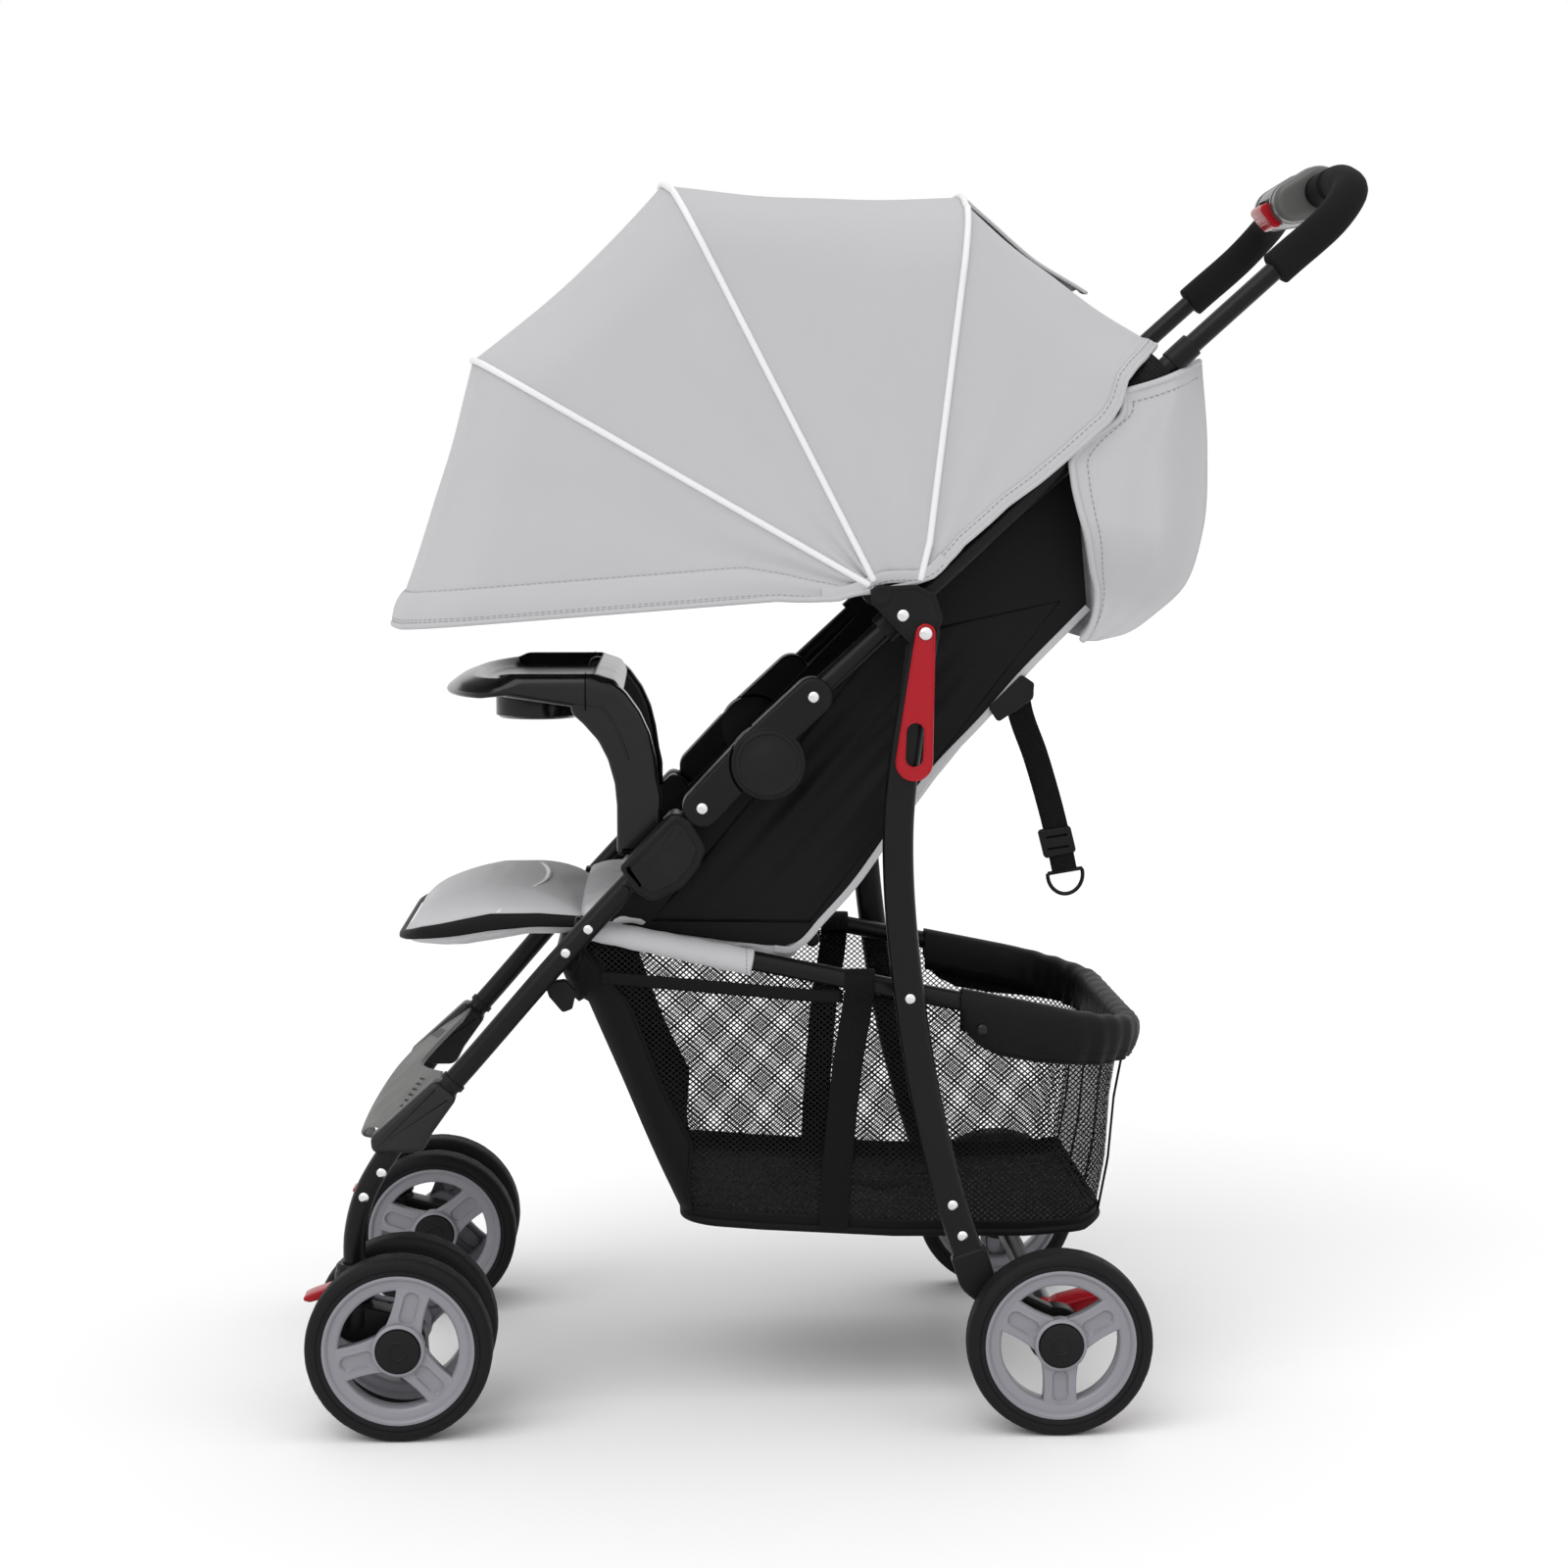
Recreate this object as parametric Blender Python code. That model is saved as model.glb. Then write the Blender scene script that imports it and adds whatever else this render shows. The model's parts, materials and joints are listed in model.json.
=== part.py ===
# Travel stroller: folding frame, swivel front wheels, seat, canopy, bag and basket.
# Metres, +Z up. The stroller faces -X, its left side is at -Y, and it stands on Z = 0.
# Points of the side view are (X, Z) pairs.
import math

import bmesh
import bpy
from mathutils import Matrix, Vector

for leftover in list(bpy.data.objects):
    bpy.data.objects.remove(leftover, do_unlink=True)

# Wheels
WHEEL_R = 0.075
TYRE_WIDTH = 0.028
TYRE_DEPTH = 0.0145
RIM_R = WHEEL_R - TYRE_DEPTH
RIM_BAND = 0.0125
RIM_WINDOW_R = RIM_R - RIM_BAND
RIM_WIDTH = 0.022
HUB_R = 0.021
HUB_CAP_R = 0.018
SPOKE_WIDTH = 0.026
SPOKE_THICK = 0.011
AXLE_R = 0.004
FRONT_AXLE_X = -0.353
REAR_AXLE_X = 0.178
CASTER_TRAIL = 0.0385
FORK_HALF = 0.0135
WHEEL_GAP = 0.003
AXLE_WASHER = 0.0045

# The seat's half width sets the frame's
SEAT_HALF = 0.150
SEAT_SPACE = 0.040

# Tubes, as radii and side planes
TUBE_R = 0.009
HANDLE_R = 0.008
FRAME_Y = SEAT_HALF + SEAT_SPACE
RAIL_R = 0.008
LEG_WIDTH = 0.025
LEG_DEPTH = 0.013
FIT = 0.0004
RUN_GAP = 0.0015

# Pivots and bends of the side view; a handle corner's third value is its step in from the frame's plane
KNUCKLE = (-0.056, 0.542)
LEG_LINE = ((-0.0885, 0.5276), (-0.2189, 0.3882), (-0.3097, 0.2841), (-0.364, 0.2242))
LEG_FOOT = ((-0.3834, 0.1889), (-0.3905, 0.160), (-0.3915, 0.128))
PUSH_LINE = ((-0.033, 0.5825), (0.0505, 0.660), (0.274, 0.8666), (0.354, 0.9385))
HANDLE_CORNER = ((0.396, 0.976, 0.004), (0.413, 0.997, 0.024), (0.4165, 1.0085, 0.060))
HANDLE_BAR = (0.4165, 1.0110)
GRIP_R = 0.0145
BRACKET_RIVET = (0.0505, 0.660)
LEG_PIVOT = (0.0682, 0.6458)
REAR_LEG = ((0.0682, 0.6458), (0.0480, 0.4859), (0.0577, 0.3525), (0.0928, 0.1835), (0.1126, 0.124))
RAIL_PIVOT = (-0.2007, 0.405)
RAIL_JOINT = (0.0577, 0.3525)
RAIL_END_X = 0.249
RAIL_CORNER = 0.070
CROSS_BAR = (-0.2189, 0.3882)
CANOPY_PIVOT = (0.0318, 0.6796)
BIGHT = (-0.0176, 0.3913)

# Hinge knuckle
HINGE_R = 0.030
HINGE_CAP_R = 0.0265
ARM_WIDTH = 0.031
ARM_LENGTH = 0.078
HINGE_HALF = 0.0155

# Soft pieces
BACK_THICK = 0.026
PANEL_THICK = 0.0022
CANOPY_OUT = 0.0187
CANOPY_SKIN = 0.0025
BOW_R = 0.0022
BOW_OUT = 0.0135
EYE_THICK = 0.0014
EYE_LAYERS = {"rear": 0.0022, "middle": 0.0039, "front": 0.0055}

# Pins, plates and mouldings
PIN_R = 0.003
HINGE_PIN_R = 0.006
OPEN_GAP = 0.0015
REAR_RIVET = (0.1008, 0.1583)
MOUNT_LEAN = math.radians(53.0)
AXLE_TUBE_R = 0.009
BRAKE_INSET = (0.040, 0.005)
PEDAL_OUTLINE = ((0.176, 0.066), (0.190, 0.066), (0.2220, 0.0880), (0.2240, 0.0950),
                 (0.2160, 0.1010), (0.1850, 0.0930), (0.1700, 0.0840))
BRACKET_OUTLINE = ((0.0245, 0.671), (0.0565, 0.637), (0.074, 0.634), (0.0825, 0.6576),
                   (0.0765, 0.677), (0.0605, 0.683), (0.0385, 0.686), (0.027, 0.680))
PLATE_THICK = 0.003
HUB_DISC_R = 0.013
HUB_PIN_R = 0.004
LATCH_STAND = 0.0035
LATCH_THICK = 0.004
LATCH_END = (0.0596, 0.5433)
LATCH_SLOT = ((0.0596, 0.5459), (0.0604, 0.5643))
HOUSING_HALF = 0.046
HOUSING_NOSE = (0.3950, 1.0030)
HOUSING_R = 0.0220
NOSE_R = 0.0175
TRIGGER_ENDS = ((0.3755, 0.9985), (0.3840, 0.9880))
TRIGGER_R = 0.0050
TRIGGER_HALF = 0.022
TRIGGER_TRAVEL = 0.005
STEP_MIDDLE = ((-0.3930, 0.1960), (-0.3997, 0.2057), (-0.3908, 0.2309), (-0.3693, 0.2506), (-0.3222, 0.2840))
STEP_SIDE = ((-0.3700, 0.2290), (-0.3735, 0.2400), (-0.3600, 0.2530), (-0.3420, 0.2683), (-0.3222, 0.2840))
STEP_STATIONS = 13
STEP_WALL = 0.0035
STEP_SLOTS = 6
SLEEVE_OUTLINE = ((-0.3243, 0.2870), (-0.3062, 0.2718), (-0.3264, 0.2436), (-0.3336, 0.2324),
                  (-0.3352, 0.2270), (-0.3755, 0.2280), (-0.3765, 0.2400))
SLEEVE_R = 0.0130
SOCKET_Z = (0.105, 0.136)
CASTER_R = 0.016
KING_R = 0.005
KING_TOP = 0.118
FORK_NECK_Z = 0.0885
LOCK_Z = 0.114
HUB_IN = 0.0140
HUB_OUT = 0.0135

# Tray
TRAY_TOP = ((-0.3270, 0.5950), (-0.3126, 0.6050), (-0.2850, 0.6125), (-0.1990, 0.6125),
            (-0.1790, 0.6070), (-0.1700, 0.5960), (-0.1850, 0.5820), (-0.2386, 0.5880), (-0.2950, 0.5945))
CUP_CENTRE = (-0.247, 0.0)
CUP_R = 0.034
CUP_Z = (0.565, 0.598)
TRAY_DISH_X = (-0.285, -0.205)
TRAY_FLOOR_Z = 0.600
ARM_X = (-0.1773, -0.1400)
ARM_WIDE = 0.018
ARM_FOOT_Z = 0.465
ARM_OUTLINE = ((-0.2157, 0.5830), (-0.2040, 0.5724), (-0.1922, 0.5589), (-0.1844, 0.5430), (-0.1790, 0.5232),
               (-0.1773, 0.5050), (-0.1773, 0.465), (-0.1400, 0.465), (-0.1400, 0.5120), (-0.1430, 0.5254),
               (-0.1458, 0.5453), (-0.1504, 0.5643), (-0.1582, 0.5817), (-0.1707, 0.5992),
               (-0.1833, 0.6075), (-0.2050, 0.6100))
ARM_ROUNDS = 0.008
SOCKET_WALL = 0.005
SOCKET_OUTLINE = ((-0.1850, 0.4640), (-0.1850, 0.5080), (-0.1686, 0.5110), (-0.1066, 0.4870),
                  (-0.1100, 0.4700), (-0.1560, 0.4400), (-0.1700, 0.4420))
SHIELD_OUTLINE = ((-0.1800, 0.4700), (-0.1795, 0.5040), (-0.1686, 0.5070), (-0.1120, 0.4850),
                  (-0.1130, 0.4740), (-0.1560, 0.4450))

# Seat, basket and bag
SEAT_OUTLINE = ((-0.2060, 0.4010), (-0.2060, 0.4190), (-0.1900, 0.4240), (-0.0450, 0.4040),
                (-0.0300, 0.3940), (-0.0330, 0.3750), (-0.1850, 0.3970))
BIGHT_R = 0.006
BACK_LINE = ((-0.0080, 0.4030), (0.1456, 0.6009), (0.2040, 0.6420))
PANEL_OUTLINE = ((-0.2000, 0.4200), (-0.1700, 0.4080), (-0.0300, 0.3930), (-0.0060, 0.3990), (0.1470, 0.6000),
                 (0.2060, 0.6420), (0.1950, 0.7900), (0.0505, 0.6600), (-0.0560, 0.5500))
REST_OUTLINE = ((-0.2063, 0.3990), (-0.2063, 0.4190), (-0.2453, 0.4215), (-0.2813, 0.4160), (-0.3174, 0.4055),
                (-0.3557, 0.3930), (-0.3480, 0.3870), (-0.3058, 0.3900), (-0.2500, 0.3985))
REST_INSET = 0.005
COVER_THICK = 0.003
COVER_START_X = 0.107
COVER_UP = 0.013
COVER_DOWN = 0.036
BASKET_TOP_X = (-0.206, 0.244)
BASKET_FLOOR_X = (-0.1223, 0.2158)
BASKET_INSET = (0.020, 0.040)
BASKET_FLOOR_Z = 0.160
BASKET_WALL = 0.0025
BAG_INSET = 0.020
BAG_OUTLINE = ((0.1935, 0.7908), (0.2035, 0.7436), (0.2125, 0.6520), (0.2200, 0.6420), (0.2365, 0.6408),
               (0.2979, 0.7121), (0.2990, 0.7752), (0.2935, 0.8614), (0.2660, 0.8340), (0.2265, 0.8238))
BAG_POCKET = ((0.2020, 0.8600), (0.2070, 0.7440), (0.2160, 0.6560), (0.2220, 0.6460), (0.2350, 0.6450),
              (0.2942, 0.7140), (0.2952, 0.7750), (0.2890, 0.9000), (0.2300, 0.9000))
STRAP_Y = (-0.070, -0.050)
STRAP_BUCKLE = ((0.1500, 0.5800), (0.1640, 0.6030), (0.1733, 0.5979),
                (0.1742, 0.5862), (0.1626, 0.5762), (0.1540, 0.5690))
STRAP_WEB = ((0.1560, 0.5763), (0.1726, 0.5812), (0.2028, 0.4731),
             (0.2090, 0.4440), (0.1890, 0.4400), (0.1827, 0.4690))
STRAP_SLIDER = ((0.1793, 0.4715), (0.2062, 0.4756), (0.2106, 0.4537), (0.1837, 0.4471))
STRAP_RING = (0.2020, 0.4300)
STRAP_RING_R = 0.0125
STRAP_WIRE = 0.0018

# Canopy: each rib's angle about the pivot, its reach at the sides, and its extra reach at the middle
CANOPY_RIBS = {
    "hem": (184.4, 0.3840, 0.016),
    "front": (150.3, 0.3650, 0.015),
    "middle": (117.2, 0.3573, 0.018),
    "rear": (76.5, 0.3134, 0.022),
    "back": (40.9, 0.2995, 0.010),
}
BACK_ROOT_LEAN = -16.0
CANOPY_ROOT = 0.0165
BOW_ROOT = 0.056
CANOPY_CORNER = 0.055

# Widths worked out from the seat's, and side planes from the tubes
BACK_HALF = SEAT_HALF
REST_HALF = SEAT_HALF - REST_INSET
TRAY_HALF = FRAME_Y
SOCKET_IN = SEAT_HALF + PANEL_THICK + 2 * FIT
ARM_Y = (SOCKET_IN + SOCKET_WALL, SOCKET_IN + SOCKET_WALL + ARM_WIDE)
BASKET_HALF = [FRAME_Y - inset for inset in BASKET_INSET]
BAG_HALF = FRAME_Y - BAG_INSET
BRAKE_Y = [FRAME_Y - inset for inset in BRAKE_INSET]
BOW_Y = FRAME_Y + BOW_OUT
CANOPY_HALF = FRAME_Y + CANOPY_OUT
RAIL_Y = FRAME_Y - TUBE_R - RUN_GAP - RAIL_R
LEG_Y = FRAME_Y + TUBE_R + RUN_GAP + LEG_DEPTH / 2
REAR_WHEEL_Y = LEG_Y + LEG_DEPTH / 2 + WHEEL_GAP + TYRE_WIDTH / 2
WHEEL_OFFSET = FORK_HALF + WHEEL_GAP + TYRE_WIDTH / 2 + AXLE_WASHER
SWIVEL_X = FRONT_AXLE_X - CASTER_TRAIL
PLATE_IN = LEG_Y + LEG_DEPTH / 2 + FIT
PLATE_OUT = PLATE_IN + PLATE_THICK

LEFT, RIGHT = -1, 1
SIDES = (("left", LEFT), ("right", RIGHT))
bodies = {}


def material(name, colour, roughness, metallic=0.0):
    made = bpy.data.materials.new(name)
    made.use_nodes = True
    shader = made.node_tree.nodes["Principled BSDF"]
    shader.inputs["Base Color"].default_value = (*colour, 1.0)
    shader.inputs["Roughness"].default_value = roughness
    shader.inputs["Metallic"].default_value = metallic
    made.diffuse_color = (*colour, 1.0)
    return made


COLOURS = {
    "frame": ((0.012, 0.012, 0.014), 0.38, 0.2),
    "plastic": ((0.016, 0.016, 0.018), 0.45, 0.0),
    "foam": ((0.014, 0.014, 0.015), 0.85, 0.0),
    "red": ((0.38, 0.010, 0.022), 0.30, 0.0),
    "tyre": ((0.022, 0.022, 0.024), 0.70, 0.0),
    "rim": ((0.225, 0.225, 0.245), 0.45, 0.0),
    "footrest": ((0.075, 0.075, 0.072), 0.55, 0.0),
    "steel": ((0.60, 0.60, 0.62), 0.25, 1.0),
    "grey_cloth": ((0.46, 0.46, 0.47), 0.90, 0.0),
    "black_cloth": ((0.010, 0.010, 0.011), 0.85, 0.0),
}


def body(name, at, parent=None):
    """An empty at a joint, which carries the pieces of one moving body."""
    empty = bpy.data.objects.new(f"{name}_joint", None)
    bpy.context.scene.collection.objects.link(empty)
    empty.empty_display_size = 0.02
    bodies[name] = (empty, Vector(at))
    if parent:
        holder, place = bodies[parent]
        empty.parent = holder
        empty.location = Vector(at) - place
    else:
        empty.location = at
    return empty


def raw_object(name, verts, faces):
    """A mesh object from world points, with its faces turned outwards."""
    mesh = bpy.data.meshes.new(name)
    mesh.from_pydata([tuple(v) for v in verts], [], [tuple(f) for f in faces])
    work = bmesh.new()
    work.from_mesh(mesh)
    bmesh.ops.remove_doubles(work, verts=work.verts, dist=1e-6)
    bmesh.ops.recalc_face_normals(work, faces=work.faces)
    work.to_mesh(mesh)
    work.free()
    made = bpy.data.objects.new(name, mesh)
    bpy.context.scene.collection.objects.link(made)
    return made


def combine(base, tools, operation):
    """Joins or cuts base with each tool by an exact Boolean, and keeps the result as base's mesh."""
    for tool in tools:
        step = base.modifiers.new(operation.lower(), "BOOLEAN")
        step.operation = operation
        step.object = tool
    bpy.context.view_layer.update()
    graph = bpy.context.evaluated_depsgraph_get()
    shaped = bpy.data.meshes.new_from_object(base.evaluated_get(graph))
    base.modifiers.clear()
    old = base.data
    base.data = shaped
    bpy.data.meshes.remove(old)
    for tool in tools:
        bpy.data.objects.remove(tool, do_unlink=True)
    return base


def join(base, *tools):
    return combine(base, tools, "UNION")


def cut(base, *tools):
    return combine(base, tools, "DIFFERENCE")


def finish(made, name, holder, colour, smooth=40.0):
    """Names a piece, hangs it on its body with its origin on that body's joint, and paints it."""
    made.name = name
    made.data.name = name
    empty, place = bodies[holder]
    made.data.transform(Matrix.Translation(-place))
    made.location = (0.0, 0.0, 0.0)
    made.parent = empty
    made.data.materials.clear()
    made.data.materials.append(material(name, *COLOURS[colour]))
    made.data.shade_smooth()
    made.data.set_sharp_from_angle(angle=math.radians(smooth))
    return made


def xz(point, y):
    return Vector((point[0], y, point[1]))


def plate(outline, y_a, y_b):
    """A side view outline of (X, Z) points, extruded from y_a to y_b."""
    n = len(outline)
    verts = [xz(p, y_a) for p in outline] + [xz(p, y_b) for p in outline]
    faces = [tuple(range(n)), tuple(range(2 * n - 1, n - 1, -1))]
    faces += [(i, (i + 1) % n, n + (i + 1) % n, n + i) for i in range(n)]
    return raw_object("plate", verts, faces)


def rounded(outline, radius, steps=4):
    """The outline with each corner replaced by an arc; radius may be a list, one per corner."""
    points = []
    n = len(outline)
    for i, corner in enumerate(outline):
        here = Vector(corner)
        to_last = Vector(outline[i - 1]) - here
        to_next = Vector(outline[(i + 1) % n]) - here
        r = radius[i] if isinstance(radius, (list, tuple)) else radius
        half = to_last.angle(to_next) / 2
        reach = min(r / math.tan(half), 0.49 * to_last.length, 0.49 * to_next.length)
        r = reach * math.tan(half)
        if r < 1e-5:
            points.append(tuple(here))
            continue
        start = here + to_last.normalized() * reach
        end = here + to_next.normalized() * reach
        middle = (to_last.normalized() + to_next.normalized()).normalized()
        centre = here + middle * (r / math.sin(half))
        for k in range(steps + 1):
            chord = start.lerp(end, k / steps) - centre
            points.append(tuple(centre + chord.normalized() * r))
    return points


def capsule(a, b, radius_a, radius_b, steps=8):
    """The outline round two circles, as of a link or a lever."""
    a, b = Vector(a), Vector(b)
    along = (b - a).normalized()
    lean = math.asin((radius_a - radius_b) / (b - a).length)
    base = math.atan2(along.y, along.x)
    points = []
    quarter = math.pi / 2 - lean
    for centre, radius, start in ((b, radius_b, base - quarter), (a, radius_a, base + quarter)):
        sweep = math.pi - 2 * lean if centre is b else math.pi + 2 * lean
        for k in range(steps + 1):
            angle = start + sweep * k / steps
            points.append((centre.x + radius * math.cos(angle), centre.y + radius * math.sin(angle)))
    return points


def disc(centre, radius, y_a, y_b, sides=28):
    """A cylinder along Y."""
    ring = [(centre[0] + u, centre[1] + v) for u, v in ring_section(radius, sides)]
    return plate(ring, y_a, y_b)


def upright(outline, z_a, z_b):
    """A plan outline of (X, Y) points, extruded from z_a to z_b."""
    n = len(outline)
    verts = [Vector((x, y, z)) for z in (z_a, z_b) for x, y in outline]
    faces = [tuple(range(n)), tuple(range(2 * n - 1, n - 1, -1))]
    faces += [(i, (i + 1) % n, n + (i + 1) % n, n + i) for i in range(n)]
    return raw_object("upright", verts, faces)


def turned(profile, centre, y_centre, sides=32):
    """A profile of (radius, offset along Y) turned about the Y axis through centre; closed into a ring."""
    n = len(profile)
    verts, faces = [], []
    for k in range(sides):
        angle = 2 * math.pi * k / sides
        for radius, offset in profile:
            x = centre[0] + radius * math.cos(angle)
            verts.append((x, y_centre + offset, centre[1] + radius * math.sin(angle)))
    for k in range(sides):
        for i in range(n):
            a, b = k * n + i, k * n + (i + 1) % n
            c, d = ((k + 1) % sides) * n + (i + 1) % n, ((k + 1) % sides) * n + i
            faces.append((a, b, c, d))
    return raw_object("turned", verts, faces)


def ring_section(radius, sides):
    return [
        (radius * math.cos(2 * math.pi * k / sides), radius * math.sin(2 * math.pi * k / sides))
        for k in range(sides)
    ]


def stadium_section(width, depth, steps=4):
    """A flat oval tube's section: width along its first axis, depth along its second."""
    r = depth / 2
    reach = width / 2 - r
    points = []
    for side in (1, -1):
        for k in range(steps + 1):
            angle = math.pi * (k / steps - side / 2)
            points.append((side * reach + r * math.cos(angle), r * math.sin(angle)))
    return points


def sweep(path, section, across, scale=None):
    """A section carried along a path; its second axis starts nearest to across."""
    n = len(section)
    verts, faces = [], []
    second = Vector(across)
    for i, point in enumerate(path):
        ahead = path[min(i + 1, len(path) - 1)] - path[max(i - 1, 0)]
        ahead.normalize()
        second = (second - ahead * second.dot(ahead)).normalized()
        first = second.cross(ahead)
        grow = scale[i] if scale else 1.0
        verts += [point + first * (u * grow) + second * (v * grow) for u, v in section]
    for i in range(len(path) - 1):
        for k in range(n):
            a, b = i * n + k, i * n + (k + 1) % n
            faces.append((a, b, b + n, a + n))
    faces.append(tuple(range(n)))
    last = (len(path) - 1) * n
    faces.append(tuple(range(last + n - 1, last - 1, -1)))
    return raw_object("sweep", verts, faces)


def rod(a, b, radius, sides=12):
    a, b = Vector(a), Vector(b)
    across = Vector((0, 1, 0)) if abs((b - a).normalized().y) < 0.9 else Vector((1, 0, 0))
    return sweep([a, b], ring_section(radius, sides), across)


def block(low, high):
    x0, y0, z0 = low
    x1, y1, z1 = high
    return plate([(x0, z0), (x1, z0), (x1, z1), (x0, z1)], y0, y1)


def rivet_head(centre, side, y_face, radius=0.0042, height=0.0018):
    """A domed rivet head that stands on the outer face at y_face."""
    sunk = 0.001
    profile = [(radius, -sunk), (radius, height * 0.5), (radius * 0.55, height)]
    verts, faces = [], []
    sides = 8
    for r, offset in profile:
        verts += [
            (centre[0] + r * math.cos(2 * math.pi * k / sides), side * (y_face + offset),
             centre[1] + r * math.sin(2 * math.pi * k / sides))
            for k in range(sides)
        ]
    for i in range(len(profile) - 1):
        for k in range(sides):
            a, b = i * sides + k, i * sides + (k + 1) % sides
            faces.append((a, b, b + sides, a + sides))
    faces.append(tuple(range(sides)))
    top = (len(profile) - 1) * sides
    faces.append(tuple(range(top + sides - 1, top - 1, -1)))
    return raw_object("rivet", verts, faces)


def spread(points, per_span):
    """A smooth curve through 3-D points whose spacing may be uneven."""
    spans = [(b - a).length for a, b in zip(points, points[1:])]
    slopes = []
    for i, point in enumerate(points):
        if i == 0:
            slopes.append((points[1] - point) / spans[0])
        elif i == len(points) - 1:
            slopes.append((point - points[i - 1]) / spans[-1])
        else:
            before, after = spans[i - 1], spans[i]
            slopes.append(
                ((points[i + 1] - point) / after * before + (point - points[i - 1]) / before * after)
                / (before + after)
            )
    out = []
    for i, span in enumerate(spans):
        for k in range(per_span):
            t = k / per_span
            out.append(
                points[i] * (2 * t**3 - 3 * t**2 + 1)
                + slopes[i] * span * (t**3 - 2 * t**2 + t)
                + points[i + 1] * (3 * t**2 - 2 * t**3)
                + slopes[i + 1] * span * (t**3 - t**2)
            )
    out.append(points[-1])
    return out


def toward(a, b, distance):
    """The point at a distance from a, in the direction of b."""
    a, b = Vector(a), Vector(b)
    return a + (b - a).normalized() * distance


def leg_path(side):
    points = [xz(p, side * FRAME_Y) for p in (*LEG_LINE, *LEG_FOOT)]
    return spread(points, 3)


def handle_half(side):
    points = [xz(p, side * FRAME_Y) for p in PUSH_LINE]
    points += [Vector((x, side * (FRAME_Y - inset), z)) for x, z, inset in HANDLE_CORNER]
    points.append(xz(HANDLE_BAR, side * HOUSING_HALF))
    return spread(points, 3)


def leg_cutter(side):
    return sweep(leg_path(side), ring_section(TUBE_R + FIT, 14), (0, 1, 0))


def handle_cutter(side):
    return sweep(handle_half(side), ring_section(TUBE_R + FIT, 14), (0, 1, 0))


def rail_z(x):
    slope = (RAIL_JOINT[1] - RAIL_PIVOT[1]) / (RAIL_JOINT[0] - RAIL_PIVOT[0])
    return RAIL_PIVOT[1] + slope * (x - RAIL_PIVOT[0])


def rail_path(half, start_x, end_x, corner, steps=5):
    """The U of the rail: back along one side, across, and forward along the other."""
    points = [Vector((start_x, -half, rail_z(start_x)))]
    for k in range(steps + 1):
        angle = math.pi / 2 * k / steps
        x = end_x - corner + corner * math.sin(angle)
        points.append(Vector((x, -half + corner - corner * math.cos(angle), rail_z(x))))
    mirrored = [Vector((p.x, -p.y, p.z)) for p in reversed(points)]
    return points + mirrored


def front_leg(name, side):
    made = sweep(leg_path(side), ring_section(TUBE_R, 12), (0, 1, 0))
    pin = rod(xz(RAIL_PIVOT, side * FRAME_Y), xz(RAIL_PIVOT, side * (RAIL_Y - RAIL_R)), PIN_R)
    heads = [rivet_head(p, side, FRAME_Y + TUBE_R - 0.0007) for p in (RAIL_PIVOT, CROSS_BAR)]
    finish(join(made, pin, *heads), f"front_leg_{name}", "front_frame", "frame")


def hinge_half(name, side, upper):
    """A knuckle half: a disc on the pivot, and an arm whose socket holds the tube."""
    line = PUSH_LINE if upper else LEG_LINE
    along = (Vector(line[1]) - Vector(line[0])).normalized()
    out = Vector((-along.y, along.x)) * (1 if upper else -1)
    centre = Vector(KNUCKLE)
    axis = centre + out * (Vector(line[0]) - centre).dot(out)
    start = axis + along * 0.008
    end = axis + along * (ARM_LENGTH - ARM_WIDTH / 2)
    y_in, y_out = FRAME_Y - HINGE_HALF, FRAME_Y + HINGE_HALF
    arm = plate(capsule(start, end, ARM_WIDTH / 2, ARM_WIDTH / 2), side * y_in, side * y_out)
    if upper:
        own = disc(KNUCKLE, HINGE_R, side * (FRAME_Y + FIT / 2), side * y_out, 24)
        other = disc(KNUCKLE, HINGE_R + RUN_GAP, side * (y_in - 0.01), side * (FRAME_Y + FIT / 2), 24)
        tube = handle_cutter(side)
        cap = disc(KNUCKLE, HINGE_CAP_R, side * (y_out - 0.002), side * (y_out + 0.002), 24)
        pin = disc(KNUCKLE, HINGE_PIN_R + FIT, side * (y_in - 0.01), side * (y_out - 0.003), 16)
        made = cut(join(cut(arm, other), own, cap), tube, pin)
        heads = [rivet_head(tuple(end), side, y_out)]
        finish(join(made, *heads), f"hinge_upper_{name}", "push_frame", "plastic")
    else:
        own = disc(KNUCKLE, HINGE_R, side * y_in, side * (FRAME_Y - FIT / 2), 24)
        other = disc(KNUCKLE, HINGE_R + RUN_GAP, side * (FRAME_Y - FIT / 2), side * (y_out + 0.01), 24)
        pin = disc(KNUCKLE, HINGE_PIN_R, side * (y_in + 0.002), side * (y_out - 0.004), 16)
        made = cut(join(cut(arm, other), own), leg_cutter(side))
        heads = [rivet_head(tuple(end), side, y_out)]
        finish(join(made, pin, *heads), f"hinge_lower_{name}", "front_frame", "plastic")


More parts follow.
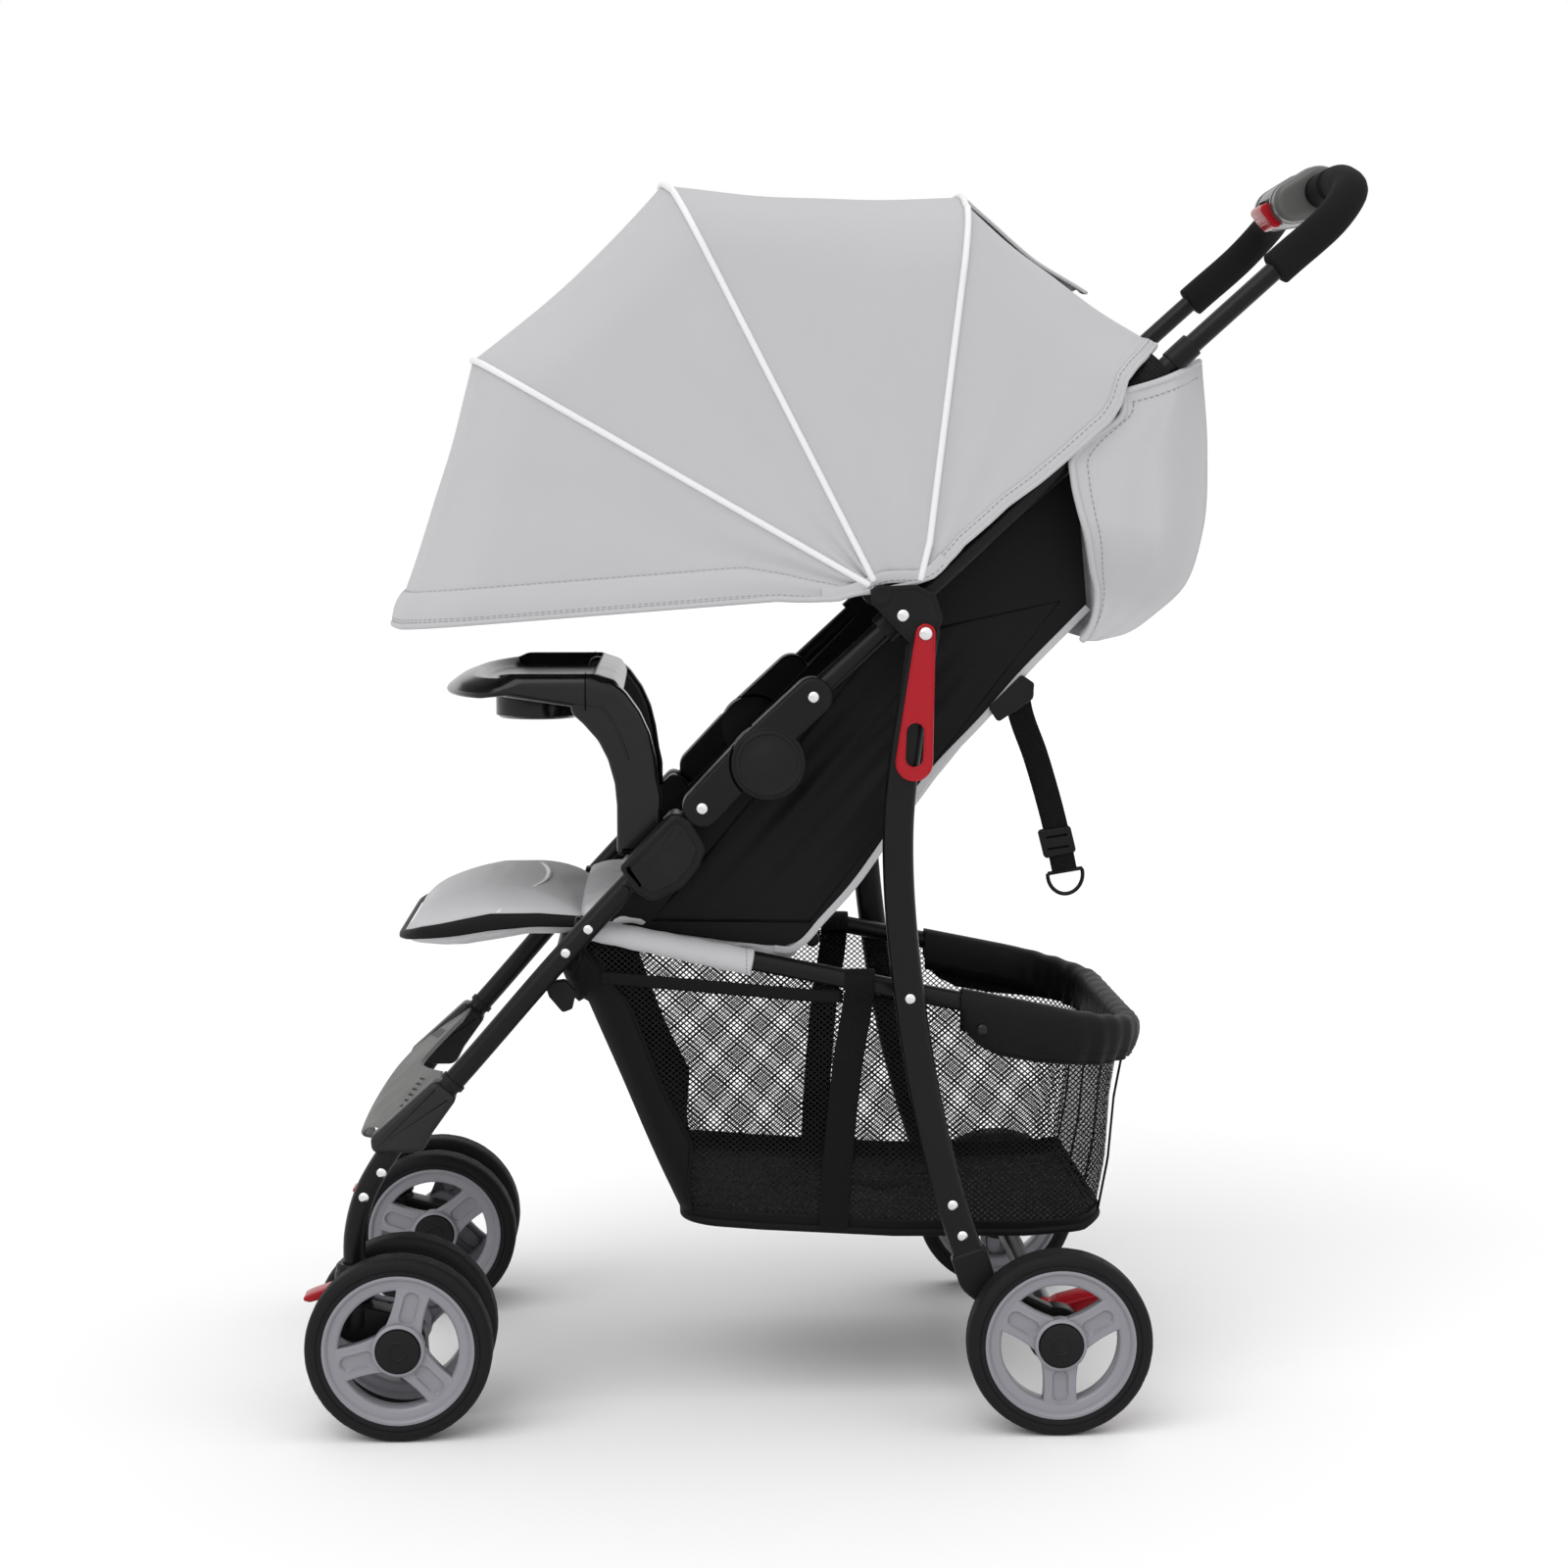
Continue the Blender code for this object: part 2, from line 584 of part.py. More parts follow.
def footrest():
    """A moulded step that bows forward between the front legs, with a sleeve on each and slots in its tread."""
    n = len(STEP_MIDDLE)
    verts, faces = [], []
    for i in range(STEP_STATIONS):
        y = FRAME_Y * (2 * i / (STEP_STATIONS - 1) - 1)
        bow_share = 1 - (y / FRAME_Y) ** 2
        face = [Vector(a).lerp(Vector(b), bow_share) for a, b in zip(STEP_SIDE, STEP_MIDDLE)]
        inner = []
        for k, point in enumerate(face):
            ahead = (face[min(k + 1, n - 1)] - face[max(k - 1, 0)]).normalized()
            inner.append(point + Vector((ahead.y, -ahead.x)) * STEP_WALL)
        verts += [xz(p, y) for p in face + inner[::-1]]
    for i in range(STEP_STATIONS - 1):
        a, b = i * 2 * n, (i + 1) * 2 * n
        faces += [(a + k, a + (k + 1) % (2 * n), b + (k + 1) % (2 * n), b + k) for k in range(2 * n)]
    last = (STEP_STATIONS - 1) * 2 * n
    faces += [tuple(range(2 * n)), tuple(last + k for k in reversed(range(2 * n)))]
    shell = raw_object("shell", verts, faces)
    slots = []
    for side in (LEFT, RIGHT):
        for k in range(STEP_SLOTS):
            y = side * (0.092 + 0.015 * k)
            slots.append(block((-0.3610, y - 0.0018, 0.245), (-0.3500, y + 0.0018, 0.285)))
    shell = cut(shell, *slots)
    sleeves = []
    for side in (LEFT, RIGHT):
        low, high = side * (FRAME_Y - SLEEVE_R), side * (FRAME_Y + SLEEVE_R)
        sleeves.append(plate(rounded(SLEEVE_OUTLINE, 0.005, 3), low, high))
    shell = join(shell, *sleeves)
    finish(cut(shell, leg_cutter(LEFT), leg_cutter(RIGHT)), "footrest", "front_frame", "footrest")


def tray_socket(name, side):
    """The clamp on the front leg that takes a tray arm from above."""
    wrap = plate(rounded(SOCKET_OUTLINE, 0.006, 3), side * SOCKET_IN, side * (FRAME_Y + HINGE_HALF))
    shield = plate(rounded(SHIELD_OUTLINE, 0.005, 3), side * (FRAME_Y + HINGE_HALF - 0.002),
                   side * (FRAME_Y + HINGE_HALF + 0.004))
    pocket = block((ARM_X[0] - FIT, side * (ARM_Y[0] - FIT), ARM_FOOT_Z - FIT),
                   (ARM_X[1] + FIT, side * (ARM_Y[1] + FIT), ARM_FOOT_Z + 0.2))
    made = cut(join(wrap, shield), leg_cutter(side), pocket)
    finish(made, f"tray_socket_{name}", "front_frame", "plastic")


def plan_of(outline, half, radii, steps):
    """The rounded plan that a side view outline gets when it is half wide on each side."""
    low, high = min(x for x, z in outline), max(x for x, z in outline)
    return rounded([(low, -half), (high, -half), (high, half), (low, half)], radii, steps)


def tray():
    """The tray with its cup well, and the two arms that bend down into the sockets."""
    top = plate(TRAY_TOP, -TRAY_HALF, TRAY_HALF)
    plan = plan_of(TRAY_TOP, TRAY_HALF, [0.060, 0.025, 0.025, 0.060], 6)
    top = combine(top, [upright(plan, 0.5, 0.7)], "INTERSECT")
    well = rod((CUP_CENTRE[0], 0, CUP_Z[0]), (CUP_CENTRE[0], 0, CUP_Z[1]), CUP_R + 0.0025, 28)
    bore = rod((CUP_CENTRE[0], 0, CUP_Z[0] + 0.003), (CUP_CENTRE[0], 0, CUP_Z[1] + 0.05), CUP_R, 28)
    dish = []
    for side in (LEFT, RIGHT):
        low = (TRAY_DISH_X[0], side * 0.055, TRAY_FLOOR_Z)
        high = (TRAY_DISH_X[1], side * (TRAY_HALF - 0.022), TRAY_FLOOR_Z + 0.06)
        dish.append(block(low, high))
    bend = rounded(ARM_OUTLINE, ARM_ROUNDS, 4)
    arms = [plate(bend, side * ARM_Y[0], side * ARM_Y[1]) for side in (LEFT, RIGHT)]
    finish(cut(join(top, well, *arms), bore, *dish), "tray", "tray_mount", "plastic")


def cross_bar():
    reach = FRAME_Y - TUBE_R - FIT
    made = rod((CROSS_BAR[0], -reach, CROSS_BAR[1]), (CROSS_BAR[0], reach, CROSS_BAR[1]), RAIL_R, 14)
    finish(made, "front_cross_bar", "front_frame", "frame")


def caster_socket(name, side):
    y = side * FRAME_Y
    made = rod((SWIVEL_X, y, SOCKET_Z[0]), (SWIVEL_X, y, SOCKET_Z[1]), CASTER_R, 24)
    king = rod((SWIVEL_X, y, SOCKET_Z[0] - 0.01), (SWIVEL_X, y, KING_TOP + FIT), KING_R + FIT, 14)
    finish(cut(made, king, leg_cutter(side)), f"caster_socket_{name}", "front_frame", "plastic")


def caster_fork(name, side):
    """The swivel head between the two wheels, with its kingpin and the wheel axle."""
    y = side * FRAME_Y
    axle = (FRONT_AXLE_X, WHEEL_R)
    web = plate(capsule((SWIVEL_X, FORK_NECK_Z), axle, CASTER_R, 0.019, 10), y - FORK_HALF, y + FORK_HALF)
    neck = rod((SWIVEL_X, y, FORK_NECK_Z - 0.004), (SWIVEL_X, y, SOCKET_Z[0] - FIT), CASTER_R, 24)
    king = rod((SWIVEL_X, y, FORK_NECK_Z), (SWIVEL_X, y, KING_TOP), KING_R, 14)
    reach = WHEEL_OFFSET + 0.006
    pin = disc(axle, AXLE_R, y - reach, y + reach, 12)
    finish(join(web, neck, king, pin), f"caster_fork_{name}", f"caster_{name}", "plastic")


def swivel_lock(name, side):
    y = side * FRAME_Y
    front = SWIVEL_X - CASTER_R - FIT
    outline = [(front, LOCK_Z + 0.005), (front, LOCK_Z - 0.003), (front - 0.020, LOCK_Z - 0.008),
               (front - 0.024, LOCK_Z - 0.005), (front - 0.020, LOCK_Z - 0.001)]
    made = plate(rounded(outline, 0.002, 2), y - 0.011, y + 0.011)
    finish(made, f"swivel_lock_{name}", f"lock_{name}", "red")


def wheel(name, x, y, holder, outer, spoke_angle):
    """A foam tyre on a rim with three spokes; outer is the side, along Y, that shows its hub cap."""
    half = TYRE_WIDTH / 2
    seat = RIM_R + FIT
    tread = [(seat, -half + 0.002), (WHEEL_R - 0.006, -half), (WHEEL_R, -half + 0.006),
             (WHEEL_R, half - 0.006), (WHEEL_R - 0.006, half), (seat, half - 0.002)]
    centre = (x, WHEEL_R)
    finish(turned(tread, centre, y, 32), f"{name}_tyre", holder, "tyre")
    edge = RIM_WIDTH / 2
    band = [(RIM_WINDOW_R, -edge), (RIM_R, -edge - 0.001), (RIM_R, edge + 0.001), (RIM_WINDOW_R, edge)]
    ring = turned(band, centre, y, 28)
    hub = disc(centre, HUB_R, y - outer * HUB_IN, y + outer * HUB_OUT, 16)
    cap = disc(centre, HUB_CAP_R, y + outer * (HUB_OUT - 0.002), y + outer * (HUB_OUT + 0.002), 16)
    spokes = []
    face = y + outer * (edge - 0.0015)
    for k in range(3):
        angle = math.radians(spoke_angle + 120 * k)
        along = Vector((math.cos(angle), math.sin(angle)))
        across = Vector((-along.y, along.x)) * SPOKE_WIDTH / 2
        root = Vector(centre) + along * 0.012
        tip = Vector(centre) + along * (RIM_WINDOW_R + 0.004)
        corners = [root - across, tip - across, tip + across, root + across]
        spokes.append(plate([tuple(p) for p in corners], face - outer * SPOKE_THICK, face))
    bore = disc(centre, AXLE_R + FIT, y - outer * (HUB_IN + 0.01), y + outer * (HUB_OUT - 0.003), 12)
    finish(cut(join(ring, hub, cap, *spokes), bore), f"{name}_rim", holder, "rim")


def handle():
    points = handle_half(LEFT)
    mirrored = [Vector((p.x, -p.y, p.z)) for p in reversed(points)]
    path = points + mirrored
    made = sweep(path, ring_section(HANDLE_R, 8), (0, 1, 0))
    lower = []
    for side in (LEFT, RIGHT):
        part = [xz(p, side * FRAME_Y) for p in PUSH_LINE[:3]]
        lower.append(sweep(spread(part, 2), ring_section(TUBE_R, 12), (0, 1, 0)))
    finish(join(made, *lower), "handle_tube", "push_frame", "frame")


def grip(name, side):
    """A foam sleeve from above the tube's straight part, round the corner, to the housing."""
    whole = handle_half(side)
    start = len(whole) - 1 - 4 * 3
    path = [p.copy() for p in whole[start:]]
    path[-1] = path[-1] - (path[-1] - path[-2]).normalized() * FIT
    sizes = [0.93] + [1.0] * (len(path) - 1)
    made = sweep(path, ring_section(GRIP_R, 12), (0, 1, 0), sizes)
    longer = whole[start - 1:] + [xz(HANDLE_BAR, 0.0)]
    bore = sweep(longer, ring_section(HANDLE_R + FIT, 8), (0, 1, 0))
    finish(cut(made, bore), f"grip_{name}", "push_frame", "foam")


def handle_housing():
    """The moulded middle of the handle, hollowed for the bar and for the trigger's travel."""
    snout = plate(capsule(HANDLE_BAR, HOUSING_NOSE, HOUSING_R, NOSE_R, 10), -HOUSING_HALF, HOUSING_HALF)
    half = HOUSING_HALF + 0.01
    bar = disc(HANDLE_BAR, HANDLE_R + FIT, -half, half, 16)
    ends = [Vector(p) for p in TRIGGER_ENDS]
    line = (ends[1] - ends[0]).normalized()
    inward = Vector((-line.y, line.x))
    wide = line * (TRIGGER_R + FIT)
    deep = inward * (TRIGGER_R + TRIGGER_TRAVEL + FIT)
    shallow = inward * -0.03
    first, last = ends[0] - wide, ends[1] + wide
    corners = [first + shallow, last + shallow, last + deep, first + deep]
    pocket = plate([tuple(p) for p in corners], -TRIGGER_HALF - FIT, TRIGGER_HALF + FIT)
    finish(cut(snout, bar, pocket), "handle_housing", "push_frame", "plastic")


def trigger():
    made = plate(capsule(*TRIGGER_ENDS, TRIGGER_R, TRIGGER_R), -TRIGGER_HALF, TRIGGER_HALF)
    finish(made, "fold_trigger", "trigger", "red")


def leg_bracket(name, side):
    """The fan-shaped bracket: a clamp round the push tube, and a cheek over the rear leg's end."""
    cheek = plate(rounded(BRACKET_OUTLINE, 0.006, 3), side * PLATE_IN, side * PLATE_OUT)
    clamp_path = [xz(toward(BRACKET_RIVET, PUSH_LINE[0], 0.020), side * FRAME_Y),
                  xz(toward(BRACKET_RIVET, PUSH_LINE[2], 0.022), side * FRAME_Y)]
    clamp = sweep(clamp_path, stadium_section(0.026, 2 * (TUBE_R + 0.0012) - 0.0005), (0, 1, 0))
    boss = disc(BRACKET_RIVET, 0.0085, side * (FRAME_Y + TUBE_R * 0.6), side * (PLATE_OUT - 0.0005), 16)
    hub = disc(CANOPY_PIVOT, HUB_PIN_R, side * (FRAME_Y + TUBE_R * 0.5), side * (PLATE_OUT - 0.001), 14)
    dome = disc(CANOPY_PIVOT, HUB_DISC_R, side * PLATE_IN, side * (PLATE_OUT - 0.0007), 20)
    tube_side = FRAME_Y + TUBE_R
    root = disc(CANOPY_PIVOT, HUB_DISC_R, side * (tube_side - 0.0063), side * (tube_side + 0.0012), 20)
    pin_in = LEG_Y - LEG_DEPTH / 2 + 0.001
    pin = disc(LEG_PIVOT, PIN_R, side * pin_in, side * (PLATE_OUT + LATCH_STAND), 14)
    made = cut(join(cheek, clamp, boss, root, dome, hub), handle_cutter(side))
    head = rivet_head(BRACKET_RIVET, side, PLATE_OUT)
    finish(join(made, pin, head), f"leg_bracket_{name}", "push_frame", "plastic")


def storage_latch():
    """The red side lever, which swings on the bracket's pin and has a hooking slot near its end."""
    y_in = PLATE_OUT + FIT
    y_out = y_in + LATCH_THICK
    arm = plate(capsule(LEG_PIVOT, LATCH_END, 0.0078, 0.0150, 10), -y_in, -y_out)
    slot = plate(capsule(*LATCH_SLOT, 0.0058, 0.0058), -y_in + 0.01, -y_out - 0.01)
    bore = disc(LEG_PIVOT, PIN_R + FIT, -y_in + 0.01, -y_out - 0.01, 16)
    finish(cut(arm, slot, bore), "storage_latch", "latch", "red")


def rear_leg(name, side):
    """The bowed flat-oval rear leg, with the bush that faces the seat rail."""
    points = [xz(p, side * LEG_Y) for p in REAR_LEG]
    path = spread(points, 3)
    made = sweep(path, stadium_section(LEG_WIDTH, LEG_DEPTH), (0, 1, 0))
    inner, outer = side * (LEG_Y - LEG_DEPTH / 2), side * (LEG_Y + LEG_DEPTH / 2)
    top = disc(LEG_PIVOT, LEG_WIDTH / 2 - 0.0005, inner, outer, 20)
    bush = disc(RAIL_JOINT, 0.0065, side * (LEG_Y - 0.003), side * (RAIL_Y + RAIL_R + OPEN_GAP), 16)
    heads = [rivet_head(p, side, LEG_Y + LEG_DEPTH / 2) for p in (RAIL_JOINT, REAR_LEG[3], REAR_RIVET)]
    bore = disc(LEG_PIVOT, PIN_R + FIT, side * (LEG_Y - 0.02), side * (LEG_Y + 0.02), 14)
    finish(cut(join(made, top, bush, *heads), bore), f"rear_leg_{name}", "rear_frame", "frame")


def rear_axle_frame():
    """Both wheel mounts, on the legs' lower ends, and the axle tube that joins them."""
    foot = Vector(REAR_LEG[-1])
    knee = Vector(REAR_LEG[-2])
    down = (foot - knee).normalized()
    cross = Vector((-down.y, down.x))
    start = foot + down * FIT
    axle = Vector((REAR_AXLE_X, WHEEL_R))
    pieces = []
    for side in (LEFT, RIGHT):
        y_a, y_b = side * (LEG_Y - LEG_DEPTH / 2), side * (LEG_Y + LEG_DEPTH / 2)
        away = Vector((math.cos(MOUNT_LEAN), math.sin(MOUNT_LEAN)))
        outline = [start + cross * 0.0135, start - cross * 0.0135, axle - away * 0.019, axle + away * 0.019]
        pieces.append(plate([tuple(p) for p in outline], y_a, y_b))
        pieces.append(disc(tuple(axle), 0.0235, side * (LEG_Y - LEG_DEPTH / 2 - 0.006), y_b, 24))
        stub = REAR_WHEEL_Y + HUB_OUT - 0.005
        pieces.append(disc(tuple(axle), AXLE_R, side * (LEG_Y - 0.002), side * stub, 12))
    tube = disc(tuple(axle), AXLE_TUBE_R, -(LEG_Y - 0.004), LEG_Y - 0.004, 18)
    finish(join(tube, *pieces), "rear_axle_frame", "rear_frame", "plastic")


def brake_pedal():
    """A red pedal that turns on the axle tube beside the near wheel's mount."""
    axle = (REAR_AXLE_X, WHEEL_R)
    y_a, y_b = -BRAKE_Y[0], -BRAKE_Y[1]
    ring = disc(axle, AXLE_TUBE_R + 0.006, y_a, y_b, 20)
    tongue = plate(rounded(PEDAL_OUTLINE, 0.003, 3), y_a, y_b)
    bore = disc(axle, AXLE_TUBE_R + FIT, y_a + 0.01, y_b - 0.01, 18)
    finish(cut(join(ring, tongue), bore), "brake_pedal", "brake", "red")


def seat_rail():
    path = rail_path(RAIL_Y, RAIL_PIVOT[0] - 0.012, RAIL_END_X, RAIL_CORNER)
    made = sweep(path, ring_section(RAIL_R, 12), (0, 0, 1))
    planes = [(side * (RAIL_Y - 0.02), side * (RAIL_Y + 0.02)) for side in (LEFT, RIGHT)]
    bores = [disc(RAIL_PIVOT, PIN_R + FIT, *plane, 14) for plane in planes]
    finish(cut(made, *bores), "basket_rail", "seat_rail", "frame")


def rim_cover():
    """The fabric band sewn over the rear bend of the rail."""
    out = RAIL_R + FIT + COVER_THICK / 2
    path = rail_path(RAIL_Y + out, COVER_START_X, RAIL_END_X + out, RAIL_CORNER + out)
    drop = Vector((0, 0, (COVER_UP - COVER_DOWN) / 2))
    height = COVER_UP + COVER_DOWN
    section = [(-COVER_THICK / 2, -height / 2), (COVER_THICK / 2, -height / 2),
               (COVER_THICK / 2, height / 2), (-COVER_THICK / 2, height / 2)]
    made = sweep([p + drop for p in path], section, (0, 0, 1))
    finish(made, "basket_rim_cover", "seat_rail", "black_cloth")


def basket_ring(level, inset):
    """The basket's rounded plan at a level from 0, under the rail, to 1, its floor."""
    front = BASKET_TOP_X[0] + (BASKET_FLOOR_X[0] - BASKET_TOP_X[0]) * level + inset
    back = BASKET_TOP_X[1] + (BASKET_FLOOR_X[1] - BASKET_TOP_X[1]) * level - inset
    half = BASKET_HALF[0] + (BASKET_HALF[1] - BASKET_HALF[0]) * level**1.5 - inset
    bend = RAIL_CORNER * (1 - level) + 0.030 * level - inset
    plan = rounded([(front, -half), (back, -half), (back, half), (front, half)],
                   [0.030 - inset, bend, bend, 0.030 - inset], 3)
    ring = []
    for x, y in plan:
        top = rail_z(x) - RAIL_R - FIT
        ring.append(Vector((x, y, top + (BASKET_FLOOR_Z + inset - top) * level)))
    return ring


def basket():
    """The hanging basket, open at the top, with a wall of cloth."""
    levels = (0.0, 0.35, 0.7, 1.0)
    outer = [basket_ring(level, 0.0) for level in levels]
    inner = [basket_ring(level, BASKET_WALL) for level in reversed(levels)]
    rings = outer + inner
    n = len(outer[0])
    verts = [p for ring in rings for p in ring]
    faces = []
    for i in range(len(rings)):
        if i == len(levels) - 1:
            continue
        j = (i + 1) % len(rings)
        faces += [(i * n + k, i * n + (k + 1) % n, j * n + (k + 1) % n, j * n + k) for k in range(n)]
    last = (len(levels) - 1) * n
    faces.append(tuple(range(last, last + n)))
    faces.append(tuple(range(last + n, last + 2 * n)))
    finish(raw_object("basket", verts, faces), "basket", "seat_rail", "black_cloth", 60)


def seat_pad():
    """The padded seat bottom, with the crotch strap standing on it."""
    pad = plate(rounded(SEAT_OUTLINE, 0.008, 3), -SEAT_HALF, SEAT_HALF)
    strap = plate([(-0.130, 0.402), (-0.128, 0.448), (-0.125, 0.448), (-0.127, 0.402)], -0.0125, 0.0125)
    finish(join(pad, strap), "seat_pad", "seat_rail", "grey_cloth")


def seat_bight():
    made = rod((BIGHT[0], -BACK_HALF, BIGHT[1]), (BIGHT[0], BACK_HALF, BIGHT[1]), BIGHT_R, 12)
    finish(made, "seat_bight", "seat_back", "black_cloth")


def back_layer(low, high, first=0.0, last=1.0):
    """The side outline between two offsets, towards the child, from the backrest's rear line."""
    rear = [Vector(p) for p in BACK_LINE]
    rear[0] = rear[0].lerp(rear[1], first)
    rear[2] = rear[1].lerp(rear[2], last)
    normals = []
    for i in range(3):
        ahead = (rear[min(i + 1, 2)] - rear[max(i - 1, 0)]).normalized()
        normals.append(Vector((-ahead.y, ahead.x)))
    near = [p + n * low for p, n in zip(rear, normals)]
    far = [p + n * high for p, n in zip(rear, normals)]
    return [tuple(p) for p in near + far[::-1]]


def backrest():
    made = plate(rounded(back_layer(0.0, BACK_THICK), 0.008, 3), -BACK_HALF, BACK_HALF)
    finish(made, "backrest", "backrest", "grey_cloth")


def harness():
    """Shoulder straps, waist strap and buckle, lying on the backrest."""
    low = BACK_THICK + FIT
    straps = [plate(back_layer(low, low + 0.003, 0.25, 0.7), y, y + 0.026) for y in (-0.068, 0.042)]
    a = Vector(BACK_LINE[0]).lerp(Vector(BACK_LINE[1]), 0.27)
    b = Vector(BACK_LINE[0]).lerp(Vector(BACK_LINE[1]), 0.38)
    out = Vector((-(b - a).y, (b - a).x)).normalized()
    near, far = out * (low + 0.0007), out * (low + 0.004)
    belt = plate([tuple(p) for p in (a + near, b + near, b + far, a + far)], -0.12, 0.12)
    c, d = a.lerp(b, 0.1), a.lerp(b, 0.9)
    near, far = out * (low + 0.002), out * (low + 0.013)
    clip = plate([tuple(p) for p in (c + near, d + near, d + far, c + far)], -0.024, 0.024)
    finish(join(belt, clip, *straps), "harness", "backrest", "black_cloth")


def recline_strap():
    """The webbing that hangs behind the backrest with its flat side out, its buckle, slider and D-ring."""
    middle = (STRAP_Y[0] + STRAP_Y[1]) / 2
    web = plate(STRAP_WEB, middle - 0.0011, middle + 0.0011)
    clip = plate(rounded(STRAP_BUCKLE, 0.004, 2), *STRAP_Y)
    low, high = Vector(BACK_LINE[0]), Vector(BACK_LINE[1])
    back = Vector((high.y - low.y, low.x - high.x)).normalized() * FIT
    tab = [tuple(low.lerp(high, 0.93) + back), (0.1500, 0.5750), (0.1600, 0.5900),
           tuple(low.lerp(high, 0.985) + back)]
    tab = plate(tab, STRAP_Y[0] + 0.003, STRAP_Y[1] - 0.003)
    slider = plate(rounded(STRAP_SLIDER, 0.003, 2), middle - 0.0045, middle + 0.0045)
    centre = Vector(STRAP_RING)
    radius = STRAP_RING_R + STRAP_WIRE
    outer = disc(centre, radius, middle - STRAP_WIRE, middle + STRAP_WIRE, 20)
    inner = disc(centre, STRAP_RING_R - STRAP_WIRE, middle - 0.01, middle + 0.01, 20)
    made = join(cut(outer, inner), web, clip, tab, slider)
    finish(made, "recline_strap", "backrest", "black_cloth")


def side_panel(name, side):
    y_in = side * (SEAT_HALF + FIT)
    made = plate(rounded(PANEL_OUTLINE, 0.006, 2), y_in, y_in + side * PANEL_THICK)
    finish(made, f"side_panel_{name}", "seat_back", "black_cloth")


def leg_rest():
    made = plate(rounded(REST_OUTLINE, 0.007, 3), -REST_HALF, REST_HALF)
    plan = plan_of(REST_OUTLINE, REST_HALF, [0.050, 0.003, 0.003, 0.050], 5)
    finish(combine(made, [upright(plan, 0.3, 0.5)], "INTERSECT"), "leg_rest", "leg_rest", "grey_cloth")


def arch(half, reach, crown, root, corner):
    """A bow's curve as (reach from the pivot, Y): up one side, over, and down the other."""
    side = [(root, half), (root + (reach - corner - root) * 0.5, half), (reach - corner, half)]
    for k in range(1, 4):
        turn = math.pi / 2 * k / 4
        side.append((reach - corner + corner * math.sin(turn), half - corner + corner * math.cos(turn)))
    for share in (0.98, 0.62, 0.32):
        y = (half - corner) * share
        side.append((reach + crown * (1 - share**2), y))
    middle = [(reach + crown, 0.0)]
    return [(r, -y) for r, y in side] + middle + side[::-1]


def at_angle(curve, degrees, lean=0.0, shift=0.0):
    """The curve set at an angle about the canopy's pivot; lean turns its root, shift moves it sideways."""
    far = max(r for r, y in curve)
    points = []
    for r, y in curve:
        angle = math.radians(degrees + lean * (1 - r / far))
        x = CANOPY_PIVOT[0] + r * math.cos(angle) - shift * math.sin(angle)
        z = CANOPY_PIVOT[1] + r * math.sin(angle) + shift * math.cos(angle)
        points.append(Vector((x, y, z)))
    return points


def fan_panel(first, second, lean=0.0):
    """A cloth sector between two ribs, with the first at the larger angle."""
    rings = []
    for key, move, turn in ((first, -FIT / 2, 0.0), (second, FIT / 2, lean)):
        degrees, reach, crown = CANOPY_RIBS[key]
        outer = arch(CANOPY_HALF, reach, crown, CANOPY_ROOT, CANOPY_CORNER)
        skin = CANOPY_SKIN
        inner = arch(CANOPY_HALF - skin, reach - skin, crown, CANOPY_ROOT, CANOPY_CORNER - skin)
        rings.append(at_angle(outer, degrees, turn, move) + at_angle(inner, degrees, turn, move)[::-1])
    n = len(rings[0])
    verts = rings[0] + rings[1]
    faces = [(i, (i + 1) % n, n + (i + 1) % n, n + i) for i in range(n)]
    half = n // 2
    for base in (0, n):
        faces += [(base + i, base + i + 1, base + n - 2 - i, base + n - 1 - i) for i in range(half - 1)]
    return raw_object("panel", verts, faces)


def bow(name, holder):
    """A canopy bow, whose flat eyes turn on the brackets' pins in their own layer."""
    degrees, reach, crown = CANOPY_RIBS[name]
    layer = FRAME_Y + TUBE_R + EYE_LAYERS[name]
    inset = CANOPY_SKIN + FIT + BOW_R
    curve = arch(BOW_Y, reach - inset, crown, BOW_ROOT, CANOPY_CORNER - inset)
    path = at_angle(curve, degrees)
    made = sweep(path, ring_section(BOW_R, 6), (0, 1, 0))
    far = path[0]
    eyes = []
    for side in (LEFT, RIGHT):
        tip = (far.x, far.z)
        link = capsule(CANOPY_PIVOT, tip, 0.0085, 0.0024, 6)
        eyes.append(plate(link, side * layer, side * (layer + EYE_THICK)))
    planes = [(side * FRAME_Y, side * (PLATE_OUT + 0.01)) for side in (LEFT, RIGHT)]
    bores = [disc(CANOPY_PIVOT, HUB_PIN_R + FIT, *plane, 14) for plane in planes]
    finish(cut(join(made, *eyes), *bores), f"canopy_bow_{name}", holder, "black_cloth")


def canopy():
    for name in EYE_LAYERS:
        bow(name, f"bow_{name}")
    finish(fan_panel("hem", "front"), "canopy_visor", "visor", "grey_cloth", 20)
    finish(fan_panel("front", "middle"), "canopy_front", "bow_front", "grey_cloth", 20)
    finish(fan_panel("middle", "rear"), "canopy_top", "bow_middle", "grey_cloth", 20)
    finish(fan_panel("rear", "back", BACK_ROOT_LEAN), "canopy_rear", "bow_rear", "grey_cloth", 20)


def parent_bag():
    made = plate(rounded(BAG_OUTLINE, 0.010, 3), -BAG_HALF, BAG_HALF)
    pocket = plate(BAG_POCKET, -BAG_HALF + 0.003, BAG_HALF - 0.003)
    finish(cut(made, pocket), "parent_bag", "push_frame", "grey_cloth")


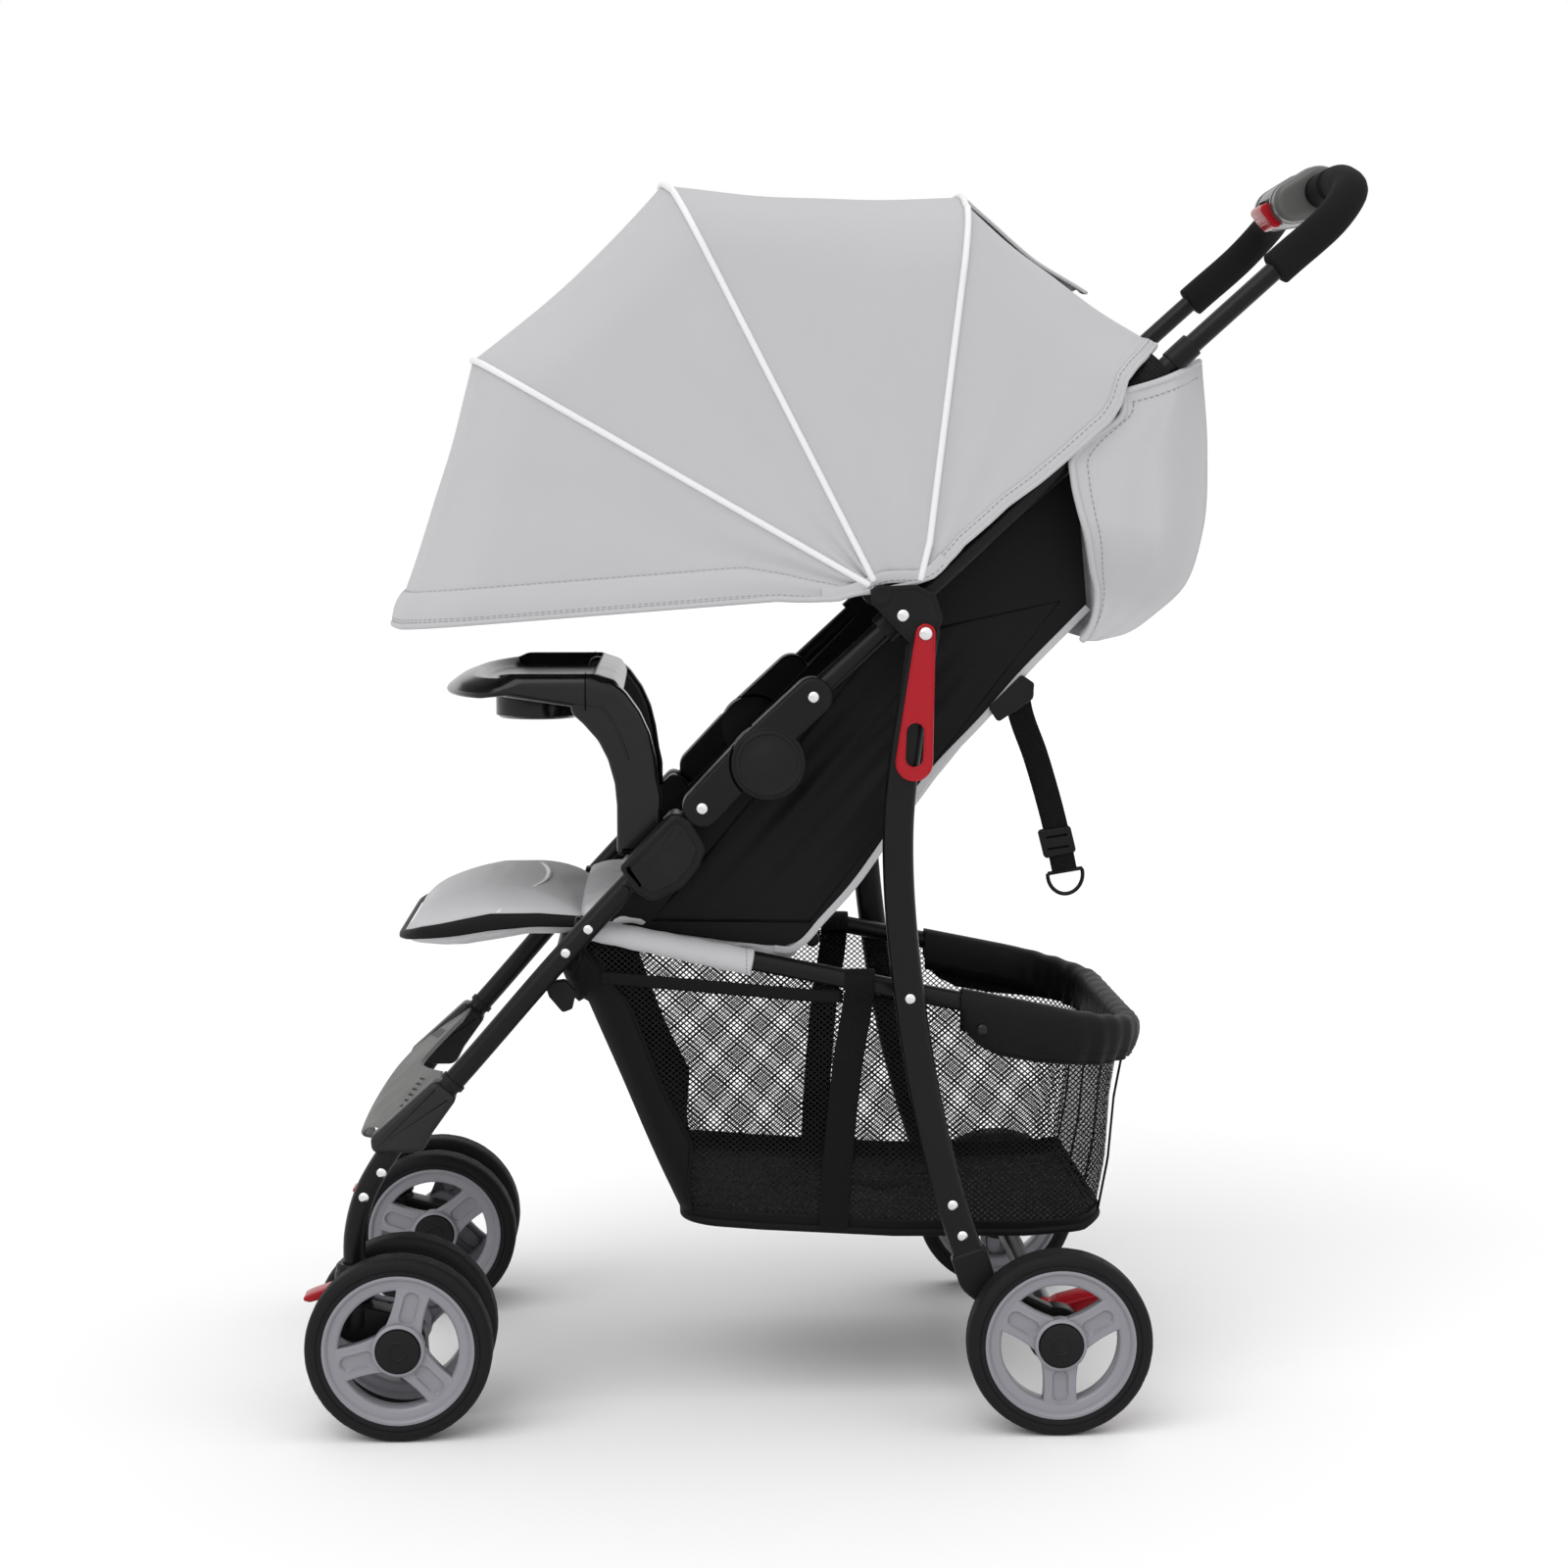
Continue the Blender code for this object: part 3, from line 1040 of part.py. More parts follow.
body("front_frame", (0, 0, 0))
body("push_frame", xz(KNUCKLE, 0), "front_frame")
body("rear_frame", xz(LEG_PIVOT, 0), "push_frame")
body("seat_rail", xz(RAIL_PIVOT, 0), "front_frame")
body("seat_back", xz(BIGHT, 0), "seat_rail")
body("backrest", xz(BIGHT, 0), "seat_back")
body("leg_rest", xz(CROSS_BAR, 0), "front_frame")
body("tray_mount", (ARM_X[0], 0, ARM_FOOT_Z), "front_frame")
body("trigger", xz(TRIGGER_ENDS[0], 0), "push_frame")
body("latch", xz(LEG_PIVOT, -PLATE_OUT), "push_frame")
body("brake", (REAR_AXLE_X, -BRAKE_Y[0], WHEEL_R), "rear_frame")
body("bow_rear", xz(CANOPY_PIVOT, 0), "push_frame")
body("bow_middle", xz(CANOPY_PIVOT, 0), "bow_rear")
body("bow_front", xz(CANOPY_PIVOT, 0), "bow_middle")
body("visor", xz(CANOPY_PIVOT, 0), "bow_front")

for name, side in SIDES:
    front_leg(name, side)
    hinge_half(name, side, False)
    hinge_half(name, side, True)
    tray_socket(name, side)
    caster_socket(name, side)
    body(f"caster_{name}", (SWIVEL_X, side * FRAME_Y, SOCKET_Z[0]), "front_frame")
    caster_fork(name, side)
    lock_x = SWIVEL_X - CASTER_R - FIT
    body(f"lock_{name}", (lock_x, side * FRAME_Y, LOCK_Z + 0.005), f"caster_{name}")
    swivel_lock(name, side)
    for place, step, turn in (("outer", side, 75.0), ("inner", -side, 40.0)):
        y = side * FRAME_Y + step * WHEEL_OFFSET
        holder = f"front_wheel_{name}_{place}"
        body(holder, (FRONT_AXLE_X, y, WHEEL_R), f"caster_{name}")
        wheel(holder, FRONT_AXLE_X, y, holder, step, turn)
    holder = f"rear_wheel_{name}"
    body(holder, (REAR_AXLE_X, side * REAR_WHEEL_Y, WHEEL_R), "rear_frame")
    wheel(holder, REAR_AXLE_X, side * REAR_WHEEL_Y, holder, side, -90.0)
    grip(name, side)
    leg_bracket(name, side)
    rear_leg(name, side)
    side_panel(name, side)

footrest()
tray()
cross_bar()
handle()
handle_housing()
trigger()
storage_latch()
rear_axle_frame()
brake_pedal()
seat_rail()
rim_cover()
basket()
seat_pad()
seat_bight()
backrest()
harness()
recline_strap()
leg_rest()
canopy()
parent_bag()
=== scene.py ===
# Travel stroller, seen from the child's left: camera, studio, materials, then every piece.
import functools
import json
import math

import bpy
import numpy as np
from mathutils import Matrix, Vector

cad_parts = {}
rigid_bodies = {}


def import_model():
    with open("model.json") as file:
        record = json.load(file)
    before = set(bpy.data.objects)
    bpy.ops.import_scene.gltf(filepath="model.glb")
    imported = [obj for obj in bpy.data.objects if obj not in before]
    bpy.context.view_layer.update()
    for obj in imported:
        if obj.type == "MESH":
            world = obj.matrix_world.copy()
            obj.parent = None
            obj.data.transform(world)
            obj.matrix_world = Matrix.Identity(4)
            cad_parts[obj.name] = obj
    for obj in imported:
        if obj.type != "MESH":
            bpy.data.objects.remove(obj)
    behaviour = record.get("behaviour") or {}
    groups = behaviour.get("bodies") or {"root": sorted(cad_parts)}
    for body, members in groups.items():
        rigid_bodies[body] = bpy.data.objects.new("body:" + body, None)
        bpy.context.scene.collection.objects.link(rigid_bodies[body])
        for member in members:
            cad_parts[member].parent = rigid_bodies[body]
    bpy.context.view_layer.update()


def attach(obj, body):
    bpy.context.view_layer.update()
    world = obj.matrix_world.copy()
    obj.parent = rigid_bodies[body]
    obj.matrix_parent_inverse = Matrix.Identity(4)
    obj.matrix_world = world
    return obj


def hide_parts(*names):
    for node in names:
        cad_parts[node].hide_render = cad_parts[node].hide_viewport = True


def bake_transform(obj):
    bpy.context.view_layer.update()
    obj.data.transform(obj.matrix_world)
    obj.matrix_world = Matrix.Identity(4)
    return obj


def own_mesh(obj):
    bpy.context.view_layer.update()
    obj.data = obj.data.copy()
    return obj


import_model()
near, far = -1, 1
sideNames = {near: "left", far: "right"}

photoCamera = {"place": (-0.1402, -2.537, 0.7445), "yaw": 2.378, "pitch": 5.363, "lens": 67.39}
studio = {"world": 0.5, "key": 1.25, "fill": 0.45, "top": 0.85, "floorWhite": 0.99}


def placeCamera():
    data = bpy.data.cameras.new("photoCamera")
    data.lens = photoCamera["lens"]
    data.sensor_width = 36.0
    data.clip_end = 50.0
    camera = bpy.data.objects.new("photoCamera", data)
    bpy.context.scene.collection.objects.link(camera)
    camera.location = photoCamera["place"]
    camera.rotation_euler = (math.radians(90 - photoCamera["pitch"]), 0.0, -math.radians(photoCamera["yaw"]))
    bpy.context.scene.camera = camera


def addNode(tree, kind, **values):
    # A shader node, with its settings and its unlinked inputs given by name.
    node = tree.nodes.new(kind)
    for key, value in values.items():
        if hasattr(node, key) and key not in node.inputs:
            setattr(node, key, value)
    for key, value in values.items():
        if not hasattr(node, key):
            label = int(key[1:]) if key[0] == "i" and key[1:].isdigit() else key.replace("_", " ")
            node.inputs[label].default_value = value
    return node


def join(tree, *pairs):
    for out, into in pairs:
        tree.links.new(out, into)


def mathNode(tree, operation, first, second=None):
    # One Math node; each argument is a socket or a number.
    node = tree.nodes.new("ShaderNodeMath")
    node.operation = operation
    for socket, value in zip(node.inputs, (first, second)):
        if value is None:
            continue
        if isinstance(value, (int, float)):
            socket.default_value = value
        else:
            tree.links.new(value, socket)
    return node.outputs[0]


def newGroup(name, inputs, outputs):
    # An empty shader group with named sockets; inputs are (name, kind, default).
    group = bpy.data.node_groups.new(name, "ShaderNodeTree")
    for label, kind, value in inputs:
        socket = group.interface.new_socket(name=label, in_out="INPUT", socket_type="NodeSocket" + kind)
        if value is not None:
            socket.default_value = value
    for label, kind in outputs:
        group.interface.new_socket(name=label, in_out="OUTPUT", socket_type="NodeSocket" + kind)
    return group, group.nodes.new("NodeGroupInput"), group.nodes.new("NodeGroupOutput")


def makeWeave():
    # Plain weave: height = |sin(pi x)| where a warp thread is on top, |sin(pi y)| where a weft is, with the
    # two swapped on a chequer; the colour darkens between threads and drifts in soft clouds.
    group, given, result = newGroup(
        "weave",
        [("Vector", "Vector", None), ("Threads", "Float", 1000.0), ("Colour", "Color", (0.5, 0.5, 0.5, 1)),
         ("Gap Colour", "Color", (0.3, 0.3, 0.3, 1)), ("Clouds", "Float", 0.1)],
        [("Colour", "Color"), ("Height", "Float"), ("Clouds", "Float")],
    )
    calc = functools.partial(mathNode, group)
    scaled = addNode(group, "ShaderNodeVectorMath", operation="SCALE")
    parts = addNode(group, "ShaderNodeSeparateXYZ")
    join(group, (given.outputs["Vector"], scaled.inputs[0]),
        (given.outputs["Threads"], scaled.inputs["Scale"]), (scaled.outputs[0], parts.inputs[0]))
    across = calc("ADD", parts.outputs[0], parts.outputs[2])
    along = calc("ADD", parts.outputs[1], calc("MULTIPLY", parts.outputs[2], 0.31))
    warp = calc("ABSOLUTE", calc("SINE", calc("MULTIPLY", across, math.pi)))
    weft = calc("ABSOLUTE", calc("SINE", calc("MULTIPLY", along, math.pi)))
    cells = calc("ADD", calc("FLOOR", across), calc("FLOOR", along))
    chequer = calc("MODULO", calc("ABSOLUTE", cells), 2.0)
    warpTop = calc("MULTIPLY", warp, chequer)
    weftTop = calc("MULTIPLY", weft, calc("SUBTRACT", 1.0, chequer))
    height = calc("ADD", warpTop, weftTop)
    clouds = addNode(group, "ShaderNodeTexNoise", Scale=9.0, Detail=3.0)
    join(group, (given.outputs["Vector"], clouds.inputs["Vector"]))
    drift = calc("MULTIPLY", calc("SUBTRACT", clouds.outputs[0], 0.5), given.outputs["Clouds"])
    mixed = addNode(group, "ShaderNodeMix", data_type="RGBA")
    join(group, (height, mixed.inputs[0]), (given.outputs["Gap Colour"], mixed.inputs[6]),
        (given.outputs["Colour"], mixed.inputs[7]))
    bright = addNode(group, "ShaderNodeHueSaturation")
    join(group, (mixed.outputs[2], bright.inputs["Color"]), (calc("ADD", drift, 1.0), bright.inputs["Value"]),
        (bright.outputs[0], result.inputs["Colour"]), (height, result.inputs["Height"]),
        (clouds.outputs[0], result.inputs["Clouds"]))
    return group


def makeNet():
    # Diamond netting: a point is on a thread where |frac(x + y) - 1/2| or |frac(x - y) - 1/2| passes the
    # width.
    group, given, result = newGroup(
        "netting", [("Vector", "Vector", None), ("Cells", "Float", 200.0), ("Width", "Float", 0.32)],
        [("Mask", "Float"), ("Height", "Float")],
    )
    calc = functools.partial(mathNode, group)
    scaled = addNode(group, "ShaderNodeVectorMath", operation="SCALE")
    parts = addNode(group, "ShaderNodeSeparateXYZ")
    join(group, (given.outputs["Vector"], scaled.inputs[0]), (given.outputs["Cells"], scaled.inputs["Scale"]),
        (scaled.outputs[0], parts.inputs[0]))
    one = calc("ADD", parts.outputs[0], parts.outputs[1])
    two = calc("SUBTRACT", parts.outputs[0], parts.outputs[1])
    ridges = [calc("ABSOLUTE", calc("SUBTRACT", calc("FRACT", v), 0.5)) for v in (one, two)]
    height = calc("MAXIMUM", *ridges)
    limit = calc("SUBTRACT", 0.5, calc("MULTIPLY", given.outputs["Width"], 0.5))
    join(group, (calc("GREATER_THAN", height, limit), result.inputs["Mask"]),
        (height, result.inputs["Height"]))
    return group


def makeGrain():
    # Moulded grain: fine noise for height, and slower noise that rubs the finish smoother in patches.
    group, given, result = newGroup(
        "mouldGrain",
        [("Vector", "Vector", None), ("Scale", "Float", 1500.0), ("Colour", "Color", (0.02, 0.02, 0.02, 1)),
         ("Rough", "Float", 0.45), ("Spread", "Float", 0.12), ("Dust", "Float", 0.05)],
        [("Colour", "Color"), ("Height", "Float"), ("Rough", "Float")],
    )
    calc = functools.partial(mathNode, group)
    fine = addNode(group, "ShaderNodeTexNoise", Detail=2.0)
    slow = addNode(group, "ShaderNodeTexNoise", Scale=22.0, Detail=4.0)
    join(group, (given.outputs["Vector"], fine.inputs["Vector"]),
        (given.outputs["Scale"], fine.inputs["Scale"]), (given.outputs["Vector"], slow.inputs["Vector"]))
    swing = calc("MULTIPLY", calc("SUBTRACT", slow.outputs[0], 0.5), given.outputs["Spread"])
    rough = calc("ADD", given.outputs["Rough"], calc("MULTIPLY", swing, 2.0))
    dusty = addNode(group, "ShaderNodeMix", data_type="RGBA", i7=(0.35, 0.34, 0.33, 1))
    join(group, (calc("MULTIPLY", calc("POWER", slow.outputs[0], 3.0), given.outputs["Dust"]),
        dusty.inputs[0]), (given.outputs["Colour"], dusty.inputs[6]),
        (dusty.outputs[2], result.inputs["Colour"]), (fine.outputs[0], result.inputs["Height"]),
        (rough, result.inputs["Rough"]))
    return group


groups = {"weave": makeWeave(), "netting": makeNet(), "grain": makeGrain()}


def newMaterial(name, **sockets):
    # A Principled material with its uniform values on the shader's own sockets.
    made = bpy.data.materials.new(name)
    made.use_nodes = True
    shader = made.node_tree.nodes["Principled BSDF"]
    for key, value in sockets.items():
        shader.inputs[key.replace("_", " ")].default_value = value
    return made, made.node_tree, shader


def addBump(tree, shader, height, strength, distance):
    bump = addNode(tree, "ShaderNodeBump", Strength=strength, Distance=distance)
    join(tree, (height, bump.inputs["Height"]), (bump.outputs[0], shader.inputs["Normal"]))
    return bump


def useGroup(tree, key, **values):
    node = tree.nodes.new("ShaderNodeGroup")
    node.node_tree = groups[key]
    for label, value in values.items():
        node.inputs[label.replace("_", " ")].default_value = value
    return node


def clothMaterial(name, colour, gapShade=0.82, threads=1500.0, clouds=0.05, rough=0.85, bump=0.25, sheen=0.15,
        shine=0.25, mapped=True):
    # Woven cloth: mapped cloth follows its own UV, in metres; the rest reads object coordinates.
    made, tree, shader = newMaterial(name, Roughness=rough, Sheen_Weight=sheen, Sheen_Roughness=0.5,
        Specular_IOR_Level=shine)
    place = addNode(tree, "ShaderNodeTexCoord")
    weave = useGroup(tree, "weave", Threads=threads, Colour=(*colour, 1),
        Gap_Colour=(*[c * gapShade for c in colour], 1), Clouds=clouds)
    join(tree, (place.outputs["UV" if mapped else "Object"], weave.inputs["Vector"]),
        (weave.outputs["Colour"], shader.inputs["Base Color"]))
    addBump(tree, shader, weave.outputs["Height"], bump, 0.0002)
    return made


def grainMaterial(name, colour, rough=0.45, scale=1500.0, bump=0.15, spread=0.12, dust=0.03, **sockets):
    made, tree, shader = newMaterial(name, **sockets)
    place = addNode(tree, "ShaderNodeTexCoord")
    grain = useGroup(tree, "grain", Scale=scale, Colour=(*colour, 1), Rough=rough, Spread=spread, Dust=dust)
    join(tree, (place.outputs["Object"], grain.inputs["Vector"]),
        (grain.outputs["Colour"], shader.inputs["Base Color"]),
        (grain.outputs["Rough"], shader.inputs["Roughness"]))
    addBump(tree, shader, grain.outputs["Height"], bump, 0.0003)
    return made


def netMaterial(name, colour, cells=200.0, width=0.27):
    made, tree, shader = newMaterial(name, Base_Color=(*colour, 1), Roughness=0.6, Specular_IOR_Level=0.1)
    place = addNode(tree, "ShaderNodeTexCoord")
    net = useGroup(tree, "netting", Cells=cells, Width=width)
    join(tree, (place.outputs["UV"], net.inputs["Vector"]), (net.outputs["Mask"], shader.inputs["Alpha"]))
    addBump(tree, shader, net.outputs["Height"], 0.3, 0.0006)
    return made


def ribbedMaterial(name, colour, pitch=0.0022, rough=0.7):
    # Webbing and knit: ribs run across the strip, with a fine cross thread.
    made, tree, shader = newMaterial(name, Roughness=rough, Specular_IOR_Level=0.1)
    place = addNode(tree, "ShaderNodeTexCoord")
    weave = useGroup(tree, "weave", Threads=1.0 / pitch, Colour=(*colour, 1),
        Gap_Colour=(*[c * 0.5 for c in colour], 1), Clouds=0.1)
    join(tree, (place.outputs["UV"], weave.inputs["Vector"]),
        (weave.outputs["Colour"], shader.inputs["Base Color"]))
    addBump(tree, shader, weave.outputs["Height"], 0.6, 0.0006)
    return made


looks = {
    "greyCloth": clothMaterial("greyCloth", (0.525, 0.525, 0.54)),
    # The pads' grey is made lighter as painted light, to make up for the shade that the canopy casts on them.
    "greyPad": clothMaterial("greyPad", (0.6, 0.6, 0.615), threads=900.0, clouds=0.08, mapped=False),
    "blackCloth": clothMaterial("blackCloth", (0.006, 0.006, 0.0065), gapShade=0.5, threads=1100.0, rough=0.6,
        sheen=0.0, shine=0.1),
    "blackPad": clothMaterial("blackPad", (0.0055, 0.0055, 0.006), gapShade=0.5, threads=1100.0, rough=0.5,
        sheen=0.0, shine=0.12, mapped=False),
    "piping": grainMaterial("piping", (0.78, 0.78, 0.79), rough=0.4, scale=500.0, bump=0.05, dust=0.0),
    "stitch": grainMaterial("stitch", (0.24, 0.24, 0.25), rough=0.7, scale=3000.0, dust=0.0),
    "net": netMaterial("net", (0.006, 0.006, 0.0065)),
    "webbing": ribbedMaterial("webbing", (0.0065, 0.0065, 0.007)),
    "knit": ribbedMaterial("knit", (0.012, 0.012, 0.013), pitch=0.003),
    "paint": grainMaterial("paint", (0.005, 0.005, 0.0056), rough=0.3, scale=2600.0, bump=0.06, spread=0.05,
        dust=0.01, Specular_IOR_Level=0.16),
    "plastic": grainMaterial("plastic", (0.0065, 0.0065, 0.0072), rough=0.4, scale=1600.0, bump=0.12,
        Specular_IOR_Level=0.13),
    "capPlastic": grainMaterial("capPlastic", (0.0085, 0.0085, 0.0092), rough=0.45, scale=1600.0, bump=0.1,
        Specular_IOR_Level=0.13),
    "foam": grainMaterial("foam", (0.0085, 0.0085, 0.009), rough=0.85, scale=800.0, bump=0.5, dust=0.02,
        Specular_IOR_Level=0.08),
    "tyre": grainMaterial("tyre", (0.0095, 0.0095, 0.0105), rough=0.6, scale=500.0, bump=0.2, dust=0.03,
        Specular_IOR_Level=0.1),
    "rim": grainMaterial("rim", (0.235, 0.235, 0.26), rough=0.42, scale=1800.0, bump=0.08, dust=0.0),
    "footGrey": grainMaterial("footGrey", (0.075, 0.075, 0.072), rough=0.5, scale=1400.0, bump=0.15,
        Specular_IOR_Level=0.2),
    # The footrest's face and sleeves are one grey plastic; the sleeves take a darker copy of it as painted
    # shade.
    "sleeveGrey": grainMaterial("sleeveGrey", (0.014, 0.014, 0.014), rough=0.42, scale=1400.0, bump=0.12,
        Specular_IOR_Level=0.2),
    "houseGrey": grainMaterial("houseGrey", (0.085, 0.084, 0.082), rough=0.3, scale=1600.0, bump=0.06,
        dust=0.0, Specular_IOR_Level=0.4),
    "gloss": grainMaterial("gloss", (0.0045, 0.0045, 0.005), rough=0.2, scale=1600.0, bump=0.03, spread=0.05,
        dust=0.0, Specular_IOR_Level=0.28),
    "red": grainMaterial("red", (0.36, 0.0065, 0.014), rough=0.24, scale=1500.0, bump=0.04, spread=0.04,
        dust=0.0, Specular_IOR_Level=0.2),
    "chrome": grainMaterial("chrome", (0.66, 0.66, 0.68), rough=0.2, scale=900.0, bump=0.05, spread=0.1,
        dust=0.02, Metallic=1.0),
    # A matte black with no reflection, drawn along the tray's seam as painted shade in the gap.
    "darkHole": grainMaterial("darkHole", (0.004, 0.004, 0.004), rough=0.9, dust=0.0, Specular_IOR_Level=0.0),
}
print("materials ready:", len(looks))

sharpAngle = math.radians(38)


def unit(vectors):
    return vectors / np.maximum(np.linalg.norm(vectors, axis=-1, keepdims=True), 1e-12)


def meshPiece(name, verts, faces, look, rides, uv=None):
    # An object at the origin from arrays of points and faces; uv is one pair for each face corner.
    mesh = bpy.data.meshes.new(name)
    mesh.from_pydata(np.asarray(verts, float).tolist(), [], [list(f) for f in faces])
    if uv is not None:
        layer = mesh.uv_layers.new(name="cloth")
        layer.data.foreach_set("uv", np.asarray(uv, np.float32).ravel())
    mesh.validate()
    mesh.materials.append(looks[look])
    mesh.shade_smooth()
    mesh.set_sharp_from_angle(angle=sharpAngle)
    piece = bpy.data.objects.new(name, mesh)
    bpy.context.scene.collection.objects.link(piece)
    if rides:
        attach(piece, rides)
    return piece


def gridFaces(rows, columns, closeRows=False, closeColumns=False):
    # Quads between neighbouring points of a grid, with the wanted seams closed.
    i, j = np.meshgrid(np.arange(rows - (not closeRows)), np.arange(columns - (not closeColumns)),
        indexing="ij")
    i, j = i.ravel(), j.ravel()
    i2, j2 = (i + 1) % rows, (j + 1) % columns
    return np.stack([i * columns + j, i2 * columns + j, i2 * columns + j2, i * columns + j2], 1)


def gridPiece(name, points, look, rides, closeRows=False, closeColumns=False, caps=False, flip=False,
        spread=None):
    # A surface from a grid of points (rows, columns, 3). Its UV is its own length in metres both ways, unless
    # spread gives one pair for each point.
    rows, columns = points.shape[:2]
    faces = gridFaces(rows, columns, closeRows, closeColumns)
    rowStep = np.linalg.norm(np.diff(points, axis=0, append=points[:1]), axis=2).mean(1)
    columnStep = np.linalg.norm(np.diff(points, axis=1, append=points[:, :1]), axis=2).mean(0)
    u = np.concatenate([[0], np.cumsum(rowStep)])
    v = np.concatenate([[0], np.cumsum(columnStep)])
    i, j = faces[:, 0] // columns, faces[:, 0] % columns
    uv = np.stack([np.stack([u[i], v[j]], 1), np.stack([u[i + 1], v[j]], 1),
        np.stack([u[i + 1], v[j + 1]], 1), np.stack([u[i], v[j + 1]], 1)], 1)
    if spread is not None:
        uv = spread.reshape(-1, 2)[faces]
    if flip:
        faces, uv = faces[:, ::-1], uv[:, ::-1]
    polygons, corners = faces.tolist(), uv.reshape(-1, 2)
    if caps:
        ends = [list(range(columns)), list(range((rows - 1) * columns, rows * columns))]
        ends[0 if not flip else 1].reverse()
        polygons += ends
        corners = np.concatenate([corners, np.zeros((2 * columns, 2))])
    return meshPiece(name, points.reshape(-1, 3), polygons, look, rides, corners)


def curveThrough(points, count):
    # An even run of points on a smooth curve: a cubic through each given point, with slopes weighted by span.
    p = np.asarray(points, float)
    span = np.linalg.norm(np.diff(p, axis=0), axis=1)
    chord = np.diff(p, axis=0) / span[:, None]
    slope = np.empty_like(p)
    slope[0], slope[-1] = chord[0], chord[-1]
    before, after = span[:-1, None], span[1:, None]
    slope[1:-1] = (chord[1:] * before + chord[:-1] * after) / (before + after)
    t = np.linspace(0, 1, 24, endpoint=False)[None, :, None]
    a, b = p[:-1, None], p[1:, None]
    s = span[:, None, None]
    dense = (a * (2 * t**3 - 3 * t**2 + 1) + slope[:-1, None] * s * (t**3 - 2 * t**2 + t)
        + b * (3 * t**2 - 2 * t**3) + slope[1:, None] * s * (t**3 - t**2)).reshape(-1, p.shape[1])
    dense = np.vstack([dense, p[-1]])
    length = runAlong(dense)
    even = np.linspace(0, length[-1], count)
    return np.stack([np.interp(even, length, dense[:, k]) for k in range(p.shape[1])], 1)


def runAlong(points):
    # The distance along a line at each of its points.
    return np.concatenate([[0], np.cumsum(np.linalg.norm(np.diff(points, axis=0), axis=1))])


def atSide(points, y):
    # Side-view (x, z) points set at a Y.
    p = np.asarray(points, float)
    return np.stack([p[:, 0], np.broadcast_to(y, len(p)), p[:, 1]], 1)


def ringProfile(sides=28, width=1.0, depth=1.0, square=2.0):
    # A closed section: a superellipse |x/width|^n + |y/depth|^n = 1.
    a = np.linspace(0, 2 * math.pi, sides, endpoint=False)
    c, s = np.cos(a), np.sin(a)
    return np.stack([width * np.sign(c) * np.abs(c) ** (2 / square),
        depth * np.sign(s) * np.abs(s) ** (2 / square)], 1)


def carried(path, profile, normal, sizes=1.0):
    # A section carried along a path: point = path + side * x + up * y, with side = normal x tangent.
    tangent = unit(np.gradient(path, axis=0))
    side = unit(np.cross(np.broadcast_to(normal, tangent.shape), tangent))
    up = np.cross(tangent, side)
    size = np.broadcast_to(sizes, len(path))[:, None, None]
    x, y = profile[None, :, :1], profile[None, :, 1:]
    return path[:, None] + side[:, None] * x * size + up[:, None] * y * size


def tube(name, path, radius, look, rides, normal=(0, 1, 0), sides=28, roundEnds=0.0, profile=None):
    # A tube along a path; its ends close in a quarter circle of roundEnds.
    section = ringProfile(sides) if profile is None else profile
    sizes = np.broadcast_to(np.asarray(radius, float), len(path)).copy()
    if roundEnds:
        run = np.linalg.norm(np.diff(path, axis=0), axis=1).sum()
        base = runAlong(path)
        extra = np.linspace(0, roundEnds, 5)
        inner = base[(base > roundEnds * 1.05) & (base < run - roundEnds * 1.05)]
        stops = np.concatenate([extra, inner, run - extra[::-1]])
        grow = np.ones(len(stops))
        lift = np.sqrt(np.clip(1 - (1 - extra / roundEnds) ** 2, 0.02, 1))
        shrink = roundEnds / sizes[0]
        grow[:5] = 1 - min(shrink, 1) * (1 - lift)
        grow[-5:] = grow[:5][::-1]
        path = np.stack([np.interp(stops, base, path[:, k]) for k in range(3)], 1)
        sizes = np.interp(stops, base, sizes) * grow
    return gridPiece(name, carried(path, section, normal, sizes), look, rides, closeColumns=True, caps=True,
        flip=True)


def arcCorners(points, radii, steps=6):
    # An outline with each corner replaced by an arc of its radius.
    p = np.asarray(points, float)
    n = len(p)
    radii = np.broadcast_to(radii, n)
    out = []
    for k in range(n):
        a, b = p[k - 1] - p[k], p[(k + 1) % n] - p[k]
        la, lb = np.linalg.norm(a), np.linalg.norm(b)
        half = math.acos(np.clip(np.dot(a, b) / (la * lb), -1, 1)) / 2
        reach = min(radii[k] / max(math.tan(half), 1e-6), 0.48 * la, 0.48 * lb)
        r = reach * math.tan(half)
        start, end = p[k] + a / la * reach, p[k] + b / lb * reach
        if r < 1e-5 or half > 1.56:
            out.append(p[k:k + 1])
            continue
        centre = p[k] + unit(a / la + b / lb) * (r / math.sin(half))
        t = np.linspace(0, 1, steps + 1)[:, None]
        out.append(centre + unit(start + (end - start) * t - centre) * r)
    return np.vstack(out)


def evenRing(outline, count):
    # Even points round a closed outline.
    closed = np.vstack([outline, outline[:1]])
    run = runAlong(closed)
    even = np.linspace(0, run[-1], count, endpoint=False)
    return np.stack([np.interp(even, run, closed[:, k]) for k in range(closed.shape[1])], 1)


def linkOutline(a, b, ra, rb, steps=14):
    # The outline round two circles.
    a, b = np.array(a, float), np.array(b, float)
    along = unit(b - a)
    lean = math.asin((ra - rb) / np.linalg.norm(b - a))
    base = math.atan2(along[1], along[0])
    one = np.linspace(base - math.pi / 2 + lean, base + math.pi / 2 - lean, steps)
    two = np.linspace(base + math.pi / 2 - lean, base + 3 * math.pi / 2 + lean, steps)
    return np.vstack([b + rb * np.stack([np.cos(one), np.sin(one)], 1),
        a + ra * np.stack([np.cos(two), np.sin(two)], 1)])


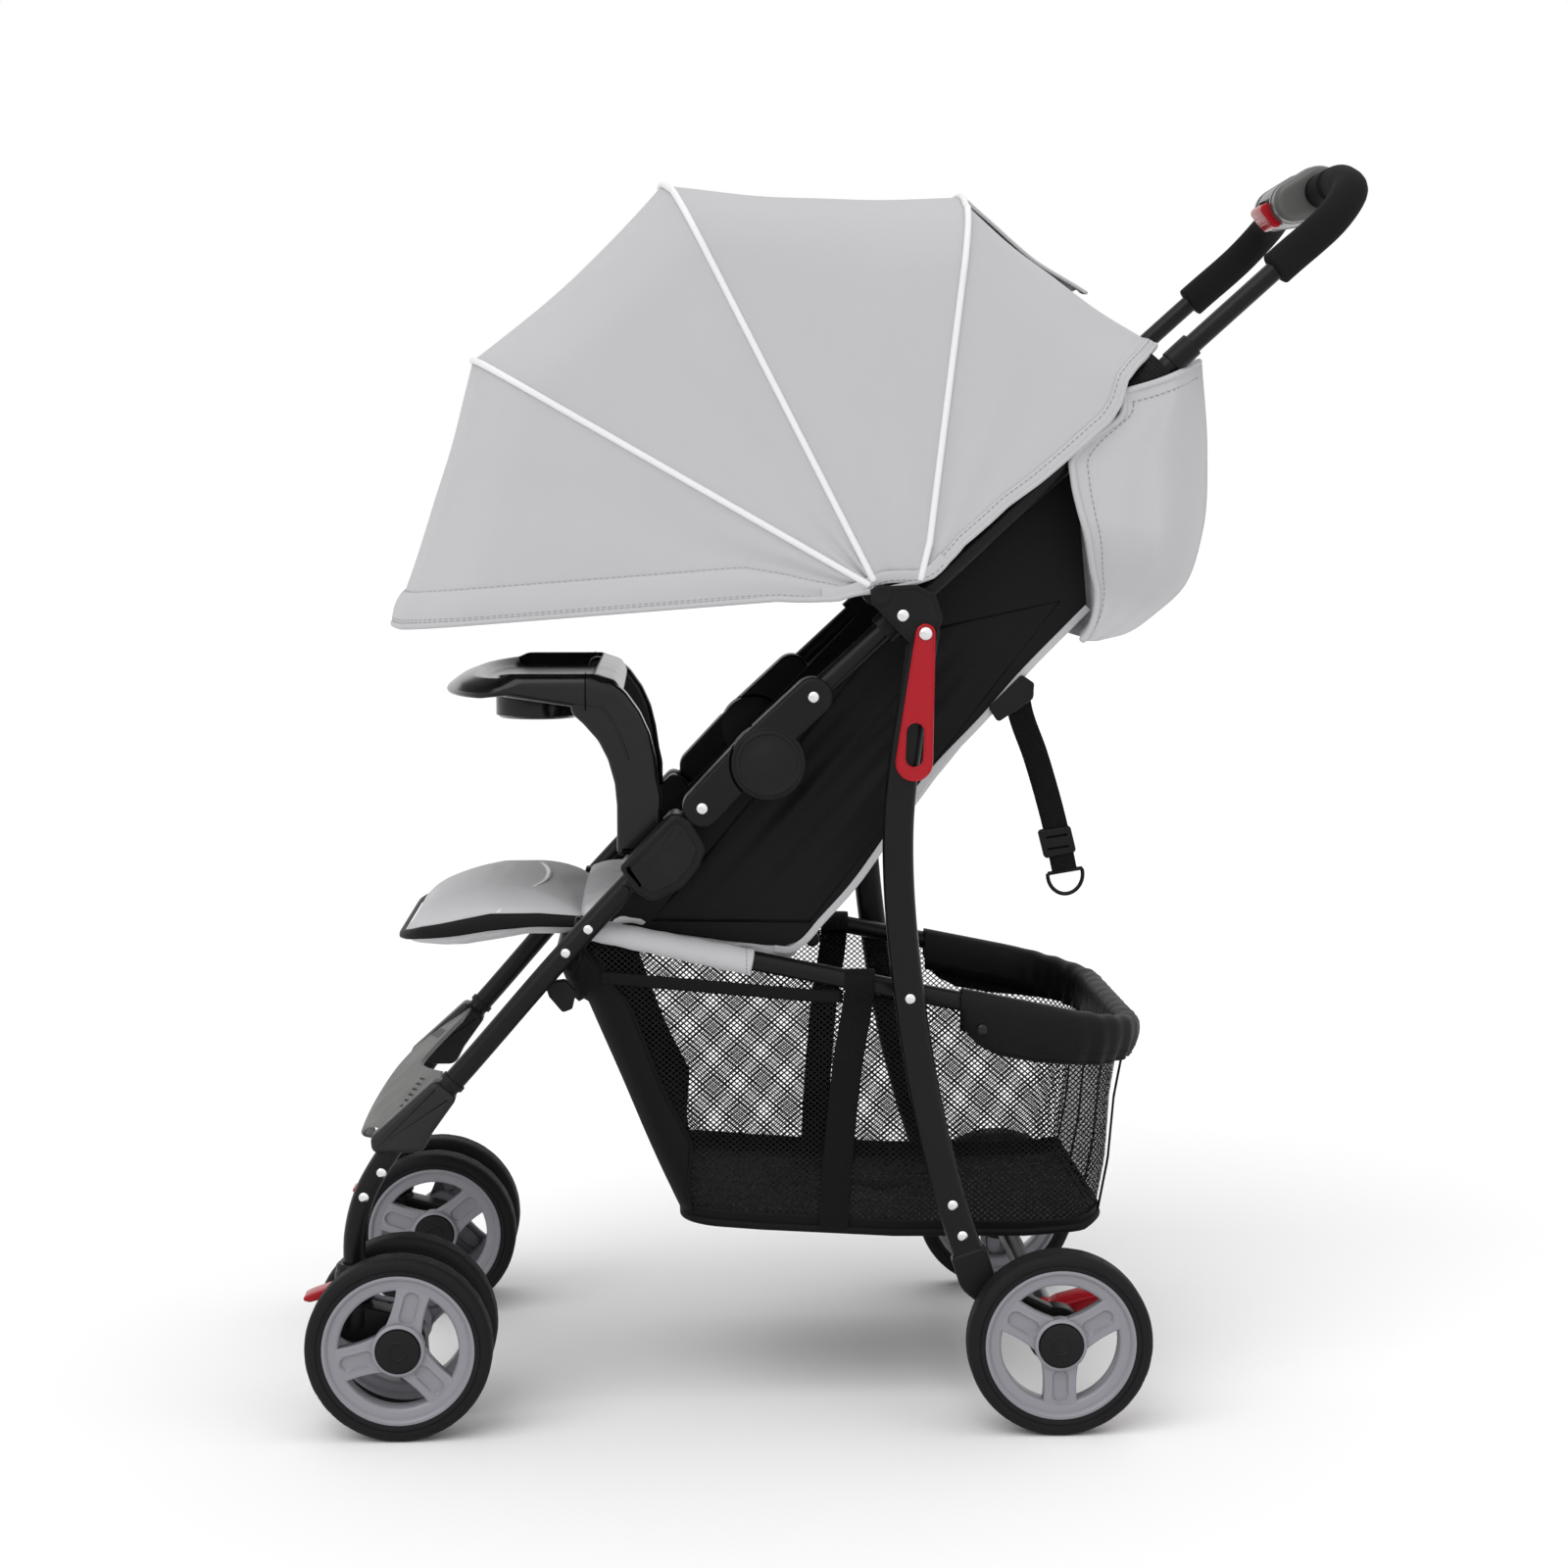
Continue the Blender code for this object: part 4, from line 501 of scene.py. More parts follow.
def insetOutline(outline, amount):
    # The outline moved inwards along its corner normals.
    ahead = unit(np.roll(outline, -1, 0) - outline)
    behind = unit(outline - np.roll(outline, 1, 0))
    area = np.sum(outline[:, 0] * np.roll(outline[:, 1], -1) - np.roll(outline[:, 0], -1) * outline[:, 1])
    turn = 1.0 if area > 0 else -1.0
    normal = unit(np.stack([-(ahead + behind)[:, 1], (ahead + behind)[:, 0]], 1)) * turn
    return outline + normal * amount


def slab(name, outline, low, high, look, rides, edge=0.001, steps=4, plane="side"):
    # An outline given thickness: rings step round a quarter circle at both rims, then flat caps.
    area = np.sum(outline[:, 0] * np.roll(outline[:, 1], -1) - np.roll(outline[:, 0], -1) * outline[:, 1])
    if area < 0:
        outline = outline[::-1]
    low, high = min(low, high), max(low, high)
    turn = np.linspace(0, math.pi / 2, steps)
    inset = edge * (1 - np.sin(turn))
    depth = edge * (1 - np.cos(turn))
    levels = [(low + d, s) for d, s in zip(depth, inset)] + [(high - d, s)
        for d, s in zip(depth[::-1], inset[::-1])]
    # A last ring on each flat face keeps its normals level.
    levels = [(low, edge * 1.25 + 0.0001)] + levels + [(high, edge * 1.25 + 0.0001)]
    rings = []
    for level, amount in levels:
        ring = insetOutline(outline, amount)
        spot = np.full(len(ring), level)
        columns = {"side": (ring[:, 0], spot, ring[:, 1]), "plan": (ring[:, 0], ring[:, 1], spot)}[plane]
        rings.append(np.stack(columns, 1))
    return gridPiece(name, np.stack(rings), look, rides, closeColumns=True, caps=True, flip=plane == "plan")


def lathe(name, profile, centre, look, rides, sides=64, axis="y"):
    # A profile of (radius, offset) turned about an axis through centre.
    p = np.asarray(profile, float)
    a = np.linspace(0, 2 * math.pi, sides, endpoint=False)
    c, s = np.cos(a)[:, None], np.sin(a)[:, None]
    r, o = p[None, :, 0], p[None, :, 1]
    flat = np.broadcast_to(o, (sides, len(p)))
    parts = {"y": (r * c, flat, r * s), "z": (r * c, r * s, flat)}[axis]
    points = np.stack(parts, 2) + np.asarray(centre, float)
    return gridPiece(name, points, look, rides, closeRows=True, closeColumns=True)


def mirrored(profile, side):
    # A lathe profile turned to face out on a side.
    return [(r, side * o) for r, o in profile]


def scatter(name, base, faces, places, look, rides):
    # Copies of one small shape: points (m, 3) in frames places (n, 4, 4).
    m, n = len(base), len(places)
    four = np.concatenate([base, np.ones((m, 1))], 1)
    verts = np.einsum("nij,mj->nmi", places, four)[:, :, :3].reshape(-1, 3)
    every = (np.asarray(faces)[None] + (np.arange(n) * m)[:, None, None]).reshape(-1,
        np.asarray(faces).shape[1])
    return meshPiece(name, verts, every, look, rides)


def frameAt(origin, x, y, z):
    m = np.zeros((len(origin), 4, 4))
    m[:, :3, 0], m[:, :3, 1], m[:, :3, 2], m[:, :3, 3] = x, y, z, origin
    m[:, 3, 3] = 1
    return m


def stitches(name, path, outward, rides, pitch=0.0048, length=0.0032, thick=0.00035, look="stitch"):
    # A row of thread stitches along a path: short ovals, pitch apart, standing on the cloth.
    run = runAlong(path)
    spots = np.arange(pitch, run[-1] - pitch / 2, pitch)
    centre = np.stack([np.interp(spots, run, path[:, k]) for k in range(3)], 1)
    ahead = np.stack([np.interp(spots, run, np.gradient(path, run, axis=0)[:, k]) for k in range(3)], 1)
    ahead = unit(ahead)
    out = np.broadcast_to(np.asarray(outward, float), path.shape)
    out = unit(np.stack([np.interp(spots, run, out[:, k]) for k in range(3)], 1))
    side = unit(np.cross(out, ahead))
    t = np.array([-1, -0.6, 0.6, 1])[:, None] * length / 2
    a = np.linspace(0, 2 * math.pi, 5, endpoint=False)[None]
    grow = np.array([0.35, 1, 1, 0.35])[:, None] * thick
    base = np.stack([t + 0 * a, grow * np.cos(a), grow * np.sin(a)], 2).reshape(-1, 3)
    faces = gridFaces(4, 5, closeColumns=True)
    return scatter(name, base, faces, frameAt(centre, ahead, side, out), look, rides)


def rivetDome(sides=16, radius=0.0043, height=0.0022):
    # A domed head with a shallow rim: rings at (radius share, height share).
    rings = np.array([(1.0, -0.35), (1.0, 0.25), (0.93, 0.45), (0.72, 0.8), (0.4, 0.97), (0.04, 1.0)])
    a = np.linspace(0, 2 * math.pi, sides, endpoint=False)
    points = np.stack([rings[:, :1] * radius * np.cos(a), rings[:, :1] * radius * np.sin(a),
        np.broadcast_to(rings[:, 1:] * height, (len(rings), sides))], 2)
    return points.reshape(-1, 3), gridFaces(len(rings), sides, closeColumns=True)[:, ::-1]


def rivets(name, spots, rides, radius=0.0043, look="chrome"):
    # Rivet heads at side-view (x, z, y) places, facing outwards.
    base, faces = rivetDome(radius=radius)
    spots = np.asarray(spots, float)
    origin = spots[:, [0, 2, 1]]
    out = np.sign(spots[:, 2])[:, None] * np.array([[0, 1.0, 0]])
    x = np.broadcast_to([1.0, 0, 0], out.shape)
    return scatter(name, base, faces, frameAt(origin, x, np.cross(out, x), out), look, rides)


def carve(piece, *tools):
    # Cuts the tools out of a piece, keeps the result as its mesh, and removes the tools.
    for tool in tools:
        step = piece.modifiers.new("carve", "BOOLEAN")
        step.operation, step.object, step.solver = "DIFFERENCE", tool, "EXACT"
    bpy.context.view_layer.update()
    shaped = bpy.data.meshes.new_from_object(piece.evaluated_get(bpy.context.evaluated_depsgraph_get()))
    piece.modifiers.clear()
    piece.data = shaped
    shaped.materials.clear()
    shaped.materials.append(looks[piece["look"]] if "look" in piece else looks["plastic"])
    shaped.shade_smooth()
    shaped.set_sharp_from_angle(angle=sharpAngle)
    for tool in tools:
        bpy.data.objects.remove(tool, do_unlink=True)
    return piece


def stands(piece, slot, *replaced):
    # Hides the CAD nodes that a piece stands for; the slot is not used.
    if replaced:
        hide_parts(*replaced)
    return piece


placeCamera()

frameY, tubeR, handleR, railR = 0.19, 0.009, 0.008, 0.008
railY, legY = 0.1715, 0.207
legWidth, legDepth = 0.025, 0.013
plateIn, plateOut = 0.2139, 0.2169
knuckle = (-0.056, 0.542)
legLine = [(-0.0885, 0.5276), (-0.2189, 0.3882), (-0.3097, 0.2841), (-0.364, 0.2242)]
legFoot = [(-0.3834, 0.1889), (-0.3905, 0.16), (-0.3915, 0.128)]
pushLine = [(-0.033, 0.5825), (0.0505, 0.66), (0.274, 0.8666), (0.354, 0.9385)]
handleCorner = [(0.396, 0.186, 0.976), (0.413, 0.166, 0.997), (0.4165, 0.13, 1.0085)]
handleBar = (0.4165, 1.011)
legPivot, bracketRivet = (0.0682, 0.6458), (0.0505, 0.66)
rearLeg = [(0.0682, 0.6458), (0.048, 0.4859), (0.0577, 0.3525), (0.0928, 0.1835), (0.1126, 0.124)]
railPivot, railJoint = (-0.2007, 0.405), (0.0577, 0.3525)
railEndX, railCorner = 0.249, 0.07
crossBar = (-0.2189, 0.3882)
canopyPivot = (0.0318, 0.6796)
bight = (-0.0176, 0.3913)
wheelR, frontAxleX, rearAxleX, swivelX = 0.075, -0.353, 0.178, -0.3915
wheelOffset, rearWheelY = 0.035, 0.2305
sides = (near, far)


def legPath(side):
    return curveThrough(atSide(legLine + legFoot, side * frameY), 120)


def pushHalf(side, count=120):
    points = [(x, side * frameY, z) for x, z in pushLine]
    points += [(x, side * y, z) for x, y, z in handleCorner]
    points.append((handleBar[0], side * 0.046, handleBar[1]))
    return curveThrough(points, count)


def makeTubes():
    for side in sides:
        name = sideNames[side]
        stands(tube(f"frontLeg_{name}", legPath(side), tubeR, "paint", "front_frame", sides=32), "frame",
            f"front_leg_{name}")
        path = curveThrough(atSide(rearLeg, side * legY), 90)
        oval = stadium(legWidth, legDepth)
        leg = tube(f"rearLeg_{name}", path, 1.0, "paint", "rear_frame", profile=oval)
        stands(leg, "frame", f"rear_leg_{name}")
        top = lathe(f"rearLegEye_{name}",
            [(0.0032, -0.0065), (0.011, -0.0065), (0.012, -0.0055), (0.012, 0.0055), (0.011, 0.0065),
            (0.0032, 0.0065)], (legPivot[0], side * legY, legPivot[1]), "paint", "rear_frame", sides=40)
        bush = lathe(f"railBush_{name}",
            [(0.003, -0.0078), (0.0058, -0.0078), (0.0065, -0.007), (0.0065, 0.0078), (0.003, 0.0078)],
            (railJoint[0], side * 0.189, railJoint[1]), "plastic", "rear_frame", sides=32)
    half = pushHalf(near)
    whole = np.vstack([half, (half * [1, -1, 1])[::-1]])
    bar = tube("handleTube", whole, handleR, "paint", "push_frame", sides=28)
    stands(bar, "frame", "handle_tube")
    for side in sides:
        lower = curveThrough(atSide(pushLine[:3], side * frameY), 60)
        tube(f"pushTube_{sideNames[side]}", lower, tubeR, "paint", "push_frame", sides=32)
        collar = curveThrough(atSide([(0.266, 0.8592), (0.2745, 0.8671), (0.283, 0.8749)], side * frameY), 8)
        tube(f"tubeCollar_{sideNames[side]}", collar, tubeR + 0.0012, "plastic", "push_frame",
            sides=28, roundEnds=0.001)
    rail = tube("seatRail", railPath(railY, railPivot[0] - 0.012, railEndX, railCorner), railR, "paint",
        "seat_rail", normal=(0, 0, 1), roundEnds=0.002)
    stands(rail, "frame", "basket_rail")
    reach = frameY - tubeR + 0.002
    bar = np.array([(crossBar[0], y, crossBar[1]) for y in np.linspace(-reach, reach, 12)])
    stands(tube("crossBar", bar, railR, "paint", "front_frame", normal=(0, 0, 1)), "frame", "front_cross_bar")


def stadium(width, depth, steps=9):
    # A flat oval section: half circles of depth/2 at both ends of a straight.
    r, reach = depth / 2, width / 2 - depth / 2
    a = np.linspace(-math.pi / 2, math.pi / 2, steps)
    right = np.stack([reach + r * np.cos(a), r * np.sin(a)], 1)
    return np.vstack([right, -right])


def railZ(x):
    slope = (railJoint[1] - railPivot[1]) / (railJoint[0] - railPivot[0])
    return railPivot[1] + slope * (np.asarray(x) - railPivot[0])


def railPath(half, startX, endX, corner, straight=24, bend=16, back=14):
    # The U of the rail: along one side, round both corners, and back along the other.
    x = np.linspace(startX, endX - corner, straight, endpoint=False)
    a = np.linspace(0, math.pi / 2, bend, endpoint=False)
    xs = np.concatenate([x, endX - corner + corner * np.sin(a), np.full(back, endX)])
    ys = np.concatenate([np.full(straight, -half), -half + corner - corner * np.cos(a),
        np.linspace(-half + corner, 0, back)])
    one = np.stack([xs, ys, railZ(xs)], 1)
    return np.vstack([one, (one * [1, -1, 1])[::-1][1:]])


hinge = {"disc": 0.03, "armWidth": 0.031, "armLength": 0.078, "half": 0.0155, "run": 0.0015}
capProfile = [(0.0002, 0.0024), (0.014, 0.0024), (0.015, 0.0018), (0.0228, 0.0018), (0.0236, 0.0026),
    (0.0252, 0.0026), (0.0262, 0.0018), (0.0265, 0.0004), (0.0265, -0.001), (0.0002, -0.001)]


def hingeArm(upper):
    # The start and end of a knuckle arm's middle line, from its tube's line.
    line = np.array(pushLine[:2] if upper else legLine[:2])
    along = unit(line[1] - line[0])
    out = np.array([-along[1], along[0]]) * (1 if upper else -1)
    axis = np.array(knuckle) + out * np.dot(line[0] - np.array(knuckle), out)
    return axis + along * 0.008, axis + along * (hinge["armLength"] - hinge["armWidth"] / 2)


def makeKnuckles():
    for side in sides:
        name = sideNames[side]
        inner, outer = side * (frameY - hinge["half"]), side * (frameY + hinge["half"])
        for upper, body in ((True, "push_frame"), (False, "front_frame")):
            start, end = hingeArm(upper)
            key = "upper" if upper else "lower"
            arm = slab(f"hingeArm_{key}_{name}",
                linkOutline(start, end, hinge["armWidth"] / 2, hinge["armWidth"] / 2, 18), inner, outer,
                "plastic", body, edge=0.003, steps=6)
            arm["look"] = "plastic"
            split = side * frameY
            other = (split - side * 0.0001, inner - side * 0.02) if upper else (split + side * 0.0001,
                outer + side * 0.02)
            circle = np.array(knuckle) + (hinge["disc"] + hinge["run"]) * ringProfile(48)
            carve(arm, slab("cutter", circle, *other, "plastic", None, edge=0.0001))
            stands(arm, "plastic", f"hinge_{key}_{name}")
            span = (0.0002, hinge["half"] + 0.0004) if upper else (-hinge["half"] - 0.0004, -0.0002)
            span = span if side == far else (-span[1], -span[0])
            r, e = hinge["disc"], 0.0022
            low, high = span
            profile = [(0.0002, low), (r - e, low), (r - e * 0.3, low + e * 0.3), (r, low + e), (r, high - e),
                (r - e * 0.3, high - e * 0.3), (r - e, high), (0.0002, high)]
            disc = lathe(f"hingeDisc_{key}_{name}", profile, (knuckle[0], side * frameY, knuckle[1]),
                "plastic", body, sides=80)
        face = hinge["half"] * side
        cap = [(r, face + side * o) for r, o in capProfile]
        lathe(f"hingeCap_{name}", cap, (knuckle[0], side * frameY, knuckle[1]), "capPlastic",
            "push_frame", sides=80)
        for key, body in (("Upper", "push_frame"), ("Lower", "front_frame")):
            ends = [(*hingeArm(key == "Upper")[1], outer + side * 0.0002)]
            rivets(f"hingeRivet{key}_{name}", ends, body, 0.0047)


wheelShape = {"width": 0.028, "rim": 0.0605, "window": 0.048, "spoke": 0.026, "shoulder": 0.0065,
    "treadWaves": 26, "treadDepth": 0.0006}


def tyreSurface(sides=288):
    # Section rows of (radius, offset): side walls with a shallow groove, round shoulders, and a tread whose
    # wavy grooves have depth = treadDepth where |sin(pi (offset / 0.0042 + 0.32 sin(waves angle)))| is small.
    h, s = wheelShape["width"] / 2, wheelShape["shoulder"]
    arc = np.linspace(0, math.pi / 2, 7)
    shoulder = np.stack([wheelR - s + s * np.sin(arc), h - s + s * np.cos(arc)], 1)
    wall = np.array([(0.0602, h - 0.004), (0.061, h - 0.0014), (0.0628, h - 0.0006), (0.0648, h - 0.0003),
        (0.0652, h - 0.0009), (0.0658, h - 0.0009), (0.0662, h - 0.0002)])
    half = np.vstack([wall, shoulder])
    tread = np.linspace(h - s, -(h - s), 26)[1:-1]
    section = np.vstack([half, np.stack([np.full(len(tread), wheelR), tread], 1), (half * [1, -1])[::-1]])
    a = np.linspace(0, 2 * math.pi, sides, endpoint=False)[:, None]
    r, o = section[None, :, 0], section[None, :, 1]
    wave = np.abs(np.sin(math.pi * (o / 0.0042 + 0.32 * np.sin(wheelShape["treadWaves"] * a))))
    groove = np.clip(1 - wave / 0.42, 0, 1) ** 0.7 * wheelShape["treadDepth"]
    groove = groove * np.clip((r - wheelR + 0.0022) / 0.0022, 0, 1)
    return np.stack([(r - groove) * np.cos(a), np.broadcast_to(o, groove.shape), (r - groove) * np.sin(a)], 2)


def spokeSurface(angle, face, thick, outer):
    # A spoke's grid: height = face, less a stadium groove with soft walls, and less the rounded edges.
    length = np.linspace(0.01, wheelShape["window"] + 0.0035, 46)[:, None]
    share = np.sin(np.linspace(-math.pi / 2, math.pi / 2, 34))[None]
    flare = 1 + 0.16 * ((length - 0.034) / 0.02) ** 2
    across = share * wheelShape["spoke"] / 2 * flare
    along = np.clip(np.abs(length - 0.0345) - 0.0075, 0, None)
    distance = np.sqrt(along**2 + across**2)
    inside = np.clip((0.0062 - distance) / 0.0009, 0, 1)
    groove = 0.0022 * inside**2 * (3 - 2 * inside)
    lip = 0.0005 * np.exp(-((distance - 0.0068) / 0.0007) ** 2)
    edge = 0.0016 * (1 - np.sqrt(np.clip(1 - np.clip((np.abs(share) - 0.9) / 0.1, 0, 1) ** 2, 0, 1)))
    height = face - outer * (groove - lip + edge)
    grid = np.stack([np.broadcast_to(length, height.shape), across, height], 2)
    low = grid[:, [0, -1]].copy()
    low[:, :, 2] = face - outer * thick
    grid = np.concatenate([low[:, :1], grid, low[:, 1:]], 1)
    c, s = math.cos(angle), math.sin(angle)
    return np.stack([grid[:, :, 0] * c - grid[:, :, 1] * s, grid[:, :, 2],
        grid[:, :, 0] * s + grid[:, :, 1] * c], 2)


wheelHub = [(0.0045, -0.0138), (0.0125, -0.0138), (0.014, -0.0125), (0.015, -0.003), (0.02, -0.0015),
    (0.0212, 0.001), (0.0212, 0.0118), (0.0202, 0.013), (0.0186, 0.0134), (0.0184, 0.011), (0.0045, 0.011)]
wheelCap = [(0.0002, 0.015), (0.006, 0.0151), (0.0066, 0.0157), (0.0078, 0.0157), (0.0084, 0.0151),
    (0.015, 0.0152), (0.017, 0.0146), (0.018, 0.013), (0.018, 0.0112), (0.0002, 0.0112)]


def makeWheel(body, x, y, outer, spokeAngle):
    centre = np.array([x, y, wheelR])
    tyre = gridPiece(f"{body}_foam", tyreSurface() + centre, "tyre", body, closeRows=True, closeColumns=True)
    stands(tyre, "tyre", f"{body}_tyre")
    w, r = wheelShape["window"], wheelShape["rim"]
    half = [(w, 0.007), (w + 0.001, 0.0086), (w + 0.003, 0.0094), (r - 0.0042, 0.0098), (r - 0.0032, 0.0116),
        (r - 0.0016, 0.0128), (r + 0.0004, 0.0126), (r + 0.001, 0.0108), (r - 0.0006, 0.008)]
    band = half + [(p, -o) for p, o in half[::-1]]
    ring = lathe(f"{body}_band", band, centre, "rim", body, sides=112)
    stands(ring, "rim", f"{body}_rim")
    for k in range(3):
        angle = math.radians(spokeAngle + 120 * k)
        spoke = gridPiece(f"{body}_spoke_{k}", spokeSurface(angle, outer * 0.0092, 0.0105, outer) + centre,
            "rim", body, flip=outer > 0)
        thick = spoke.modifiers.new("back", "SOLIDIFY")
        thick.thickness, thick.offset = 0.0012, -1
    lathe(f"{body}_hub", mirrored(wheelHub, outer), centre, "rim", body, sides=72)
    lathe(f"{body}_cap", mirrored(wheelCap, outer), centre, "capPlastic", body, sides=72)


def makeWheels():
    for side in sides:
        name = sideNames[side]
        for place, step, turn in (("outer", side, 75.0), ("inner", -side, 40.0)):
            makeWheel(f"front_wheel_{name}_{place}", frontAxleX, side * frameY + step * wheelOffset, step,
                turn)
        makeWheel(f"rear_wheel_{name}", rearAxleX, side * rearWheelY, side, -90.0)


makeTubes()
makeKnuckles()
makeWheels()
print("tubes, knuckles and wheels made")


def ridgeRound(name, outline, y, radius, look, body):
    # A fine bead along a side-view outline, at y.
    line = atSide(outline, y)
    tube(name, np.vstack([line, line[:2]]), radius, look, body, sides=8)


bracketOutline = [(0.0245, 0.671), (0.0565, 0.637), (0.074, 0.634), (0.0825, 0.6576), (0.0765, 0.677),
    (0.0605, 0.6845), (0.0385, 0.6835), (0.027, 0.679)]

lever = {
    "end": (0.0596, 0.5433), "radii": (0.008, 0.015), "slot": ((0.0596, 0.547), (0.0604, 0.568)),
    "inside": -0.2173, "outside": -0.2213,
}
bracketTurned = {
    "boss": (bracketRivet, [(0.0002, 0.0054), (0.0088, 0.0054), (0.0085, 0.0265), (0.0002, 0.0265)]),
    "root": (canopyPivot, [(0.0002, 0.003), (0.013, 0.003), (0.013, 0.0096), (0.0123, 0.0102),
        (0.0002, 0.0102)]),
    "hub": (canopyPivot, [(0.0002, 0.005), (0.004, 0.005), (0.004, 0.026), (0.0002, 0.026)]),
    "dome": ((0.033, 0.6765), [(0.0002, 0.0239), (0.0078, 0.0239), (0.0082, 0.025), (0.0082, 0.0276),
        (0.0074, 0.0282), (0.0052, 0.0284), (0.0044, 0.028), (0.0002, 0.028)]),
    "pin": (legPivot, [(0.0002, 0.0115), (0.003, 0.0115), (0.003, 0.0304), (0.0002, 0.0304)]),
}


def makeBrackets():
    for side in sides:
        name = sideNames[side]
        cheek = slab(f"bracketCheek_{name}", arcCorners(bracketOutline, 0.0075), side * plateIn,
            side * plateOut, "plastic", "push_frame", edge=0.0011)
        stands(cheek, "plastic", f"leg_bracket_{name}")
        ridge = insetOutline(arcCorners(bracketOutline, 0.0075), 0.0028)
        ridgeRound(f"bracketRidge_{name}", ridge, side * plateOut, 0.0007, "plastic", "push_frame")
        along = unit(np.array(pushLine[2]) - np.array(bracketRivet))
        spots = np.array([np.array(bracketRivet) + along * d for d in np.linspace(-0.02, 0.022, 12)])
        clamp = tube(f"bracketClamp_{name}", atSide(spots, side * frameY), 1.0, "plastic", "push_frame",
            profile=stadium(0.026, 0.0204), roundEnds=0.0012)
        y = side * frameY
        for key, (spot, profile) in bracketTurned.items():
            turned = mirrored(profile, side)
            lathe(f"bracket_{key}_{name}", turned, (spot[0], y, spot[1]),
                "chrome" if key == "pin" else "plastic", "push_frame", sides=48)
        rivets(f"bracketRivet_{name}", [(*bracketRivet, side * plateOut)], "push_frame", 0.005)
        heads = [(*legPivot, side * (plateOut + (0.0046 if side == near else 0.0004)))]
        rivets(f"legPivotHead_{name}", heads, "push_frame", 0.0052)
    arm = slab("sideLever", linkOutline(legPivot, lever["end"], *lever["radii"], 22), lever["inside"],
        lever["outside"], "red", "storage_latch", edge=0.0013, steps=5)
    arm["look"] = "red"
    slot = linkOutline(*lever["slot"], 0.007, 0.00699, 14)
    bore = np.array(legPivot) + 0.0034 * ringProfile(24)
    carve(arm, slab("slotTool", slot, -0.21, -0.23, "red", None, edge=0.0001),
        slab("boreTool", bore, -0.21, -0.23, "red", None, edge=0.0001))
    stands(arm, "red", "storage_latch")
    rim = linkOutline(*lever["slot"], 0.0078, 0.00779, 14)
    ridgeRound("sideLeverLip", rim, lever["outside"], 0.0006, "red", "storage_latch")
    lip = insetOutline(linkOutline(legPivot, lever["end"], *lever["radii"], 22), 0.0011)
    ridgeRound("sideLeverEdge", lip, -0.2211, 0.0008, "red", "storage_latch")


caster = {"radius": 0.016, "low": 0.105, "high": 0.136, "neck": 0.0885, "half": 0.0135, "lockZ": 0.114}


def makeCasters():
    for side in sides:
        name = sideNames[side]
        y = side * frameY
        r, low, high = caster["radius"], caster["low"], caster["high"]
        socket = [(0.0056, low + 0.0002), (r - 0.0016, low + 0.0002), (r - 0.0004, low + 0.0014),
            (r, low + 0.0035), (r, high - 0.008), (r - 0.0012, high - 0.0068), (r - 0.0012, high - 0.002),
            (r - 0.003, high), (0.0094, high), (0.0056, high - 0.004)]
        stands(lathe(f"casterSocket_{name}", socket, (swivelX, y, 0.0), "plastic", "front_frame", axis="z"),
            "plastic", f"caster_socket_{name}")
        fork = slab(f"casterFork_{name}", linkOutline((swivelX, caster["neck"]), (frontAxleX, wheelR), r,
            0.019, 26), y - caster["half"], y + caster["half"], "plastic", f"caster_{name}", edge=0.0028,
            steps=6)
        stands(fork, "plastic", f"caster_fork_{name}")
        neck = [(0.0002, 0.0845), (r, 0.0845), (r + 0.0003, 0.099), (r - 0.0003, 0.103),
            (r - 0.0016, low - 0.0006), (0.0002, low - 0.0006)]
        lathe(f"casterNeck_{name}", neck, (swivelX, y, 0.0), "plastic", f"caster_{name}", axis="z")
        king = [(0.0002, 0.09), (0.005, 0.09), (0.005, 0.118), (0.0002, 0.118)]
        lathe(f"kingpin_{name}", king, (swivelX, y, 0.0), "chrome", f"caster_{name}", axis="z",
            sides=32)
        reach = wheelOffset + 0.006
        pin = [(0.0008, -reach), (0.004, -reach), (0.004, reach), (0.0008, reach)]
        lathe(f"frontAxle_{name}", pin, (frontAxleX, y, wheelR), "chrome", f"caster_{name}",
            sides=32)
        front = swivelX - r - 0.0004
        z = caster["lockZ"]
        outline = arcCorners([(front + 0.0002, z + 0.005), (front, z - 0.0035), (front - 0.019, z - 0.0085),
            (front - 0.024, z - 0.007), (front - 0.024, z - 0.0045), (front - 0.019, z - 0.002)], 0.0022)
        paddle = slab(f"swivelLever_{name}", outline, y - 0.011, y + 0.011, "red", f"swivel_lock_{name}",
            edge=0.0012)
        stands(paddle, "red", f"swivel_lock_{name}")
        ribs = [slab(f"swivelRib_{name}_{k}",
            arcCorners([(front - 0.012 - k * 0.0032 + dx, z - 0.0028 - k * 0.0009 + dz)
            for dx, dz in ((0, -0.003), (-0.0014, -0.0034), (-0.0014, 0.0012), (0, 0.0014))], 0.0004, 2),
            y - 0.0085, y + 0.0085, "red", f"swivel_lock_{name}", edge=0.0004, steps=3) for k in range(3)]


rearMount = {"lean": 53.0}
pedal = {
    "outline": [(0.176, 0.066), (0.19, 0.066), (0.222, 0.088), (0.224, 0.095), (0.216, 0.101),
        (0.185, 0.093), (0.17, 0.084)],
    "faces": (-0.15, -0.185), "middle": -0.1675,
}


